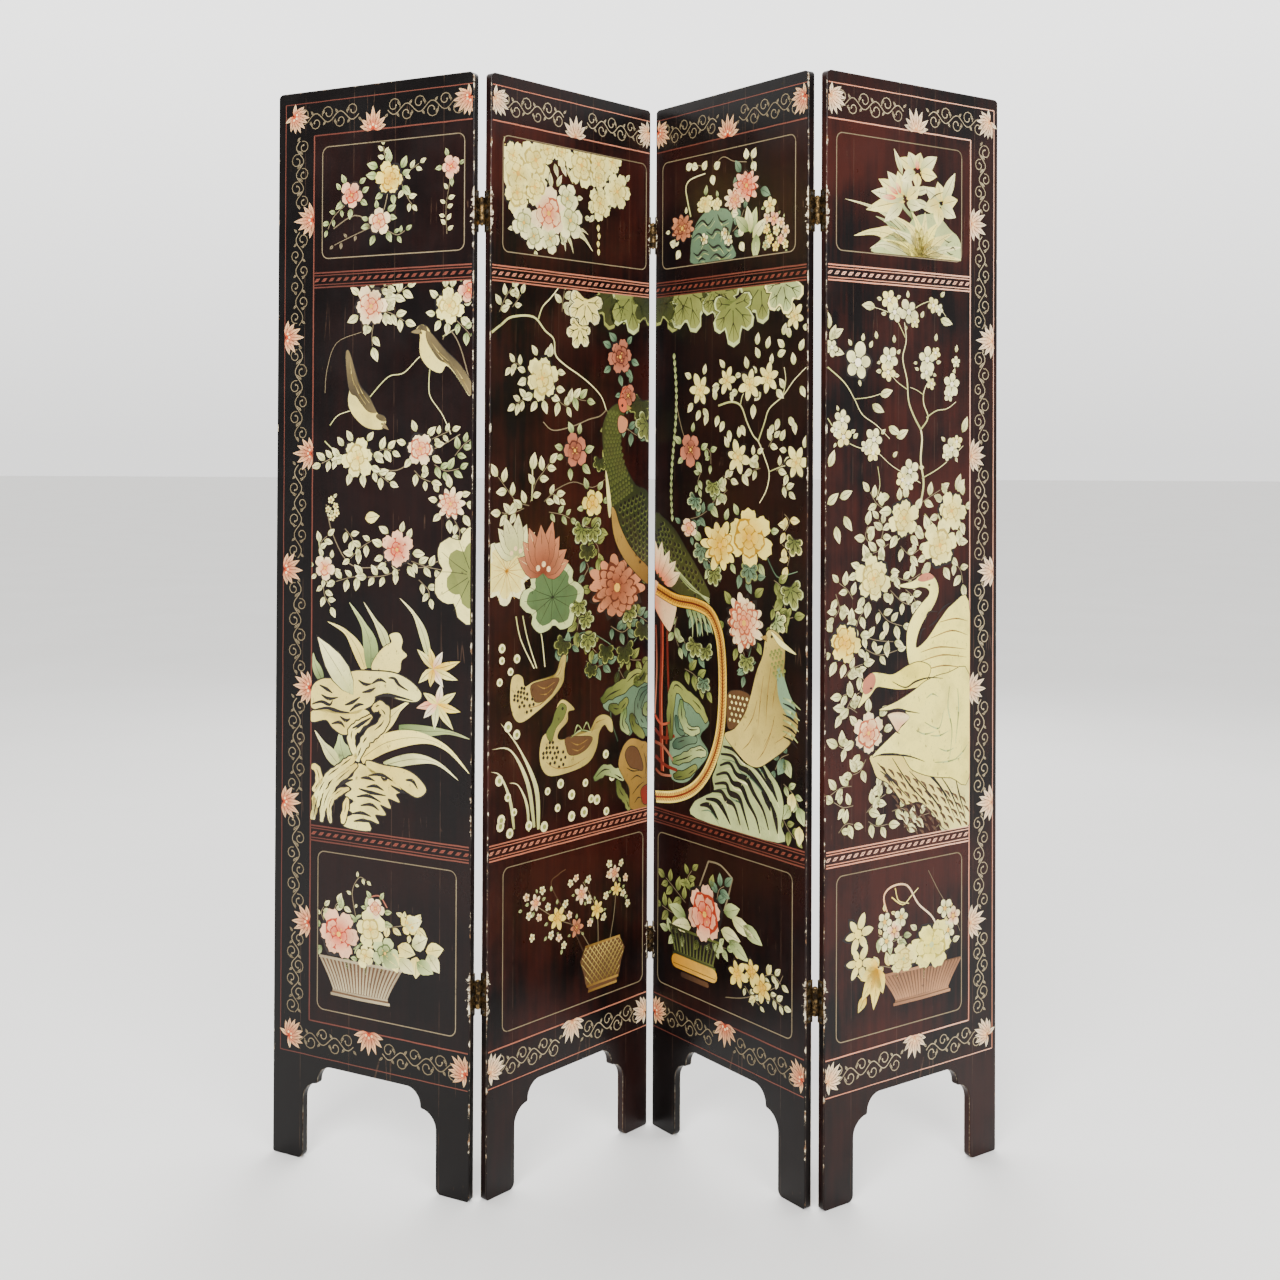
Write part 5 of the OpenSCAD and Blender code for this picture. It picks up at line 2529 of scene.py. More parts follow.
    def creatures(self) -> list[Motif]:
        """The two song birds.

        Returns:
            The motifs, in the order in which they are drawn.
        """
        return [
            Form(((404, 1318), (380, 1352), (352, 1376), (336, 1392), (322, 1406), (312, 1418), (300, 1420),
                  (292, 1412), (300, 1404), (299, 1385), (302, 1368), (314, 1352), (330, 1343), (343, 1341),
                  (352, 1352), (366, 1342), (385, 1318), (398, 1302)), CREAM, 6, (322, 1392), 80),
            Form(((404, 1318), (380, 1352), (352, 1376), (336, 1392), (322, 1406), (312, 1409), (314, 1394),
                  (324, 1378), (338, 1362), (352, 1356), (366, 1344), (386, 1318), (399, 1303)), FEATHER,
                 7, (352, 1364), 74, rim=0.6),
            Form(((297, 1414), (282, 1409), (297, 1406), (302, 1409)), FEATHER, 8, rim=0.8),
            Form(((312, 1418), (300, 1420), (294, 1413), (303, 1412), (314, 1409)), FEATHER, 8, (304, 1416),
                 24, rim=0),
            Veins((((330, 1378), (346, 1362), (360, 1352)), ((322, 1392), (338, 1374), (356, 1360)),
                   ((370, 1348), (384, 1330), (398, 1308))), 1.5, BUFF, 9),
            Form(((302, 1409), (304, 1407), (302, 1405), (300, 1407)), INK, 10, rim=0),
            Form(((148, 1376), (153, 1382), (160, 1368), (168, 1345), (178, 1322), (196, 1304), (206, 1288),
                  (214, 1275), (228, 1270), (232, 1262), (226, 1250), (210, 1248), (190, 1252), (172, 1264),
                  (158, 1280), (153, 1298), (156, 1318), (150, 1345)), CREAM, 6, (196, 1276), 80),
            Form(((148, 1376), (153, 1382), (160, 1368), (168, 1345), (178, 1322), (196, 1304), (206, 1288),
                  (212, 1276), (196, 1278), (182, 1290), (170, 1304), (160, 1308), (154, 1320), (150, 1345)),
                 FEATHER, 7, (176, 1312), 70, rim=0.6),
            Form(((214, 1274), (228, 1270), (232, 1262), (222, 1262), (212, 1268)), FEATHER, 8, (220, 1268),
                 24, rim=0),
            Form(((228, 1260), (238, 1247), (224, 1251)), FEATHER, 8, rim=0.8, smooth=1),
            Veins((((164, 1330), (176, 1308), (190, 1290)), ((157, 1366), (160, 1342), (166, 1322)),
                   ((172, 1328), (184, 1308), (198, 1292))), 1.5, BUFF, 9),
            Form(((224, 1259), (226, 1257), (224, 1255), (222, 1257)), INK, 10, rim=0),
        ]

    def bank(self) -> list[Motif]:
        """The garden stone with its strap leaves and lilies.

        Returns:
            The motifs, in the order in which they are drawn.
        """
        straps = ((((192, 846), (176, 878), (150, 906), (112, 921)), 24, CREAM, 1),
                  (((204, 848), (202, 888), (186, 922), (158, 956)), 32, CELADON, 2),
                  (((238, 882), (228, 906), (210, 930), (188, 958)), 19, IVORY, 1),
                  (((320, 878), (308, 914), (290, 944), (262, 968)), 17, IVORY, 1),
                  (((100, 822), (86, 848), (82, 866)), 20, CELADON, 1),
                  (((150, 688), (142, 712), (140, 736)), 42, CELADON, 1),
                  (((136, 682), (110, 706), (86, 734)), 24, IVORY, 2),
                  (((214, 738), (240, 764), (264, 786), (286, 800)), 26, CREAM, 1),
                  (((262, 752), (310, 752), (362, 754), (404, 746)), 20, CELADON, 1),
                  (((184, 694), (236, 726), (300, 740), (356, 728), (404, 688)), 32, CREAM, 2),
                  (((232, 688), (290, 704), (338, 702), (380, 678)), 20, IVORY, 3))
        petals = [(330, 855, turn, length, 14, paint) for turn, length, paint in (
            (130, 44, CREAM), (96, 36, YELLOW), (52, 34, APRICOT), (10, 54, YELLOW), (-24, 50, CREAM),
            (-62, 34, APRICOT), (214, 38, CREAM), (252, 30, YELLOW))]
        petals += [(338, 798, turn, length, 14, paint) for turn, length, paint in (
            (186, 42, PINK), (142, 32, CREAM), (70, 34, APRICOT), (24, 42, CREAM), (-18, 46, YELLOW),
            (-58, 50, CREAM), (-104, 42, IVORY), (216, 36, APRICOT))]
        roots = ((((176, 700), (158, 686), (138, 672), (116, 656), (100, 636), (90, 610), (84, 582)), 17),
                 (((176, 684), (154, 668), (132, 650), (116, 630), (106, 606), (102, 580)), 14),
                 (((160, 642), (140, 634), (122, 618), (118, 598), (122, 580)), 11),
                 (((156, 626), (152, 604), (146, 582)), 12),
                 (((80, 672), (92, 668), (96, 650), (84, 630)), 14),
                 (((84, 622), (88, 602), (80, 582)), 10),
                 (((208, 778), (222, 786), (234, 776), (228, 756), (206, 738), (188, 718), (176, 690)), 20),
                 (((206, 768), (184, 752), (168, 740), (164, 722), (174, 696)), 17))
        folds = (((80, 778), (100, 784), (118, 780), (124, 788)),
                 ((84, 768), (112, 774), (140, 770), (160, 770)), ((160, 772), (176, 784), (190, 786)),
                 ((206, 822), (222, 830), (236, 826)), ((240, 834), (252, 834), (262, 824), (280, 816)),
                 ((212, 800), (240, 806), (290, 800)), ((122, 748), (140, 752), (150, 744)),
                 ((140, 762), (152, 756), (162, 760)), ((166, 744), (186, 754), (206, 766)),
                 ((182, 738), (192, 748), (200, 750)), ((96, 812), (112, 806), (124, 800)),
                 ((178, 826), (192, 820), (206, 822)), ((186, 806), (202, 810), (214, 816)),
                 ((100, 796), (116, 790), (136, 794)), ((150, 782), (166, 788), (182, 798)),
                 ((276, 668), (290, 668), (300, 656)), ((246, 656), (262, 650), (276, 646)),
                 ((184, 662), (198, 664), (214, 660)), ((196, 648), (214, 652), (232, 646)),
                 ((200, 668), (226, 672), (250, 664)), ((180, 644), (206, 640), (236, 638)),
                 ((168, 658), (150, 652), (136, 642)), ((176, 630), (200, 634), (226, 626)),
                 ((184, 616), (206, 620), (222, 612)), ((166, 600), (186, 604), (206, 600)),
                 ((170, 588), (190, 592), (214, 590)), ((226, 668), (234, 664), (240, 670)))
        stone = (((80, 806), (100, 822), (132, 826), (166, 840), (204, 843), (250, 843), (284, 832),
                  (306, 813), (296, 799), (262, 800), (240, 806), (216, 803), (208, 788), (190, 778),
                  (176, 770), (140, 766), (80, 772)),
                 ((80, 766), (112, 771), (150, 768), (188, 778), (204, 768), (188, 750), (168, 738),
                  (146, 732), (124, 742), (110, 754), (80, 748)),
                 ((196, 692), (230, 688), (270, 686), (298, 676), (317, 656), (300, 642), (276, 650),
                  (240, 666), (204, 674)),
                 ((178, 686), (214, 676), (246, 666), (268, 650), (256, 642), (264, 630), (240, 634),
                  (246, 618), (224, 622), (236, 606), (214, 604), (222, 590), (200, 594), (204, 576),
                  (152, 577), (150, 590), (168, 600), (156, 610), (170, 622), (152, 630), (166, 642),
                  (150, 652), (168, 664)))
        return [
            PadLeaf(404, 1012, 76, SAGE, CREAM, 1.05, 6, 3, 0.68),
            *[Strap(*strap) for strap in straps],
            Form(((206, 846), (214, 868), (232, 886), (246, 894), (242, 906), (260, 910), (268, 898),
                  (266, 884), (277, 874), (266, 864), (262, 846), (240, 840)), CREAM, 3, (236, 860), 60),
            *[Leaf(x, z, turn, length, width, paint, 5 + 0.5 * k, 0.12)
              for k, (x, z, turn, length, width, paint) in enumerate(petals)],
            *[Form(outline, CREAM, 5, (outline[0][0] + 60, outline[0][1] - 10), 150, 2.4)
              for outline in stone],
            *[Tongue(points, width, furrow=2.4) for points, width in roots],
            Veins(folds, 6.6, level=10),
            *[Leaf(168, 800, 127, length, width, paint, level, 0.04) for length, width, paint, level in (
                (126, 47, INK, 11), (121, 42, IVORY, 12))],
        ]

    def lower_picture(self) -> list[Motif]:
        """The low basket of peonies.

        Returns:
            The motifs, in the order in which they are drawn.
        """
        return [
            Basket(185, 290, 352, 60, 86, 20, THREAD, cane=0.42),
            Spray(((175, 430), (168, 470), (182, 495), (196, 492)), 6, 10),
            Branch(((212, 420), (196, 455), (222, 470), (240, 452)), 2.4, 0.8, ROSY),
            Spray(((110, 410), (103, 425), (108, 436)), 4, 18),
            Spray(((130, 432), (136, 445), (148, 442)), 3, 18),
            Spray(((245, 420), (285, 430), (298, 428)), 5, 22, CREAM),
            *[Leaf(x, z, turn, 36, 27, paint, 5 + 0.5 * k, 0.1) for k, (x, z, turn, paint) in enumerate((
                (262, 392, 340, CREAM), (290, 396, 24, IVORY), (318, 392, 8, CREAM), (322, 388, 304, IVORY),
                (300, 380, 262, CREAM), (266, 372, 318, IVORY), (246, 380, 290, CREAM),
                (276, 428, 14, IVORY), (300, 372, 330, CELADON), (232, 372, 330, CELADON)))],
            Flower(140, 394, 42, PEONY, PINK, 6, CELADON),
            Flower(196, 366, 20, ROSE, CREAM, 6, CELADON),
            Flower(206, 412, 31, ROSE, CREAM, 5, CELADON),
            Flower(236, 376, 26, ROSE, CELADON, 4, CREAM),
            Flower(216, 448, 18, ROSE, BLUSH, 6, CELADON),
            Flower(286, 430, 17, ROSE, YELLOW, 3, CREAM),
        ]


@dataclass(frozen=True)
class SecondPanel(PanelWork):
    """The second panel: a pheasant on a garden stone over lotus, ducks and duckweed."""

    upper: Point = (27.0, 392.0)
    lower: Point = (35.0, 390.0)
    # Much painted sunlight: the lacquer turns red-brown as if sunlit.
    warmth_and_sunlight: float = 0.85
    flower_paint: Paint = APRICOT
    # Painted sunlight: the border lines in a half-lit copy of their brick red.
    line_paint: Paint = HALF_SUNLIT_DUSTY
    scroll_paint: Paint = THREAD

    def upper_picture(self) -> list[Motif]:
        """The masses of peonies in the upper cartouche.

        Returns:
            The motifs, in the order in which they are drawn.
        """
        return [
            Branch(((30, 1716), (60, 1704), (100, 1700)), 3.0, 0.5, CREAM),
            Branch(((150, 1716), (172, 1700), (196, 1672)), 2.4, 0.5, CREAM),
            *[Strap(points, width, IVORY, 1) for points, width in (
                (((200, 1592), (224, 1582), (248, 1560)), 13), (((200, 1596), (222, 1594), (236, 1588)), 8),
                (((166, 1580), (176, 1566), (178, 1554)), 8), (((182, 1582), (192, 1568), (198, 1552)), 8))],
            *[Leaf(x, z, turn, length, 11, IVORY, 2) for x, z, turn, length in (
                (126, 1664, 70, 28), (142, 1658, 96, 26), (156, 1662, 60, 24), (166, 1704, 300, 26),
                (180, 1704, 305, 34), (150, 1700, 290, 24), (262, 1684, 240, 26), (286, 1690, 280, 22))],
            *[Flower(x, z, r, PEONY, CREAM, 2, IVORY, leaf=16) for x, z, r in (
                (50, 1700, 26), (60, 1640, 34), (62, 1672, 42), (104, 1700, 38), (102, 1654, 34),
                (132, 1722, 26), (168, 1722, 24), (262, 1690, 24), (298, 1722, 24), (218, 1706, 38),
                (262, 1714, 36), (312, 1672, 33), (266, 1646, 29))],
            *[Flower(x, z, r, ROSE, IVORY, 2, IVORY, leaf=16) for x, z, r in (
                (76, 1592, 30), (100, 1572, 26), (140, 1572, 26), (182, 1644, 28), (190, 1608, 34))],
            Flower(136, 1614, 42, PEONY, BLUSH, 2, IVORY),
            *[Bud(x, z, 270, 12) for x, z in ((262, 1608), (264, 1594), (262, 1580), (263, 1566))],
        ]

    def twigs(self) -> list[Motif]:
        """The twigs, from the top of the field down.

        Returns:
            The motifs, in the order in which they are drawn.
        """
        return [
            Branch(((3, 1406), (25, 1420), (50, 1434), (100, 1437), (128, 1416), (150, 1402),
                    (155, 1375), (182, 1358), (212, 1345), (245, 1328), (272, 1308), (285, 1285)),
                   4.2, 0.4),
            Branch(((285, 1285), (268, 1274), (240, 1268), (200, 1256), (150, 1248), (125, 1262)),
                   2.6, 0.6, VINE),
            Branch(((285, 1285), (310, 1270), (330, 1262), (345, 1250)), 2.4, 0.5, VINE),
            Branch(((112, 1434), (122, 1455), (140, 1470), (160, 1489)), 3.0, 0.6),
            Branch(((98, 1130), (100, 1160), (99, 1188)), 3.4, 0.6),
            Branch(((150, 1145), (200, 1160), (250, 1150), (285, 1165)), 1.8, 0.5, VINE),
            Branch(((240, 1010), (205, 965), (190, 935)), 2.0, 0.5, VINE),
            Branch(((160, 880), (230, 900), (290, 878), (330, 850)), 2.4, 0.5, TEAL),
            Branch(((320, 700), (300, 760), (330, 840), (372, 880)), 2.4, 0.5, TEAL),
        ]

    def blossoms(self) -> list[Motif]:
        """The flowers and leaf sprays of the field.

        Returns:
            The motifs, in the order in which they are drawn.
        """
        return [
            Spray(((20, 1440), (32, 1462), (48, 1482)), 6, 21),
            Spray(((50, 1450), (62, 1462), (70, 1472)), 3, 20),
            Spray(((170, 1450), (172, 1468), (176, 1486)), 4, 24),
            Spray(((170, 1462), (186, 1460), (198, 1452)), 3, 24),
            Flower(322, 1380, 31, PEONY, ROSY, 7, TEAL),
            Flower(122, 1335, 40, PEONY, CREAM, 11, IVORY, leaf=24),
            Spray(((72, 1352), (58, 1358), (48, 1352)), 5, 20),
            Spray(((88, 1302), (72, 1296), (60, 1290)), 5, 20),
            Spray(((160, 1300), (182, 1290), (200, 1302)), 5, 24),
            Spray(((195, 1310), (215, 1302), (232, 1300)), 3, 26, CELADON),
            Flower(344, 1312, 22, ROSE, ROSY, 4, TEAL),
            Spray(((330, 1262), (352, 1248), (372, 1240)), 5, 24, TEAL),
            Spray(((298, 1262), (290, 1242), (286, 1225)), 3, 24, SAGE),
            Flower(204, 1214, 30, ROSE, ROSY, 7, CELADON),
            Bud(99, 1182, 78, 30, IVORY),
            Spray(((95, 1128), (108, 1160), (128, 1180), (140, 1192)), 6, 24),
            Spray(((92, 1122), (62, 1130), (38, 1152), (20, 1170)), 6, 25),
            Spray(((80, 1118), (50, 1110), (28, 1112)), 5, 22),
            Spray(((128, 1128), (150, 1140), (165, 1132)), 5, 20),
            Spray(((140, 1110), (172, 1105), (192, 1098)), 5, 18, CELADON),
            Flower(250, 1122, 26, ROSE, YELLOW, 6, CELADON),
            Spray(((205, 1090), (235, 1082), (262, 1075)), 5, 27, SAGE),
            Spray(((235, 1065), (262, 1050), (268, 1030)), 4, 26, SAGE),
            Spray(((228, 1030), (240, 1012), (232, 1000)), 3, 22, TEAL),
            Flower(316, 972, 76, POMPON, SAND, 7, SAGE, squash=0.76, leaf=24),
            Spray(((205, 945), (215, 925), (212, 905)), 4, 26, SAGE),
            Spray(((155, 878), (182, 876), (210, 884)), 6, 24, TEAL),
            Spray(((215, 900), (240, 880), (262, 862)), 6, 24, SAGE),
            Spray(((235, 850), (262, 838), (290, 842)), 6, 26, TEAL),
            Spray(((300, 905), (330, 892), (352, 900)), 6, 24, TEAL),
            Spray(((330, 860), (352, 842), (382, 838)), 6, 25, SAGE),
            Spray(((352, 925), (380, 915), (400, 905)), 5, 23, TEAL),
            Spray(((320, 830), (345, 800), (372, 790)), 6, 25, MOSS),
            *[VineLeaf(x, z, radius, angle, paint, rim, 2) for x, z, radius, angle, paint, rim in (
                (222, 1078, 27, 240, SAGE, CELADON), (252, 1076, 25, 292, SAGE, CELADON),
                (238, 1044, 25, 266, MOSS, SAGE), (216, 950, 25, 262, SAGE, CELADON),
                (234, 924, 22, 300, SAGE, CELADON), (178, 886, 24, 238, MOSS, SAGE),
                (240, 890, 26, 268, SAGE, CELADON), (288, 866, 26, 262, MOSS, SAGE),
                (338, 862, 30, 284, MOSS, SAGE), (350, 928, 24, 280, SAGE, CELADON),
                (388, 896, 27, 258, MOSS, SAGE), (250, 838, 20, 250, MOSS, SAGE),
                (268, 1196, 20, 262, MOSS, SAGE))],
        ]

    def water_plants(self) -> list[Motif]:
        """The lotus with its stems, the reeds and the duckweed.

        Returns:
            The motifs, in the order in which they are drawn.
        """
        weeds = ((30, 890), (30, 870), (65, 870), (25, 835), (50, 850), (45, 760), (65, 745), (25, 675),
                 (45, 645), (30, 610), (60, 618), (50, 585), (28, 600), (95, 590), (132, 582),
                 (140, 640), (165, 608), (200, 625), (235, 640), (200, 588), (265, 606), (290, 582),
                 (288, 682), (250, 610), (172, 648), (232, 590), (305, 640))
        return [
            *[Branch(((x, 940), (x + 12, 900), (x + drift, 850)), 2.6, 0.8)
              for x, drift in ((62, 44), (78, 34), (112, 20))],
            *[Duckweed(x, z) for x, z in weeds],
            Strap(((108, 585), (92, 660), (52, 720), (8, 728)), 9, IVORY, ribbed=False),
            Strap(((118, 580), (112, 650), (72, 720), (28, 768)), 10, IVORY, ribbed=False),
            Strap(((60, 590), (50, 640), (28, 682), (6, 692)), 7, IVORY, ribbed=False),
            Strap(((95, 580), (90, 625), (70, 660), (48, 668)), 6, IVORY, ribbed=False),
        ]

    def creatures(self) -> list[Motif]:
        """The pheasant's head, neck and back, and the two ducks.

        Returns:
            The motifs, in the order in which they are drawn.
        """
        return [
            VineLeaf(300, 1490, 62, 262, MOSS, SAGE), VineLeaf(352, 1490, 70, 275, SAGE, CELADON, 3),
            VineLeaf(395, 1488, 58, 285, MOSS, SAGE, 4), VineLeaf(230, 1470, 54, 262, CREAM, IVORY, 4),
            VineLeaf(215, 1425, 38, 250, CREAM, IVORY, 6),
            VineLeaf(380, 1300, 36, 250, MOSS, SAGE), VineLeaf(395, 1262, 34, 230, SAGE, CELADON, 4),
            Form(((322, 1298), (334, 1288), (330, 1268), (326, 1240), (324, 1210), (342, 1180), (366, 1152),
                  (404, 1128), (404, 1000), (372, 1022), (342, 1044), (318, 1078), (302, 1110), (292, 1150),
                  (284, 1190), (276, 1230), (278, 1262), (296, 1288)), MOSS, 6, (360, 1080), 220),
            Feathers(((306, 1286), (302, 1250), (304, 1210), (312, 1170), (330, 1130)), 26, 66, 8, OLIVE, 8),
            Feathers(((352, 1130), (366, 1090), (386, 1056), (404, 1030)), 70, 60, 11.5, OLIVE, 9, True),
            Form(((300, 1112), (310, 1108), (322, 1082), (346, 1048), (372, 1024), (404, 1000), (404, 972),
                  (360, 1000), (326, 1032), (306, 1068)), OCHRE, 10, (404, 980), 120),
            Form(((284, 1180), (294, 1150), (300, 1112), (294, 1096), (288, 1130)), CREAM, 9),
            Form(((318, 1304), (334, 1306), (342, 1292), (334, 1282), (322, 1286)), CORAL, 9),
            Form(((322, 1276), (342, 1268), (338, 1250), (322, 1246), (316, 1262)), SAND, 9),
            Form(((340, 1296), (354, 1290), (340, 1284)), OCHRE, 9, smooth=1),
            Form(((328, 1297), (331, 1294), (328, 1291), (325, 1294)), INK, 11, rim=0),
            Veins((((320, 1304), (330, 1322), (346, 1330)), ((324, 1304), (336, 1316), (352, 1318))), 4.0,
                  CORAL, 8),
            Form(((52, 836), (64, 844), (78, 838), (84, 822), (104, 828), (140, 832), (160, 838), (172, 862),
                  (184, 864), (180, 838), (176, 818), (150, 796), (110, 776), (78, 764), (60, 772),
                  (50, 800)), BUFF, 6, (150, 832), 70),
            Form(((98, 822), (130, 827), (166, 828), (158, 812), (140, 798), (120, 792), (104, 798)), BROWN,
                 8, rim=0.8),
            Feathers(((66, 818), (80, 800), (104, 784)), 30, 22, 9, BUFF, 8, True),
            Veins((((90, 786), (120, 788), (156, 806)), ((150, 830), (166, 834), (176, 850)),
                   ((112, 822), (132, 814), (156, 822)), ((118, 806), (136, 804), (150, 812))), 2.2, OCHRE,
                  10),
            Form(((150, 742), (160, 760), (162, 780), (174, 790), (190, 784), (206, 770), (190, 768),
                  (188, 752), (168, 738), (164, 726), (180, 722), (220, 730), (244, 728), (262, 748),
                  (282, 752), (302, 742), (306, 720), (296, 722), (284, 734), (270, 722), (264, 698),
                  (246, 676), (210, 666), (150, 664), (126, 680), (120, 708), (128, 734)), BUFF, 6,
                 (226, 726), 80),
            Form(((136, 738), (150, 754), (158, 772), (172, 784), (186, 776), (178, 758), (160, 744),
                  (148, 722)), OLIVE, 8, rim=0.8),
            Form(((184, 724), (220, 722), (252, 716), (240, 700), (216, 692), (194, 694), (186, 706)),
                 BROWN, 8, rim=0.8),
            Feathers(((134, 716), (154, 698), (184, 684)), 34, 24, 9.5, BUFF, 8, True),
            Form(((176, 778), (179, 775), (176, 772), (173, 775)), INK, 10, rim=0),
            Veins((((136, 690), (160, 676), (200, 674), (240, 684)), ((250, 724), (262, 740), (288, 744)),
                   ((196, 716), (216, 708), (240, 714)), ((198, 704), (216, 698), (232, 704))), 2.2, OCHRE,
                  10),
            Veins((((196, 722), (222, 732), (248, 726)), ((206, 728), (214, 742), (226, 732)),
                   ((228, 732), (238, 744), (246, 730))), 3.0, CELADON, 9),
        ]

    def bank(self) -> list[Motif]:
        """The lotus, the garden stone and the hollow stump.

        Returns:
            The motifs, in the order in which they are drawn.
        """
        stone = ((((276, 776), (300, 788), (336, 796), (372, 812), (404, 800)), 24, SAGE),
                 (((296, 764), (322, 756), (346, 772)), 17, SAGE),
                 (((362, 800), (384, 806), (404, 832)), 20, SAGE),
                 (((404, 786), (384, 776), (374, 752), (386, 728), (404, 716)), 18, TEAL),
                 (((340, 756), (332, 730), (350, 710)), 15, CELADON),
                 (((356, 744), (364, 722), (392, 698)), 15, SAGE),
                 (((404, 760), (392, 748), (404, 736)), 10, CELADON),
                 (((258, 642), (284, 654), (312, 646), (338, 632)), 20, CELADON),
                 (((318, 632), (328, 610), (344, 592), (352, 574)), 16, SAGE),
                 (((340, 640), (352, 622), (358, 596)), 9, TEAL))
        return [
            PadLeaf(40, 1016, 60, CREAM, IVORY, 0.95, 8),
            PadLeaf(150, 966, 78, JADE, CELADON, 0.8, 6, 2),
            Palmette(62, 1040, 98, 72, 128, 6, IVORY, 8, 0.42),
            Palmette(126, 1008, 84, 88, 150, 8, SAND, 12, 0.4),
            Form(((280, 770), (300, 792), (350, 806), (404, 818), (404, 702), (372, 724), (352, 706),
                  (330, 730), (334, 752), (296, 756)), TEAL, 2, (404, 760), 120),
            *[Tongue(points, width, paint, 4, 1.7) for points, width, paint in stone],
            Form(((322, 660), (334, 688), (356, 700), (384, 692), (404, 676), (404, 576), (356, 576),
                  (352, 612), (334, 636)), OCHRE, 6, (404, 600), 110),
            Form(((340, 674), (352, 686), (372, 680), (386, 656), (388, 640), (372, 644), (352, 652)),
                 BROWN, 8),
            Form(((384, 604), (404, 610), (404, 580), (390, 580)), MAROON, 8),
            Veins((((356, 626), (372, 632), (388, 624)), ((360, 600), (376, 612), (392, 618)),
                   ((366, 584), (376, 592), (384, 590)), ((344, 650), (360, 642), (380, 640)),
                   ((392, 670), (398, 650), (396, 630)))),
        ]

    def lower_picture(self) -> list[Motif]:
        """The lattice basket of star flowers.

        Returns:
            The motifs, in the order in which they are drawn.
        """
        return [
            LatticeBasket(282, 276, 356, 38, 60),
            Branch(((232, 350), (190, 420), (150, 480), (168, 495), (186, 500)), 2.6, 0.7, BROWN),
            Branch(((250, 352), (215, 395), (165, 420), (100, 462)), 1.8, 0.5, VINE),
            Branch(((270, 352), (265, 415), (230, 470)), 1.8, 0.5, VINE),
            Branch(((300, 352), (312, 400), (318, 455)), 1.8, 0.5, VINE),
            *[Flower(x, z, r, STAR, paint, leaves, CELADON, leaf=9) for x, z, r, paint, leaves in (
                (112, 458, 15, BLUSH, 4), (166, 422, 22, YELLOW, 4), (214, 395, 17, SAND, 3),
                (226, 450, 18, BLUSH, 3), (266, 416, 17, YELLOW, 3), (312, 470, 15, BLUSH, 2),
                (318, 440, 14, YELLOW, 2))],
            *[Flower(x, z, 7.5, PRUNUS, paint, 0) for x, z, paint in (
                (96, 440, IVORY), (128, 476, IVORY), (90, 472, BLUSH), (198, 474, IVORY), (212, 480, BLUSH),
                (244, 472, IVORY), (182, 372, IVORY), (170, 388, BLUSH), (330, 484, IVORY),
                (348, 410, IVORY), (342, 456, BLUSH), (290, 434, IVORY), (104, 402, IVORY),
                (120, 432, BLUSH), (142, 446, IVORY), (186, 442, IVORY), (298, 470, BLUSH),
                (336, 430, IVORY), (246, 436, IVORY), (196, 420, BLUSH), (150, 396, IVORY),
                (298, 488, IVORY), (284, 398, IVORY), (248, 396, BLUSH))],
            *[Bud(x, z, turn, 9, CELADON) for x, z, turn in (
                (80, 452, 180), (140, 396, 220), (178, 366, 250), (340, 420, 20), (150, 470, 90))],
        ]


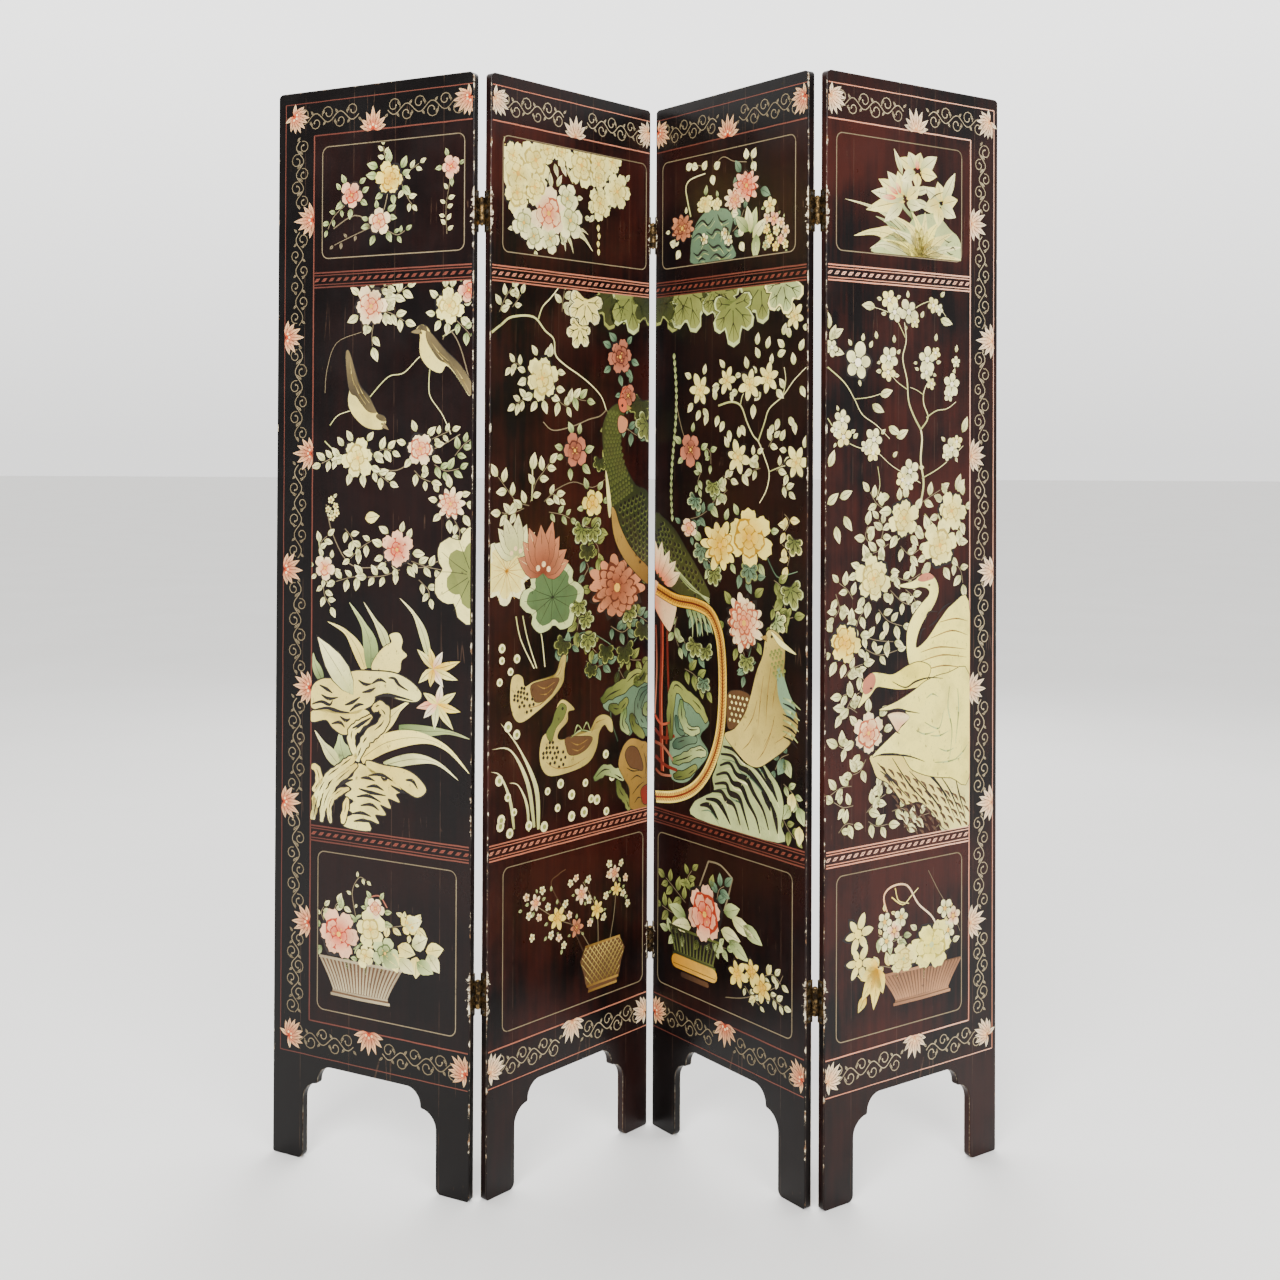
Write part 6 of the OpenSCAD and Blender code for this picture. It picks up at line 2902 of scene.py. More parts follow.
@dataclass(frozen=True)
class ThirdPanel(PanelWork):
    """The third panel: vine over chrysanthemums, the pheasant's tail, a hen and a striped stone."""

    # Little painted sunlight: the lacquer stays dark.
    warmth_and_sunlight: float = 0.35

    def upper_picture(self) -> list[Motif]:
        """The stone with its flowers in the upper cartouche.

        Returns:
            The motifs, in the order in which they are drawn.
        """
        folds = (((112, 1604), (134, 1616), (150, 1606), (166, 1618)),
                 ((176, 1622), (186, 1608), (204, 1610)),
                 ((106, 1586), (124, 1594), (136, 1584), (128, 1572)),
                 ((146, 1596), (160, 1588), (170, 1596), (184, 1592), (182, 1580)),
                 ((110, 1562), (122, 1556), (136, 1564), (150, 1560)),
                 ((150, 1576), (164, 1566), (180, 1568), (190, 1558)),
                 ((196, 1600), (204, 1590), (198, 1574)),
                 ((156, 1546), (172, 1554), (190, 1546), (210, 1556)),
                 ((124, 1544), (132, 1550), (144, 1546)), ((196, 1566), (206, 1562), (214, 1568)))
        return [
            Branch(((102, 1626), (92, 1658), (88, 1680), (102, 1692), (142, 1697)), 3.4, 0.6),
            Branch(((108, 1716), (130, 1712), (142, 1708)), 2.0, 0.6, VINE),
            Branch(((164, 1706), (190, 1719), (218, 1708), (252, 1702)), 1.8, 0.6, VINE),
            Branch(((262, 1660), (272, 1685), (262, 1712)), 2.0, 0.6, VINE),
            *[Leaf(x, z, turn, 19, 15, IVORY, 2, glow=0.4) for x, z, turn in (
                (88, 1712, 20), (104, 1716, -20), (134, 1704, 50), (160, 1692, 285), (166, 1702, 30),
                (252, 1706, 95), (266, 1706, 60), (266, 1700, 300), (250, 1690, 270), (68, 1590, 215),
                (72, 1570, 235), (212, 1620, 350), (236, 1568, 300), (232, 1580, 40), (284, 1560, 200),
                (296, 1562, 330), (60, 1580, 160))],
            Form(((112, 1542), (102, 1562), (106, 1590), (118, 1612), (140, 1628), (170, 1632), (200, 1628),
                  (216, 1612), (212, 1592), (205, 1576), (219, 1560), (216, 1542)), TEAL, 3, (160, 1560),
                 130),
            Veins(folds, 4.6, level=6),
            Veins(tuple(shifted(fold, 3, -6) for fold in folds), 2.6, CELADON, 6),
            *[Flower(x, z, 11, PRUNUS, IVORY, 0) for x, z in ((140, 1582), (196, 1588), (206, 1574))],
            *[Leaf(x, z, turn, 46, 22, paint, 4 + 0.5 * k) for k, (x, z, turn, paint) in enumerate((
                (262, 1580, 70, CELADON), (262, 1582, 100, IVORY), (258, 1584, 140, CELADON),
                (268, 1572, 40, IVORY), (278, 1578, 265, CELADON)))],
            Spray(((216, 1588), (232, 1600), (246, 1622)), 5, 20, TEAL),
            Flower(78, 1608, 36, ASTER, SAND, 3, IVORY, squash=0.74, leaf=14),
            Flower(142, 1644, 25, PEONY, CREAM, 2, CELADON, squash=0.6),
            Flower(174, 1640, 12, ROSE, CREAM, 1, CELADON),
            Flower(222, 1642, 27, ASTER, BLUSH, 2, TEAL, squash=0.8),
            Flower(252, 1662, 36, ASTER, PINK, 3, TEAL, squash=0.8),
            *[Flower(x, z, r, PRUNUS, paint, 1, CELADON, leaf=8) for x, z, r, paint in (
                (312, 1622, 15, CREAM), (304, 1600, 11, BLUSH), (322, 1598, 13, PINK),
                (340, 1590, 10, BLUSH), (304, 1582, 9, YELLOW), (328, 1578, 10, CREAM),
                (350, 1576, 11, BLUSH), (312, 1566, 9, YELLOW), (338, 1562, 9, PINK),
                (300, 1556, 8, CELADON), (326, 1552, 9, YELLOW), (350, 1554, 8, CREAM))],
        ]

    def twigs(self) -> list[Motif]:
        """The twigs, from the top of the field down.

        Returns:
            The motifs, in the order in which they are drawn.
        """
        return [
            Branch(((180, 1292), (215, 1298), (240, 1290), (256, 1262), (272, 1240), (285, 1230),
                    (300, 1205), (312, 1178), (305, 1150), (288, 1128)), 3.4, 0.5),
            Branch(((285, 1232), (300, 1262), (312, 1285), (345, 1305), (372, 1330), (401, 1350)),
                   3.0, 0.4),
            Branch(((345, 1305), (352, 1330), (348, 1352)), 2.0, 0.5),
            Branch(((238, 1292), (245, 1310), (262, 1318)), 2.0, 0.5),
            Branch(((310, 1180), (345, 1190), (372, 1192)), 2.0, 0.5),
            Branch(((62, 1300), (80, 1250), (100, 1218)), 2.0, 0.5, VINE),
            Branch(((300, 1050), (330, 1010), (352, 1012), (382, 1020)), 2.4, 0.5, TEAL),
            Branch(((270, 900), (262, 870), (232, 842)), 2.4, 0.5, TEAL),
        ]

    def blossoms(self) -> list[Motif]:
        """The flowers, buds and leaf sprays of the field.

        Returns:
            The motifs, in the order in which they are drawn.
        """
        buds = ((280, 1392, 80), (287, 1370, 120), (305, 1385, 70), (345, 1405, 70), (332, 1372, 20),
                (385, 1378, 60), (362, 1400, 110), (172, 1302, 100), (350, 1318, 130), (150, 1278, 250),
                (195, 1265, 240), (208, 1250, 280), (335, 1268, 250), (360, 1270, 310), (180, 1275, 250),
                (130, 1285, 240), (372, 1262, 280), (322, 1258, 240), (348, 1385, 140), (388, 1320, 300),
                (240, 1258, 300), (285, 1205, 200), (340, 1232, 60), (372, 1355, 100))
        return [
            *[Bud(x, z, turn, 21, IVORY) for x, z, turn in buds],
            Flower(130, 1320, 31, STAR, CREAM, 5),
            Flower(202, 1335, 24, STAR, CREAM, 4),
            Flower(262, 1326, 31, STAR, CREAM, 4),
            Flower(308, 1336, 27, STAR, CREAM, 4),
            Flower(372, 1434, 24, STAR, CREAM, 2),
            Flower(104, 1216, 28, ROSE, ROSY, 5, CELADON),
            Spray(((142, 1222), (158, 1212), (160, 1192)), 4, 17, CELADON),
            Spray(((135, 1180), (125, 1162), (128, 1150)), 4, 17, CELADON),
            Flower(232, 1204, 31, STAR, CREAM, 5),
            Flower(378, 1196, 29, STAR, CREAM, 4),
            *[Spray(((x, z), (x + dx, z + dz)), 3, 20) for x, z, dx, dz in (
                (195, 1172, 16, -6), (290, 1186, -18, -4), (330, 1182, 16, 12), (262, 1200, 18, 10),
                (345, 1160, 14, -10), (205, 1148, -14, -10), (310, 1222, 12, 14))],
            Spray(((152, 1118), (170, 1128), (180, 1146)), 4, 27, CELADON),
            Spray(((105, 1095), (128, 1100), (150, 1110)), 5, 25, TEAL),
            Flower(100, 1078, 24, ROSE, BLUSH, 3, TEAL, squash=0.7),
            Flower(186, 1052, 50, ASTER, YELLOW, 5, CELADON, squash=0.86),
            Flower(262, 1070, 56, PEONY, YELLOW, 4, CELADON, squash=0.86),
            Spray(((350, 1112), (362, 1100), (352, 1084)), 4, 22, CREAM),
            Spray(((345, 1062), (362, 1048), (358, 1028)), 4, 24, CREAM),
            Spray(((140, 1030), (158, 1022), (172, 1008)), 5, 26, TEAL),
            Spray(((240, 1010), (255, 1000), (280, 1004)), 5, 26, TEAL),
            Spray(((325, 1002), (345, 990), (352, 958)), 6, 28, SAGE),
            Spray(((322, 960), (345, 942), (372, 945)), 5, 24, SAGE),
            Spray(((100, 950), (118, 925), (140, 915)), 6, 26, TEAL),
            Flower(250, 925, 50, POMPON, BLUSH, 6, SAGE),
            Spray(((245, 880), (258, 858), (252, 838)), 4, 24, TEAL),
            Spray(((85, 880), (110, 862), (140, 858)), 6, 26, TEAL),
            Spray(((90, 830), (118, 822), (150, 800)), 6, 27, SAGE),
            Spray(((68, 920), (60, 892), (72, 868)), 5, 25, CELADON),
            Spray(((362, 722), (342, 712), (330, 692)), 5, 21, TEAL),
            Spray(((350, 672), (372, 660), (388, 640)), 6, 22, CELADON),
            Spray(((292, 640), (318, 628), (338, 600)), 6, 24, CELADON),
            Spray(((345, 620), (362, 600), (378, 588)), 5, 22, SAGE),
            *[VineLeaf(x, z, radius, angle, paint, rim, 2) for x, z, radius, angle, paint, rim in (
                (165, 1156, 24, 266, SAGE, CELADON), (118, 1130, 23, 248, TEAL, CELADON),
                (136, 1044, 25, 262, TEAL, CELADON), (170, 1004, 24, 286, SAGE, CELADON),
                (262, 1018, 28, 266, TEAL, SAGE), (374, 1068, 25, 256, SAGE, CREAM),
                (366, 990, 34, 290, SAGE, CELADON), (330, 934, 25, 328, CELADON, CREAM),
                (118, 876, 25, 250, SAGE, CELADON), (148, 870, 22, 290, SAGE, CELADON),
                (142, 814, 22, 270, TEAL, CELADON), (256, 864, 24, 265, SAGE, CELADON))],
        ]

    def creatures(self) -> list[Motif]:
        """The vine, the pheasant's wing and tail, and the hen bird.

        Returns:
            The motifs, in the order in which they are drawn.
        """
        tail = ((0, 968), (60, 950), (120, 946), (160, 934), (184, 900), (193, 850), (194, 790), (188, 735),
                (172, 690), (146, 650), (110, 620), (60, 600), (0, 590))
        return [
            VineLeaf(60, 1492, 66, 262, MOSS, SAGE), VineLeaf(100, 1492, 72, 285, SAGE, CELADON, 3),
            VineLeaf(18, 1492, 56, 255, MOSS, SAGE, 3), VineLeaf(165, 1490, 48, 285, MOSS, SAGE, 4),
            VineLeaf(190, 1488, 64, 262, SAGE, CELADON, 5), VineLeaf(218, 1462, 70, 272, SAGE, CELADON, 7),
            VineLeaf(290, 1490, 74, 275, SAGE, CELADON, 5), VineLeaf(345, 1490, 56, 284, CELADON, CREAM, 7),
            *[Bud(56 + 7 * math.sin(k * 0.24), 1388 - 12 * k, 270, 12, CELADON) for k in range(25)],
            Form(((0, 1096), (30, 1092), (62, 1072), (90, 1044), (120, 1014), (146, 984), (158, 962),
                  (120, 952), (70, 962), (0, 1000)), MOSS, 6, (40, 1050), 140),
            Feathers(((4, 1062), (40, 1040), (86, 1006), (130, 972)), 62, 30, 11.5, OLIVE, 8, True),
            *[Leaf(2 + 7 * k, 996 - 5 * k, 88 - 17 * k, 64 - 3 * k, 25, BLUSH, 12 + k, 0.1)
              for k in range(5)],
            *[Branch(((14 + 18 * k, 1050 - 18 * k), (70 + 12 * k, 1002 - 10 * k), (158, 950 + 3 * k)), 2.2,
                     0.5, CELADON, 11) for k in range(4)],
            Form(((0, 980), (36, 962), (66, 944), (52, 898), (38, 896), (0, 936)), BLUSH, 7, (0, 940), 80),
            *[Strap(((96 + 12 * k, 944), (110 + 12 * k, 918), (112 + 14 * k, 886 + 3 * k)), 8, CELADON, 6,
                    False) for k in range(5)],
            Ribbon(tail, 21, GOLD, 10),
            Form(((306, 912), (318, 920), (334, 916), (350, 902), (352, 878), (350, 852), (360, 822),
                  (376, 800), (384, 776), (376, 752), (352, 728), (322, 708), (290, 690), (262, 690),
                  (232, 706), (200, 730), (226, 744), (252, 772), (268, 806), (282, 846), (298, 876)), BUFF,
                 8, (380, 830), 140),
            Form(((318, 918), (346, 904), (380, 886), (350, 892), (334, 900)), CREAM, 9, rim=0.8),
            Form(((306, 910), (292, 906), (308, 900)), OCHRE, 10, smooth=1),
            Form(((320, 912), (323, 909), (320, 906), (317, 909)), INK, 12, rim=0),
            Form(((334, 862), (348, 850), (362, 822), (378, 798), (372, 780), (352, 790), (336, 816)), TEAL,
                 9, rim=0),
            Feathers(((328, 890), (334, 868), (340, 846)), 28, 26, 7.5, SAGE, 11),
            Veins((((318, 858), (310, 812), (306, 760)), ((300, 842), (292, 800), (286, 752)),
                   ((284, 800), (272, 768), (250, 742)), ((328, 780), (318, 750), (300, 722)),
                   ((330, 736), (350, 748), (368, 766)), ((276, 742), (262, 724), (246, 712)),
                   ((316, 742), (300, 716), (284, 700)), ((334, 842), (326, 812), (322, 790))), 2.0, OCHRE,
                  11),
            *[Veins((((348, 812 - 9 * k), (368, 808 - 9 * k), (390 - k, 798 - 9 * k)),), 4.6, paint, 11)
              for k in range(8) for paint in ((INK,) if k % 2 else (CELADON,))],
            Form(((206, 798), (232, 810), (264, 806), (268, 786), (250, 762), (218, 742), (206, 752)),
                 BROWN, 7),
            *[Form(((x, z + 3), (x + 3, z), (x, z - 3), (x - 3, z)), CREAM, 8, rim=0)
              for row in range(5) for x, z in [(214 + 11 * k + 5 * (row % 2), 798 - 10 * row)
                                               for k in range(5 - row // 2)]],
        ]

    def bank(self) -> list[Motif]:
        """The red trunk and the striped garden stones.

        Returns:
            The motifs, in the order in which they are drawn.
        """
        green = ((((50, 700), (50, 750), (62, 794), (94, 784), (130, 768), (152, 746)), 22, SAGE),
                 (((80, 774), (84, 744), (102, 724), (132, 728)), 18, CELADON),
                 (((58, 690), (90, 702), (124, 712)), 16, TEAL),
                 (((56, 662), (92, 674), (130, 690), (150, 690)), 18, CELADON),
                 (((60, 636), (94, 646), (124, 664)), 15, SAGE),
                 (((66, 744), (72, 720), (90, 716)), 10, TEAL))
        cuts = (((196, 710), (226, 708), (250, 696), (284, 686), (322, 654)),
                ((190, 696), (222, 697), (240, 682), (262, 678), (286, 664), (312, 642), (328, 616)),
                ((188, 676), (214, 684), (232, 668), (258, 664), (276, 644), (300, 620), (314, 590)),
                ((178, 658), (206, 666), (222, 652), (244, 650), (262, 626), (282, 604), (292, 580)),
                ((174, 642), (204, 648), (214, 634), (238, 630), (250, 610), (264, 580)),
                ((168, 628), (192, 632), (206, 620), (226, 614), (242, 584)),
                ((150, 612), (180, 614), (200, 600), (216, 580)), ((134, 598), (160, 602), (184, 582)),
                ((300, 682), (318, 666), (336, 640)), ((318, 638), (330, 614), (336, 588)),
                ((262, 700), (290, 694), (312, 676)), ((296, 650), (310, 636), (318, 622)))
        return [
            *[Branch(points, width, 0.8, paint, level) for points, width, paint, level in (
                (((20, 960), (24, 860), (20, 760), (26, 640)), 9, MAROON, 2),
                (((24, 960), (27, 860), (24, 760), (30, 640)), 3.5, CORAL, 3),
                (((40, 950), (40, 860), (44, 770), (38, 690)), 6, MAROON, 2),
                (((6, 900), (9, 820), (4, 740)), 4, ROSY, 3),
                (((0, 716), (28, 700), (62, 708)), 7, MAROON, 4),
                (((0, 690), (30, 684), (58, 664)), 6, ROSY, 5),
                (((6, 664), (34, 652), (70, 648)), 7, MAROON, 4),
                (((0, 646), (22, 634), (54, 636)), 5, ROSY, 5),
                (((2, 740), (22, 724), (50, 730)), 5, CORAL, 5))],
            Form(((48, 696), (46, 760), (62, 800), (98, 788), (134, 770), (158, 744), (134, 718), (156, 692),
                  (128, 660), (96, 632), (56, 630), (46, 660)), TEAL, 2, (100, 720), 80),
            *[Tongue(points, width, paint, 4, 1.7) for points, width, paint in green],
            Form(((184, 722), (206, 730), (232, 726), (264, 714), (292, 702), (318, 684), (340, 664),
                  (350, 636), (344, 604), (338, 574), (126, 574), (116, 598), (146, 616), (172, 630),
                  (168, 652), (180, 676), (180, 702)), CELADON, 4, (250, 650), 120, 2.0),
            Veins(cuts, 11.5, level=7),
            *[Veins(tuple(shifted(cut, 4, -9) for cut in cuts[k::3]), 3.4, paint, 6)
              for k, paint in enumerate((IVORY, TEAL, IVORY))],
            *[Leaf(x, z, turn, 32, 22, paint, 3) for x, z, turn, paint in (
                (352, 712, 300, CELADON), (352, 712, 240, TEAL), (372, 660, 260, CREAM),
                (384, 640, 300, CELADON), (366, 640, 235, CELADON), (388, 610, 270, CREAM))],
        ]

    def lower_picture(self) -> list[Motif]:
        """The dark basket with its gold foot, and a yellow spray beside it.

        Returns:
            The motifs, in the order in which they are drawn.
        """
        return [
            Basket(118, 322, 372, 58, 70, 12, OLIVE, INK, 0.3),
            Rod(56, 182, 312, 24, GOLD),
            Rod(82, 160, 292, 9, BROWN),
            *[Branch(points, 3.2, 1.0, VINE) for points in (
                ((96, 376), (128, 446), (158, 506)), ((158, 506), (190, 506), (222, 490)),
                ((222, 490), (212, 460), (200, 430)))],
            Spray(((95, 420), (60, 440), (38, 452)), 7, 26, SAGE),
            Spray(((90, 392), (52, 395), (28, 400)), 6, 24, SAGE),
            Spray(((100, 370), (70, 358), (48, 360)), 6, 24, CELADON),
            Spray(((110, 440), (100, 462), (112, 480)), 5, 22, SAGE),
            Spray(((180, 440), (186, 462), (200, 472)), 5, 26, TEAL),
            *[Leaf(x, z, turn, length, 26, paint, 3) for x, z, turn, length, paint in (
                (200, 428, 20, 44, CELADON), (220, 424, 340, 62, IVORY), (250, 418, 336, 54, CELADON),
                (192, 396, 352, 52, IVORY), (212, 384, 336, 58, CELADON), (112, 384, 190, 56, IVORY),
                (96, 396, 168, 50, CELADON), (168, 372, 340, 34, CELADON))],
            Spray(((150, 370), (180, 366), (205, 368)), 6, 24, CELADON),
            Flower(148, 412, 50, PEONY, PINK, 6, SAGE, squash=1.1),
            Branch(((205, 285), (260, 300), (330, 335), (350, 360)), 1.6, 0.6, VINE),
            Flower(236, 333, 26, STAR, YELLOW, 1, CREAM),
            Flower(272, 346, 24, STAR, YELLOW, 1, CREAM),
            Flower(298, 326, 26, STAR, YELLOW, 2, CREAM),
            Spray(((300, 345), (325, 355), (345, 345)), 6, 17),
            Spray(((308, 325), (330, 315), (350, 310)), 6, 17),
            Spray(((255, 318), (272, 305), (292, 296)), 5, 15),
        ]


@dataclass(frozen=True)
class FourthPanel(PanelWork):
    """The fourth panel: plum blossom and peonies over two cranes on a bank."""

    field_right: float = 335.0
    upper: Point = (21.0, 313.0)
    lower: Point = (26.0, 317.0)
    outer: Point = (0.0, 394.0)
    scroll_ends: Point = (18.0, 368.0)
    corners: Point = (8.0, 382.0)
    # Most painted sunlight: the lacquer turns red-brown as if sunlit.
    warmth_and_sunlight: float = 1.1
    flower_paint: Paint = APRICOT
    # Painted sunlight: the border lines in a fully lit copy of their brick red.
    line_paint: Paint = SUNLIT_SHELL
    scroll_paint: Paint = THREAD

    def upper_picture(self) -> list[Motif]:
        """The iris in the upper cartouche.

        Returns:
            The motifs, in the order in which they are drawn.
        """
        iris = ((170, 1676, 112, 46, 12, IVORY), (196, 1688, 150, 36, 24, CREAM),
                (200, 1690, 118, 30, 26, IVORY), (206, 1690, 74, 28, 26, CREAM),
                (212, 1688, 30, 48, 26, IVORY), (212, 1684, 352, 40, 24, CREAM),
                (200, 1684, 206, 38, 22, IVORY), (206, 1682, 262, 26, 20, CREAM),
                (206, 1688, 96, 18, 10, PINK))
        lily = ((176, 1632, 190, 92, 26, CREAM), (174, 1636, 172, 76, 26, IVORY),
                (172, 1640, 154, 62, 26, CREAM), (172, 1642, 132, 52, 26, IVORY),
                (174, 1642, 108, 42, 26, CREAM), (178, 1640, 76, 38, 26, IVORY),
                (180, 1636, 34, 40, 24, CREAM), (180, 1630, 350, 38, 20, IVORY),
                (172, 1628, 214, 56, 22, IVORY), (156, 1636, 178, 34, 10, PINK),
                (160, 1642, 150, 28, 9, PINK), (166, 1644, 118, 22, 9, PINK))
        spear = ((262, 1640, 150, 44, 26, IVORY), (258, 1636, 196, 40, 26, CREAM),
                 (264, 1640, 104, 34, 26, CREAM), (266, 1640, 56, 60, 22, IVORY),
                 (266, 1636, 12, 38, 24, CREAM), (262, 1632, 332, 40, 26, IVORY),
                 (258, 1630, 262, 34, 26, CREAM))
        return [
            Form(((112, 1540), (118, 1562), (150, 1578), (178, 1588), (200, 1608), (232, 1616), (262, 1610),
                  (284, 1594), (304, 1582), (314, 1562), (314, 1540)), CELADON, 2, (220, 1540), 90, rim=0),
            Strap(((182, 1580), (140, 1606), (92, 1618), (40, 1624)), 14, IVORY, 1),
            Strap(((176, 1566), (140, 1592), (108, 1602)), 13, CELADON, 2),
            Strap(((200, 1548), (150, 1572), (106, 1576), (60, 1566)), 34, CREAM, 2),
            Strap(((190, 1542), (150, 1554), (120, 1556), (96, 1548)), 22, IVORY, 3),
            *[Branch(points, 7, 0.8, CELADON, 1) for points in (
                ((196, 1600), (188, 1640), (184, 1680)), ((206, 1600), (176, 1620), (168, 1634)),
                ((212, 1600), (240, 1616), (260, 1634)))],
            *[Leaf(x, z, turn, 42, 15, IVORY, 2) for x, z, turn in ((198, 1648, 18), (196, 1634, 352))],
            *[Strap(((210, 1540), (x1, z1), (x2, z2)), 26, paint, 3) for x1, z1, x2, z2, paint in (
                (196, 1584, 150, 1606, CREAM), (208, 1590, 192, 1616, STRAW), (222, 1590, 224, 1618, CREAM),
                (240, 1586, 262, 1606, STRAW), (258, 1572, 292, 1588, CREAM), (262, 1556, 314, 1566, IVORY),
                (190, 1570, 140, 1584, IVORY), (250, 1546, 314, 1544, CREAM),
                (176, 1556, 120, 1566, STRAW))],
            *[Leaf(*petal, 6 + 0.4 * k, 0.06)
              for group in (spear, lily, iris) for k, petal in enumerate(group)],
            Veins((((236, 1640), (250, 1650), (268, 1656)), ((270, 1576), (280, 1572), (288, 1574)),
                   ((284, 1560), (292, 1564), (298, 1558)), ((276, 1556), (284, 1552), (292, 1552))), 2.4,
                  level=9),
        ]

    def twigs(self) -> list[Motif]:
        """The plum tree's trunk and its twigs.

        Returns:
            The motifs, in the order in which they are drawn.
        """
        return [
            Branch(((212, 1120), (222, 1160), (215, 1200), (218, 1235), (215, 1252)), 4.3, 0.8),
            Branch(((215, 1252), (198, 1275), (186, 1300), (182, 1335), (172, 1370), (180, 1400),
                    (176, 1430)), 3.7, 0.4),
            Branch(((215, 1252), (232, 1272), (222, 1295), (222, 1315), (232, 1332)), 3.0, 0.5),
            Branch(((228, 1272), (252, 1284), (278, 1288), (300, 1300)), 2.2, 0.5),
            Branch(((184, 1318), (160, 1330), (148, 1340)), 1.7, 0.5),
            Branch(((222, 1310), (205, 1318), (190, 1322)), 1.4, 0.5),
            Branch(((178, 1405), (150, 1440), (105, 1452)), 1.7, 0.4),
            Branch(((180, 1440), (210, 1460), (245, 1468), (275, 1445)), 1.7, 0.4),
            Branch(((3, 1350), (40, 1326), (62, 1300), (80, 1275), (112, 1258), (142, 1236)), 2.3, 0.4),
            Branch(((62, 1300), (98, 1304), (128, 1312)), 1.7, 0.5),
            Branch(((3, 1268), (32, 1238), (68, 1222), (110, 1215), (150, 1190), (215, 1162)), 1.7, 0.5),
            Branch(((218, 1170), (255, 1185), (290, 1205), (318, 1225)), 2.0, 0.4),
            Branch(((205, 1120), (190, 1090), (150, 1060)), 1.9, 0.6),
            Branch(((225, 1110), (262, 1080), (312, 1060)), 1.9, 0.6),
            Branch(((115, 1190), (120, 1160), (112, 1135)), 1.3, 0.5),
        ]

    def blossoms(self) -> list[Motif]:
        """The plum blossom, peonies and leaf sprays of the field.

        Returns:
            The motifs, in the order in which they are drawn.
        """
        plum = ((140, 1466, 18), (153, 1446, 18), (186, 1448, 22), (200, 1432, 11), (70, 1360, 32),
                (140, 1370, 21), (138, 1346, 17), (230, 1370, 22), (228, 1348, 17), (250, 1382, 11),
                (290, 1330, 20), (282, 1312, 12), (244, 1462, 15), (258, 1456, 10), (35, 1266, 18),
                (38, 1238, 18), (22, 1250, 12), (106, 1235, 20), (104, 1212, 15), (88, 1222, 12),
                (190, 1182, 21), (172, 1168, 15), (186, 1162, 13), (290, 1220, 20), (302, 1232, 13),
                (278, 1210, 12), (300, 1368, 11), (240, 1330, 11), (12, 1382, 15))
        return [
            *[Flower(x, z, r, PRUNUS, IVORY if k % 3 else CREAM, 2 if r > 15 else 0, IVORY, APRICOT, leaf=11)
              for k, (x, z, r) in enumerate(plum)],
            *[Leaf(x, z, turn, 30, 15, IVORY, bend=0.1) for x, z, turn in (
                (120, 1308, 10), (102, 1292, 330), (140, 1256, 330), (158, 1238, 20), (8, 1392, 60),
                (10, 1400, 20), (10, 1380, 340), (6, 1412, 95), (3, 1130, 30), (30, 1140, 15),
                (40, 1110, 300), (22, 1094, 280), (6, 1190, 60), (262, 1440, 340), (108, 1452, 170),
                (300, 1150, 60), (318, 1140, 100), (316, 1248, 60), (142, 1140, 180))],
            *[Bud(x, z, turn, 13, IVORY) for x, z, turn in (
                (112, 1400, 100), (80, 1395, 80), (96, 1385, 60), (152, 1395, 90), (250, 1402, 80),
                (215, 1440, 60), (262, 1478, 40), (300, 1385, 80), (60, 1236, 40), (150, 1206, 40))],
            Flower(176, 1104, 34, PEONY, CREAM, 8),
            Flower(290, 1114, 34, PEONY, CREAM, 8),
            Flower(262, 1056, 40, PEONY, CREAM, 9),
            Flower(106, 1006, 38, PEONY, CREAM, 9),
            Flower(42, 905, 34, PEONY, YELLOW, 8),
            *[Spray(points, leaves, 23) for points, leaves in (
                (((130, 1120), (112, 1130), (98, 1148)), 4), (((215, 1128), (240, 1140), (262, 1150)), 4),
                (((140, 1062), (120, 1052), (105, 1048)), 4), (((168, 1058), (190, 1042), (210, 1050)), 5),
                (((150, 1010), (185, 1000), (215, 1010)), 5), (((292, 1030), (312, 1012), (318, 990)), 4),
                (((145, 985), (172, 965), (195, 958)), 5), (((92, 960), (75, 945), (68, 930)), 4),
                (((22, 985), (30, 962), (20, 948)), 4), (((118, 955), (140, 935), (172, 925)), 6),
                (((80, 915), (112, 905), (152, 900)), 6), (((88, 892), (120, 880), (160, 885)), 5),
                (((58, 872), (72, 855), (85, 842)), 4), (((60, 975), (48, 990), (30, 1002)), 4),
                (((180, 985), (198, 972), (208, 955)), 4), (((100, 1062), (88, 1075), (92, 1092)), 4),
                (((42, 850), (58, 862), (82, 868)), 4), (((122, 1068), (128, 1088), (118, 1102)), 4),
                (((48, 800), (60, 815), (75, 822)), 4), (((60, 815), (48, 822), (38, 820)), 3))],
            Flower(96, 754, 34, PEONY, BLUSH, 7),
            *[Spray(points, leaves, 25) for points, leaves in (
                (((70, 790), (50, 800), (38, 790)), 4), (((60, 745), (42, 735), (30, 740)), 4),
                (((90, 712), (78, 695), (62, 690)), 4), (((58, 672), (35, 672), (10, 662)), 4),
                (((62, 640), (40, 640), (20, 650)), 4), (((120, 690), (130, 672), (122, 650)), 4),
                (((92, 625), (112, 640), (135, 650)), 5), (((96, 610), (115, 600), (140, 600)), 4),
                (((178, 590), (205, 602), (240, 606)), 5), (((255, 580), (275, 592), (298, 600)), 4),
                (((30, 600), (45, 612), (62, 610)), 4), (((150, 620), (172, 622), (190, 612)), 4))],
        ]

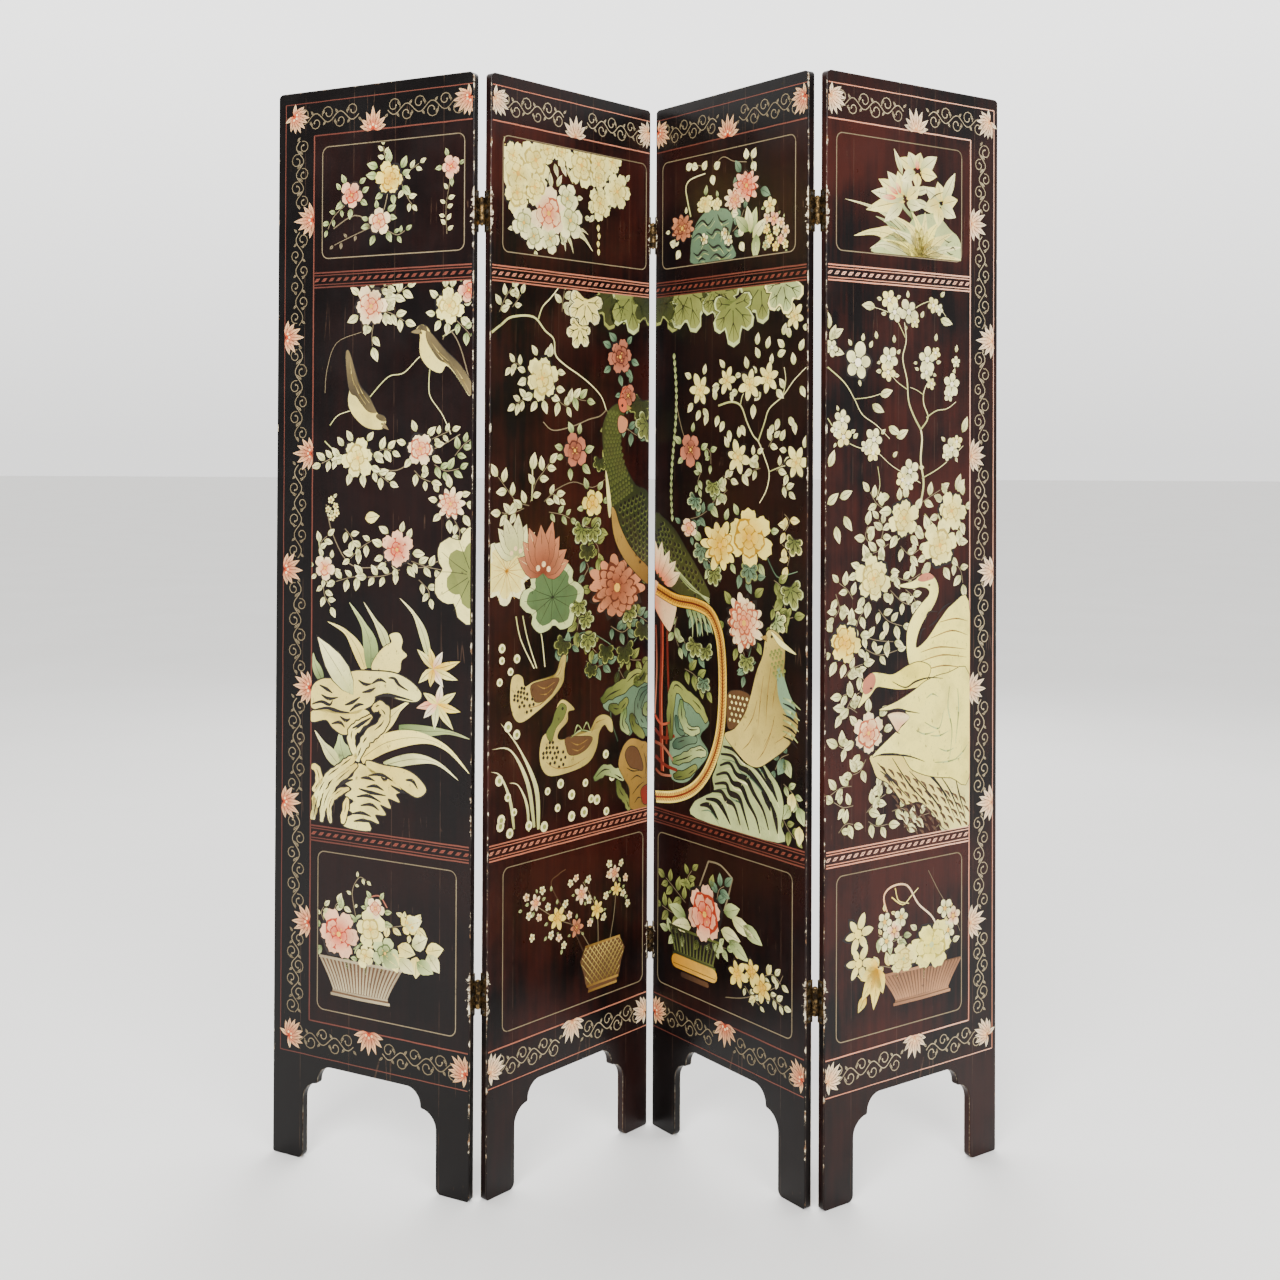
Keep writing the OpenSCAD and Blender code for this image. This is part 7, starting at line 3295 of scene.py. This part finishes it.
    def creatures(self) -> list[Motif]:
        """The two cranes.

        Returns:
            The motifs, in the order in which they are drawn.
        """
        return [
            Form(((164, 992), (198, 998), (214, 1006), (236, 1008), (252, 998), (258, 978), (246, 954),
                  (222, 930), (208, 906), (206, 886), (232, 900), (262, 930), (292, 954), (332, 958),
                  (332, 800), (262, 812), (210, 842), (192, 856), (184, 880), (184, 914), (196, 938),
                  (216, 958), (236, 974), (232, 984), (214, 988), (196, 986)), STRAW, 6, (320, 860), 170),
            Form(((208, 1000), (220, 1009), (236, 1010), (248, 1002), (236, 998), (220, 996)), ROSY, 8,
                 rim=0),
            Form(((236, 992), (239, 990), (236, 988), (233, 990)), INK, 9, rim=0),
            Veins((((214, 898), (218, 914), (228, 918)), ((226, 926), (234, 944), (256, 944)),
                   ((256, 938), (270, 950), (290, 958)), ((236, 920), (252, 928), (262, 938))), 3.4),
            Veins((((216, 878), (262, 884), (326, 876)), ((212, 862), (268, 870), (328, 862)),
                   ((240, 900), (290, 910), (330, 900)), ((262, 926), (300, 930), (330, 924)),
                   ((220, 846), (270, 852), (322, 844))), 2.6, OCHRE, 8),
            Form(((72, 798), (84, 822), (80, 834), (90, 844), (104, 852), (124, 850), (152, 846), (186, 858),
                  (215, 862), (240, 850), (224, 824), (200, 820), (165, 820), (132, 826), (114, 828),
                  (100, 816), (86, 806)), STRAW, 9, (200, 840), 150),
            Form(((120, 790), (160, 800), (200, 815), (232, 830), (280, 838), (334, 832), (334, 655),
                  (290, 660), (240, 668), (200, 682), (186, 694), (170, 712), (130, 718), (105, 716),
                  (150, 745), (184, 766), (178, 784), (150, 788)), STRAW, 11, (290, 740), 170),
            Form(((86, 842), (104, 852), (112, 840), (104, 824), (88, 818), (82, 828)), ROSY, 12, rim=0),
            Form(((101, 829), (104, 827), (101, 825), (98, 827)), INK, 13, rim=0),
            Veins((((150, 834), (180, 822), (204, 830), (236, 834), (270, 830)),
                   ((132, 786), (160, 788), (186, 782), (214, 776)),
                   ((112, 716), (160, 712), (192, 706), (226, 694)),
                   ((136, 782), (146, 768), (158, 752), (168, 746))), 3.6, INK, 13),
            Form(((140, 780), (168, 782), (190, 772), (172, 760), (160, 750), (148, 764)), BLUSH, 12,
                 (160, 766), 26),
            Veins((((226, 760), (246, 750), (262, 748), (272, 776)), ((240, 736), (262, 734), (284, 740)),
                   ((286, 816), (282, 780), (292, 740), (286, 690)), ((306, 810), (308, 770), (300, 716)),
                   ((250, 690), (282, 688), (316, 692)), ((230, 800), (244, 806), (258, 800)),
                   ((206, 748), (226, 740), (250, 742)), ((300, 690), (318, 700), (330, 712)),
                   ((262, 712), (280, 706), (298, 710))), 3.0, CELADON, 12),
        ]

    def bank(self) -> list[Motif]:
        """The striped bank under the cranes.

        Returns:
            The motifs, in the order in which they are drawn.
        """
        marks = []
        for row in range(7):
            for k in range(11 - row // 2):
                x, z = 122 + 19 * k + 9 * row, 698 - 7.2 * k - 17 * row
                if x < 322 and z > 580:
                    marks.append(((x, z), (x + 9, z - 6), (x + 15, z - 15)))
        return [
            Form(((100, 716), (130, 714), (176, 712), (222, 694), (262, 674), (334, 660), (334, 574),
                  (276, 574), (246, 606), (214, 628), (180, 628), (160, 648), (140, 668), (116, 680),
                  (106, 698)), CREAM, 4, (180, 690), 190),
            Veins(tuple(marks), 5.2, BROWN, 7),
            Veins((((116, 704), (150, 672), (190, 636)), ((150, 708), (190, 660), (236, 620)),
                   ((190, 682), (226, 650), (262, 612), (276, 580)), ((236, 670), (270, 640), (300, 590)),
                   ((300, 662), (310, 630), (326, 590)), ((122, 690), (140, 678), (156, 660)),
                   ((206, 694), (250, 662), (296, 612)), ((262, 668), (292, 632), (318, 582))), 3.6, INK, 7),
        ]

    def lower_picture(self) -> list[Motif]:
        """The splayed basket of small flowers with its knotted handle.

        Returns:
            The motifs, in the order in which they are drawn.
        """
        return [
            Basket(222, 298, 352, 66, 96, 22, TAN, cane=0.5),
            Branch(((165, 412), (142, 450), (132, 482), (152, 496), (186, 492), (212, 458), (246, 430),
                    (262, 400), (282, 372)), 3.4, 0.9, APRICOT),
            Branch(((150, 478), (176, 462), (196, 474), (212, 484)), 2.4, 0.6, CREAM),
            Branch(((158, 492), (166, 470), (190, 462)), 2.4, 0.6, CREAM),
            Branch(((236, 510), (262, 470), (300, 420), (318, 385)), 1.4, 0.5, VINE),
            Spray(((120, 372), (105, 358), (92, 330)), 5, 28, YELLOW),
            Spray(((150, 362), (130, 368), (110, 370)), 4, 24, CREAM),
            Flower(74, 430, 34, LILY, CREAM, 1, CREAM, YELLOW),
            Flower(76, 382, 32, LILY, CREAM, 1, CREAM, YELLOW),
            *[Leaf(118, 366, turn, length, 24, YELLOW, 9) for turn, length in (
                (198, 40), (232, 58), (262, 66), (286, 44), (150, 34))],
            Spray(((120, 420), (150, 405), (175, 410)), 6, 22, CELADON),
            *[Flower(x, z, 17, PRUNUS, paint, 1, CREAM, GOLD, leaf=11) for x, z, paint in (
                (134, 440, IVORY), (156, 422, BLUSH), (172, 442, IVORY), (138, 408, IVORY),
                (276, 440, IVORY), (296, 424, BLUSH), (284, 402, IVORY))],
            Flower(178, 372, 34, PEONY, CREAM, 3, IVORY, CELADON, squash=0.7, leaf=18),
            Flower(244, 384, 50, PEONY, STRAW, 3, IVORY, CELADON, squash=0.8, leaf=22),
        ]


@dataclass(frozen=True)
class Hinges:
    """The six hinges, whose CAD nodes stay as they are and get their metals.

    Attributes:
        leaf: Metal of the leaves.
        pin: Metal of the pins.
    """

    leaf: MetalFinish = LEAF_METAL
    pin: MetalFinish = PIN_METAL

    def dress(self) -> None:
        """Gives each leaf and pin its metal."""
        parts = {name: node for name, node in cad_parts.items() if name.startswith("hinge_")}
        for name, node in parts.items():
            metal = self.pin if name.endswith("_pin") else self.leaf
            for slot in node.material_slots:
                slot.material = metal.material()
        log.info("hinges: %d leaves and pins", len(parts))


@dataclass(frozen=True)
class Lamp:
    """A soft square lamp that faces the middle of the screen.

    Attributes:
        title: Its name.
        place: Where it hangs.
        size: Side of the square in metres.
        power: Power in watts.
        aim: What it faces.
    """

    title: str
    place: Place
    size: float
    power: float
    aim: Place = (0.0, 0.0, 0.95)

    def hang(self) -> None:
        """Hangs the lamp."""
        lamp = bpy.data.lights.new(self.title, "AREA")
        lamp.shape = "SQUARE"
        lamp.size = self.size
        lamp.energy = self.power
        holder = bpy.data.objects.new(self.title, lamp)
        holder.location = self.place
        holder.rotation_mode = "QUATERNION"
        holder.rotation_quaternion = (Vector(self.aim) - Vector(self.place)).to_track_quat("-Z", "Y")
        bpy.context.scene.collection.objects.link(holder)


@dataclass(frozen=True)
class Studio:
    """A plain pale floor, plain soft light and the photograph's viewing angle.

    Attributes:
        picture: Side of the photograph in pixels.
        sensor: Width of the sensor in millimetres.
        focal_length: Focal length in pixels.
        principal_point: Where the line of sight meets the picture, in pixels.
        eye: Where the camera stands.
        bearing: Turn of the camera about the vertical, in degrees.
        pitch: How far it looks up, in degrees.
        roll: How far it leans over, in degrees.
        near: Distance at which its view begins.
        reach: Half the side of the floor.
        front: Strength of the room's light from the viewer's side.
        back: Strength of the room's light from behind the screen.
        horizon: Share of the light that is left at the horizon.
        floor_colours: The two pale tints of the floor.
        room_colour: Tint of the room's light.
        lamps: The lamps.
    """

    picture: float = 1280.0
    sensor: float = 36.0
    focal_length: float = 1619.6
    principal_point: Point = (607.2, 432.4)
    eye: Place = (-0.0620, -2.7679, 1.2203)
    bearing: float = -0.168
    pitch: float = 0.515
    roll: float = -0.254
    near: float = 0.05
    reach: float = 60.0
    front: float = 0.3
    back: float = 2.9
    horizon: float = 0.6
    floor_colours: tuple[Colour, Colour] = (linear(232, 231, 228), linear(240, 239, 237))
    room_colour: Colour = (0.96, 0.955, 0.945)
    lamps: tuple[Lamp, ...] = (Lamp("key_light", (-1.4, -4.2, 3.6), 2.2, 360.0),
                               Lamp("fill_light", (1.9, -4.6, 2.6), 2.4, 250.0),
                               Lamp("back_light", (0.4, 4.2, 3.2), 2.6, 150.0))

    def camera(self) -> None:
        """Stands the camera where the photograph was taken from."""
        lens = bpy.data.cameras.new("view_camera")
        lens.sensor_fit = "HORIZONTAL"
        lens.sensor_width = self.sensor
        lens.lens = self.focal_length / self.picture * self.sensor
        lens.shift_x = (self.picture / 2 - self.principal_point[0]) / self.picture
        lens.shift_y = (self.principal_point[1] - self.picture / 2) / self.picture
        lens.clip_start = self.near
        eye = bpy.data.objects.new("view_camera", lens)
        eye.location = self.eye
        eye.rotation_mode = "XYZ"
        eye.rotation_euler = [math.radians(turn) for turn in (90 + self.pitch, self.roll, self.bearing)]
        bpy.context.scene.collection.objects.link(eye)
        bpy.context.scene.camera = eye

    def floor(self) -> None:
        """Lays a plain pale floor."""
        mesh = bpy.data.meshes.new("floor")
        corners = [(x * self.reach, y * self.reach, 0) for x, y in ((-1, -1), (1, -1), (1, 1), (-1, 1))]
        mesh.from_pydata(corners, [], [(0, 1, 2, 3)])
        recipe = Recipe("pale_floor")
        place = recipe.node("ShaderNodeTexCoord").outputs["Object"]
        cloud = recipe.noise(place, scale=1.4, detail=3.0)
        recipe.feed(recipe.shader.inputs["Base Color"], recipe.mix(cloud, *self.floor_colours))
        recipe.shader.inputs["Roughness"].default_value = 0.85
        mesh.materials.append(recipe.material)
        floor = bpy.data.objects.new("floor", mesh)
        bpy.context.scene.collection.objects.link(floor)

    def sky(self) -> None:
        """Fills the room with an even pale light, stronger from behind and from above."""
        world = bpy.data.worlds.new("pale_room")
        world.use_nodes = True
        nodes, links = world.node_tree.nodes, world.node_tree.links
        backdrop = nodes["Background"]
        backdrop.inputs["Color"].default_value = (*self.room_colour, 1.0)
        split = nodes.new("ShaderNodeSeparateXYZ")
        links.new(nodes.new("ShaderNodeTexCoord").outputs["Generated"], split.inputs["Vector"])
        ramps = []
        for axis, low, high, first, last in (("Y", -0.4, 0.5, self.front, self.back),
                                             ("Z", 0.0, 0.24, self.horizon, 1.0)):
            ramp = nodes.new("ShaderNodeMapRange")
            links.new(split.outputs[axis], ramp.inputs["Value"])
            for name, value in (("From Min", low), ("From Max", high), ("To Min", first), ("To Max", last)):
                ramp.inputs[name].default_value = value
            ramps.append(ramp)
        strength = nodes.new("ShaderNodeMath")
        strength.operation = "MULTIPLY"
        for ramp, socket in zip(ramps, strength.inputs):
            links.new(ramp.outputs["Result"], socket)
        links.new(strength.outputs["Value"], backdrop.inputs["Strength"])
        bpy.context.scene.world = world

    def build(self) -> None:
        """Sets up the whole studio."""
        self.camera()
        self.floor()
        self.sky()
        for lamp in self.lamps:
            lamp.hang()
        log.info("studio: camera, floor and %d lamps", len(self.lamps))


def main() -> None:
    """Dresses the screen, panel by panel, and sets up the studio."""
    logging.basicConfig(level=logging.INFO, format="%(message)s")
    for number, panel in enumerate((FirstPanel, SecondPanel, ThirdPanel, FourthPanel), 1):
        work = panel(PanelFace.from_frame(number))
        work.dress_lacquer()
        for piece in (*work.border(), *work.pictures()):
            piece.build(PIGMENT)
    Hinges().dress()
    Studio().build()


if __name__ == "__main__":
    main()
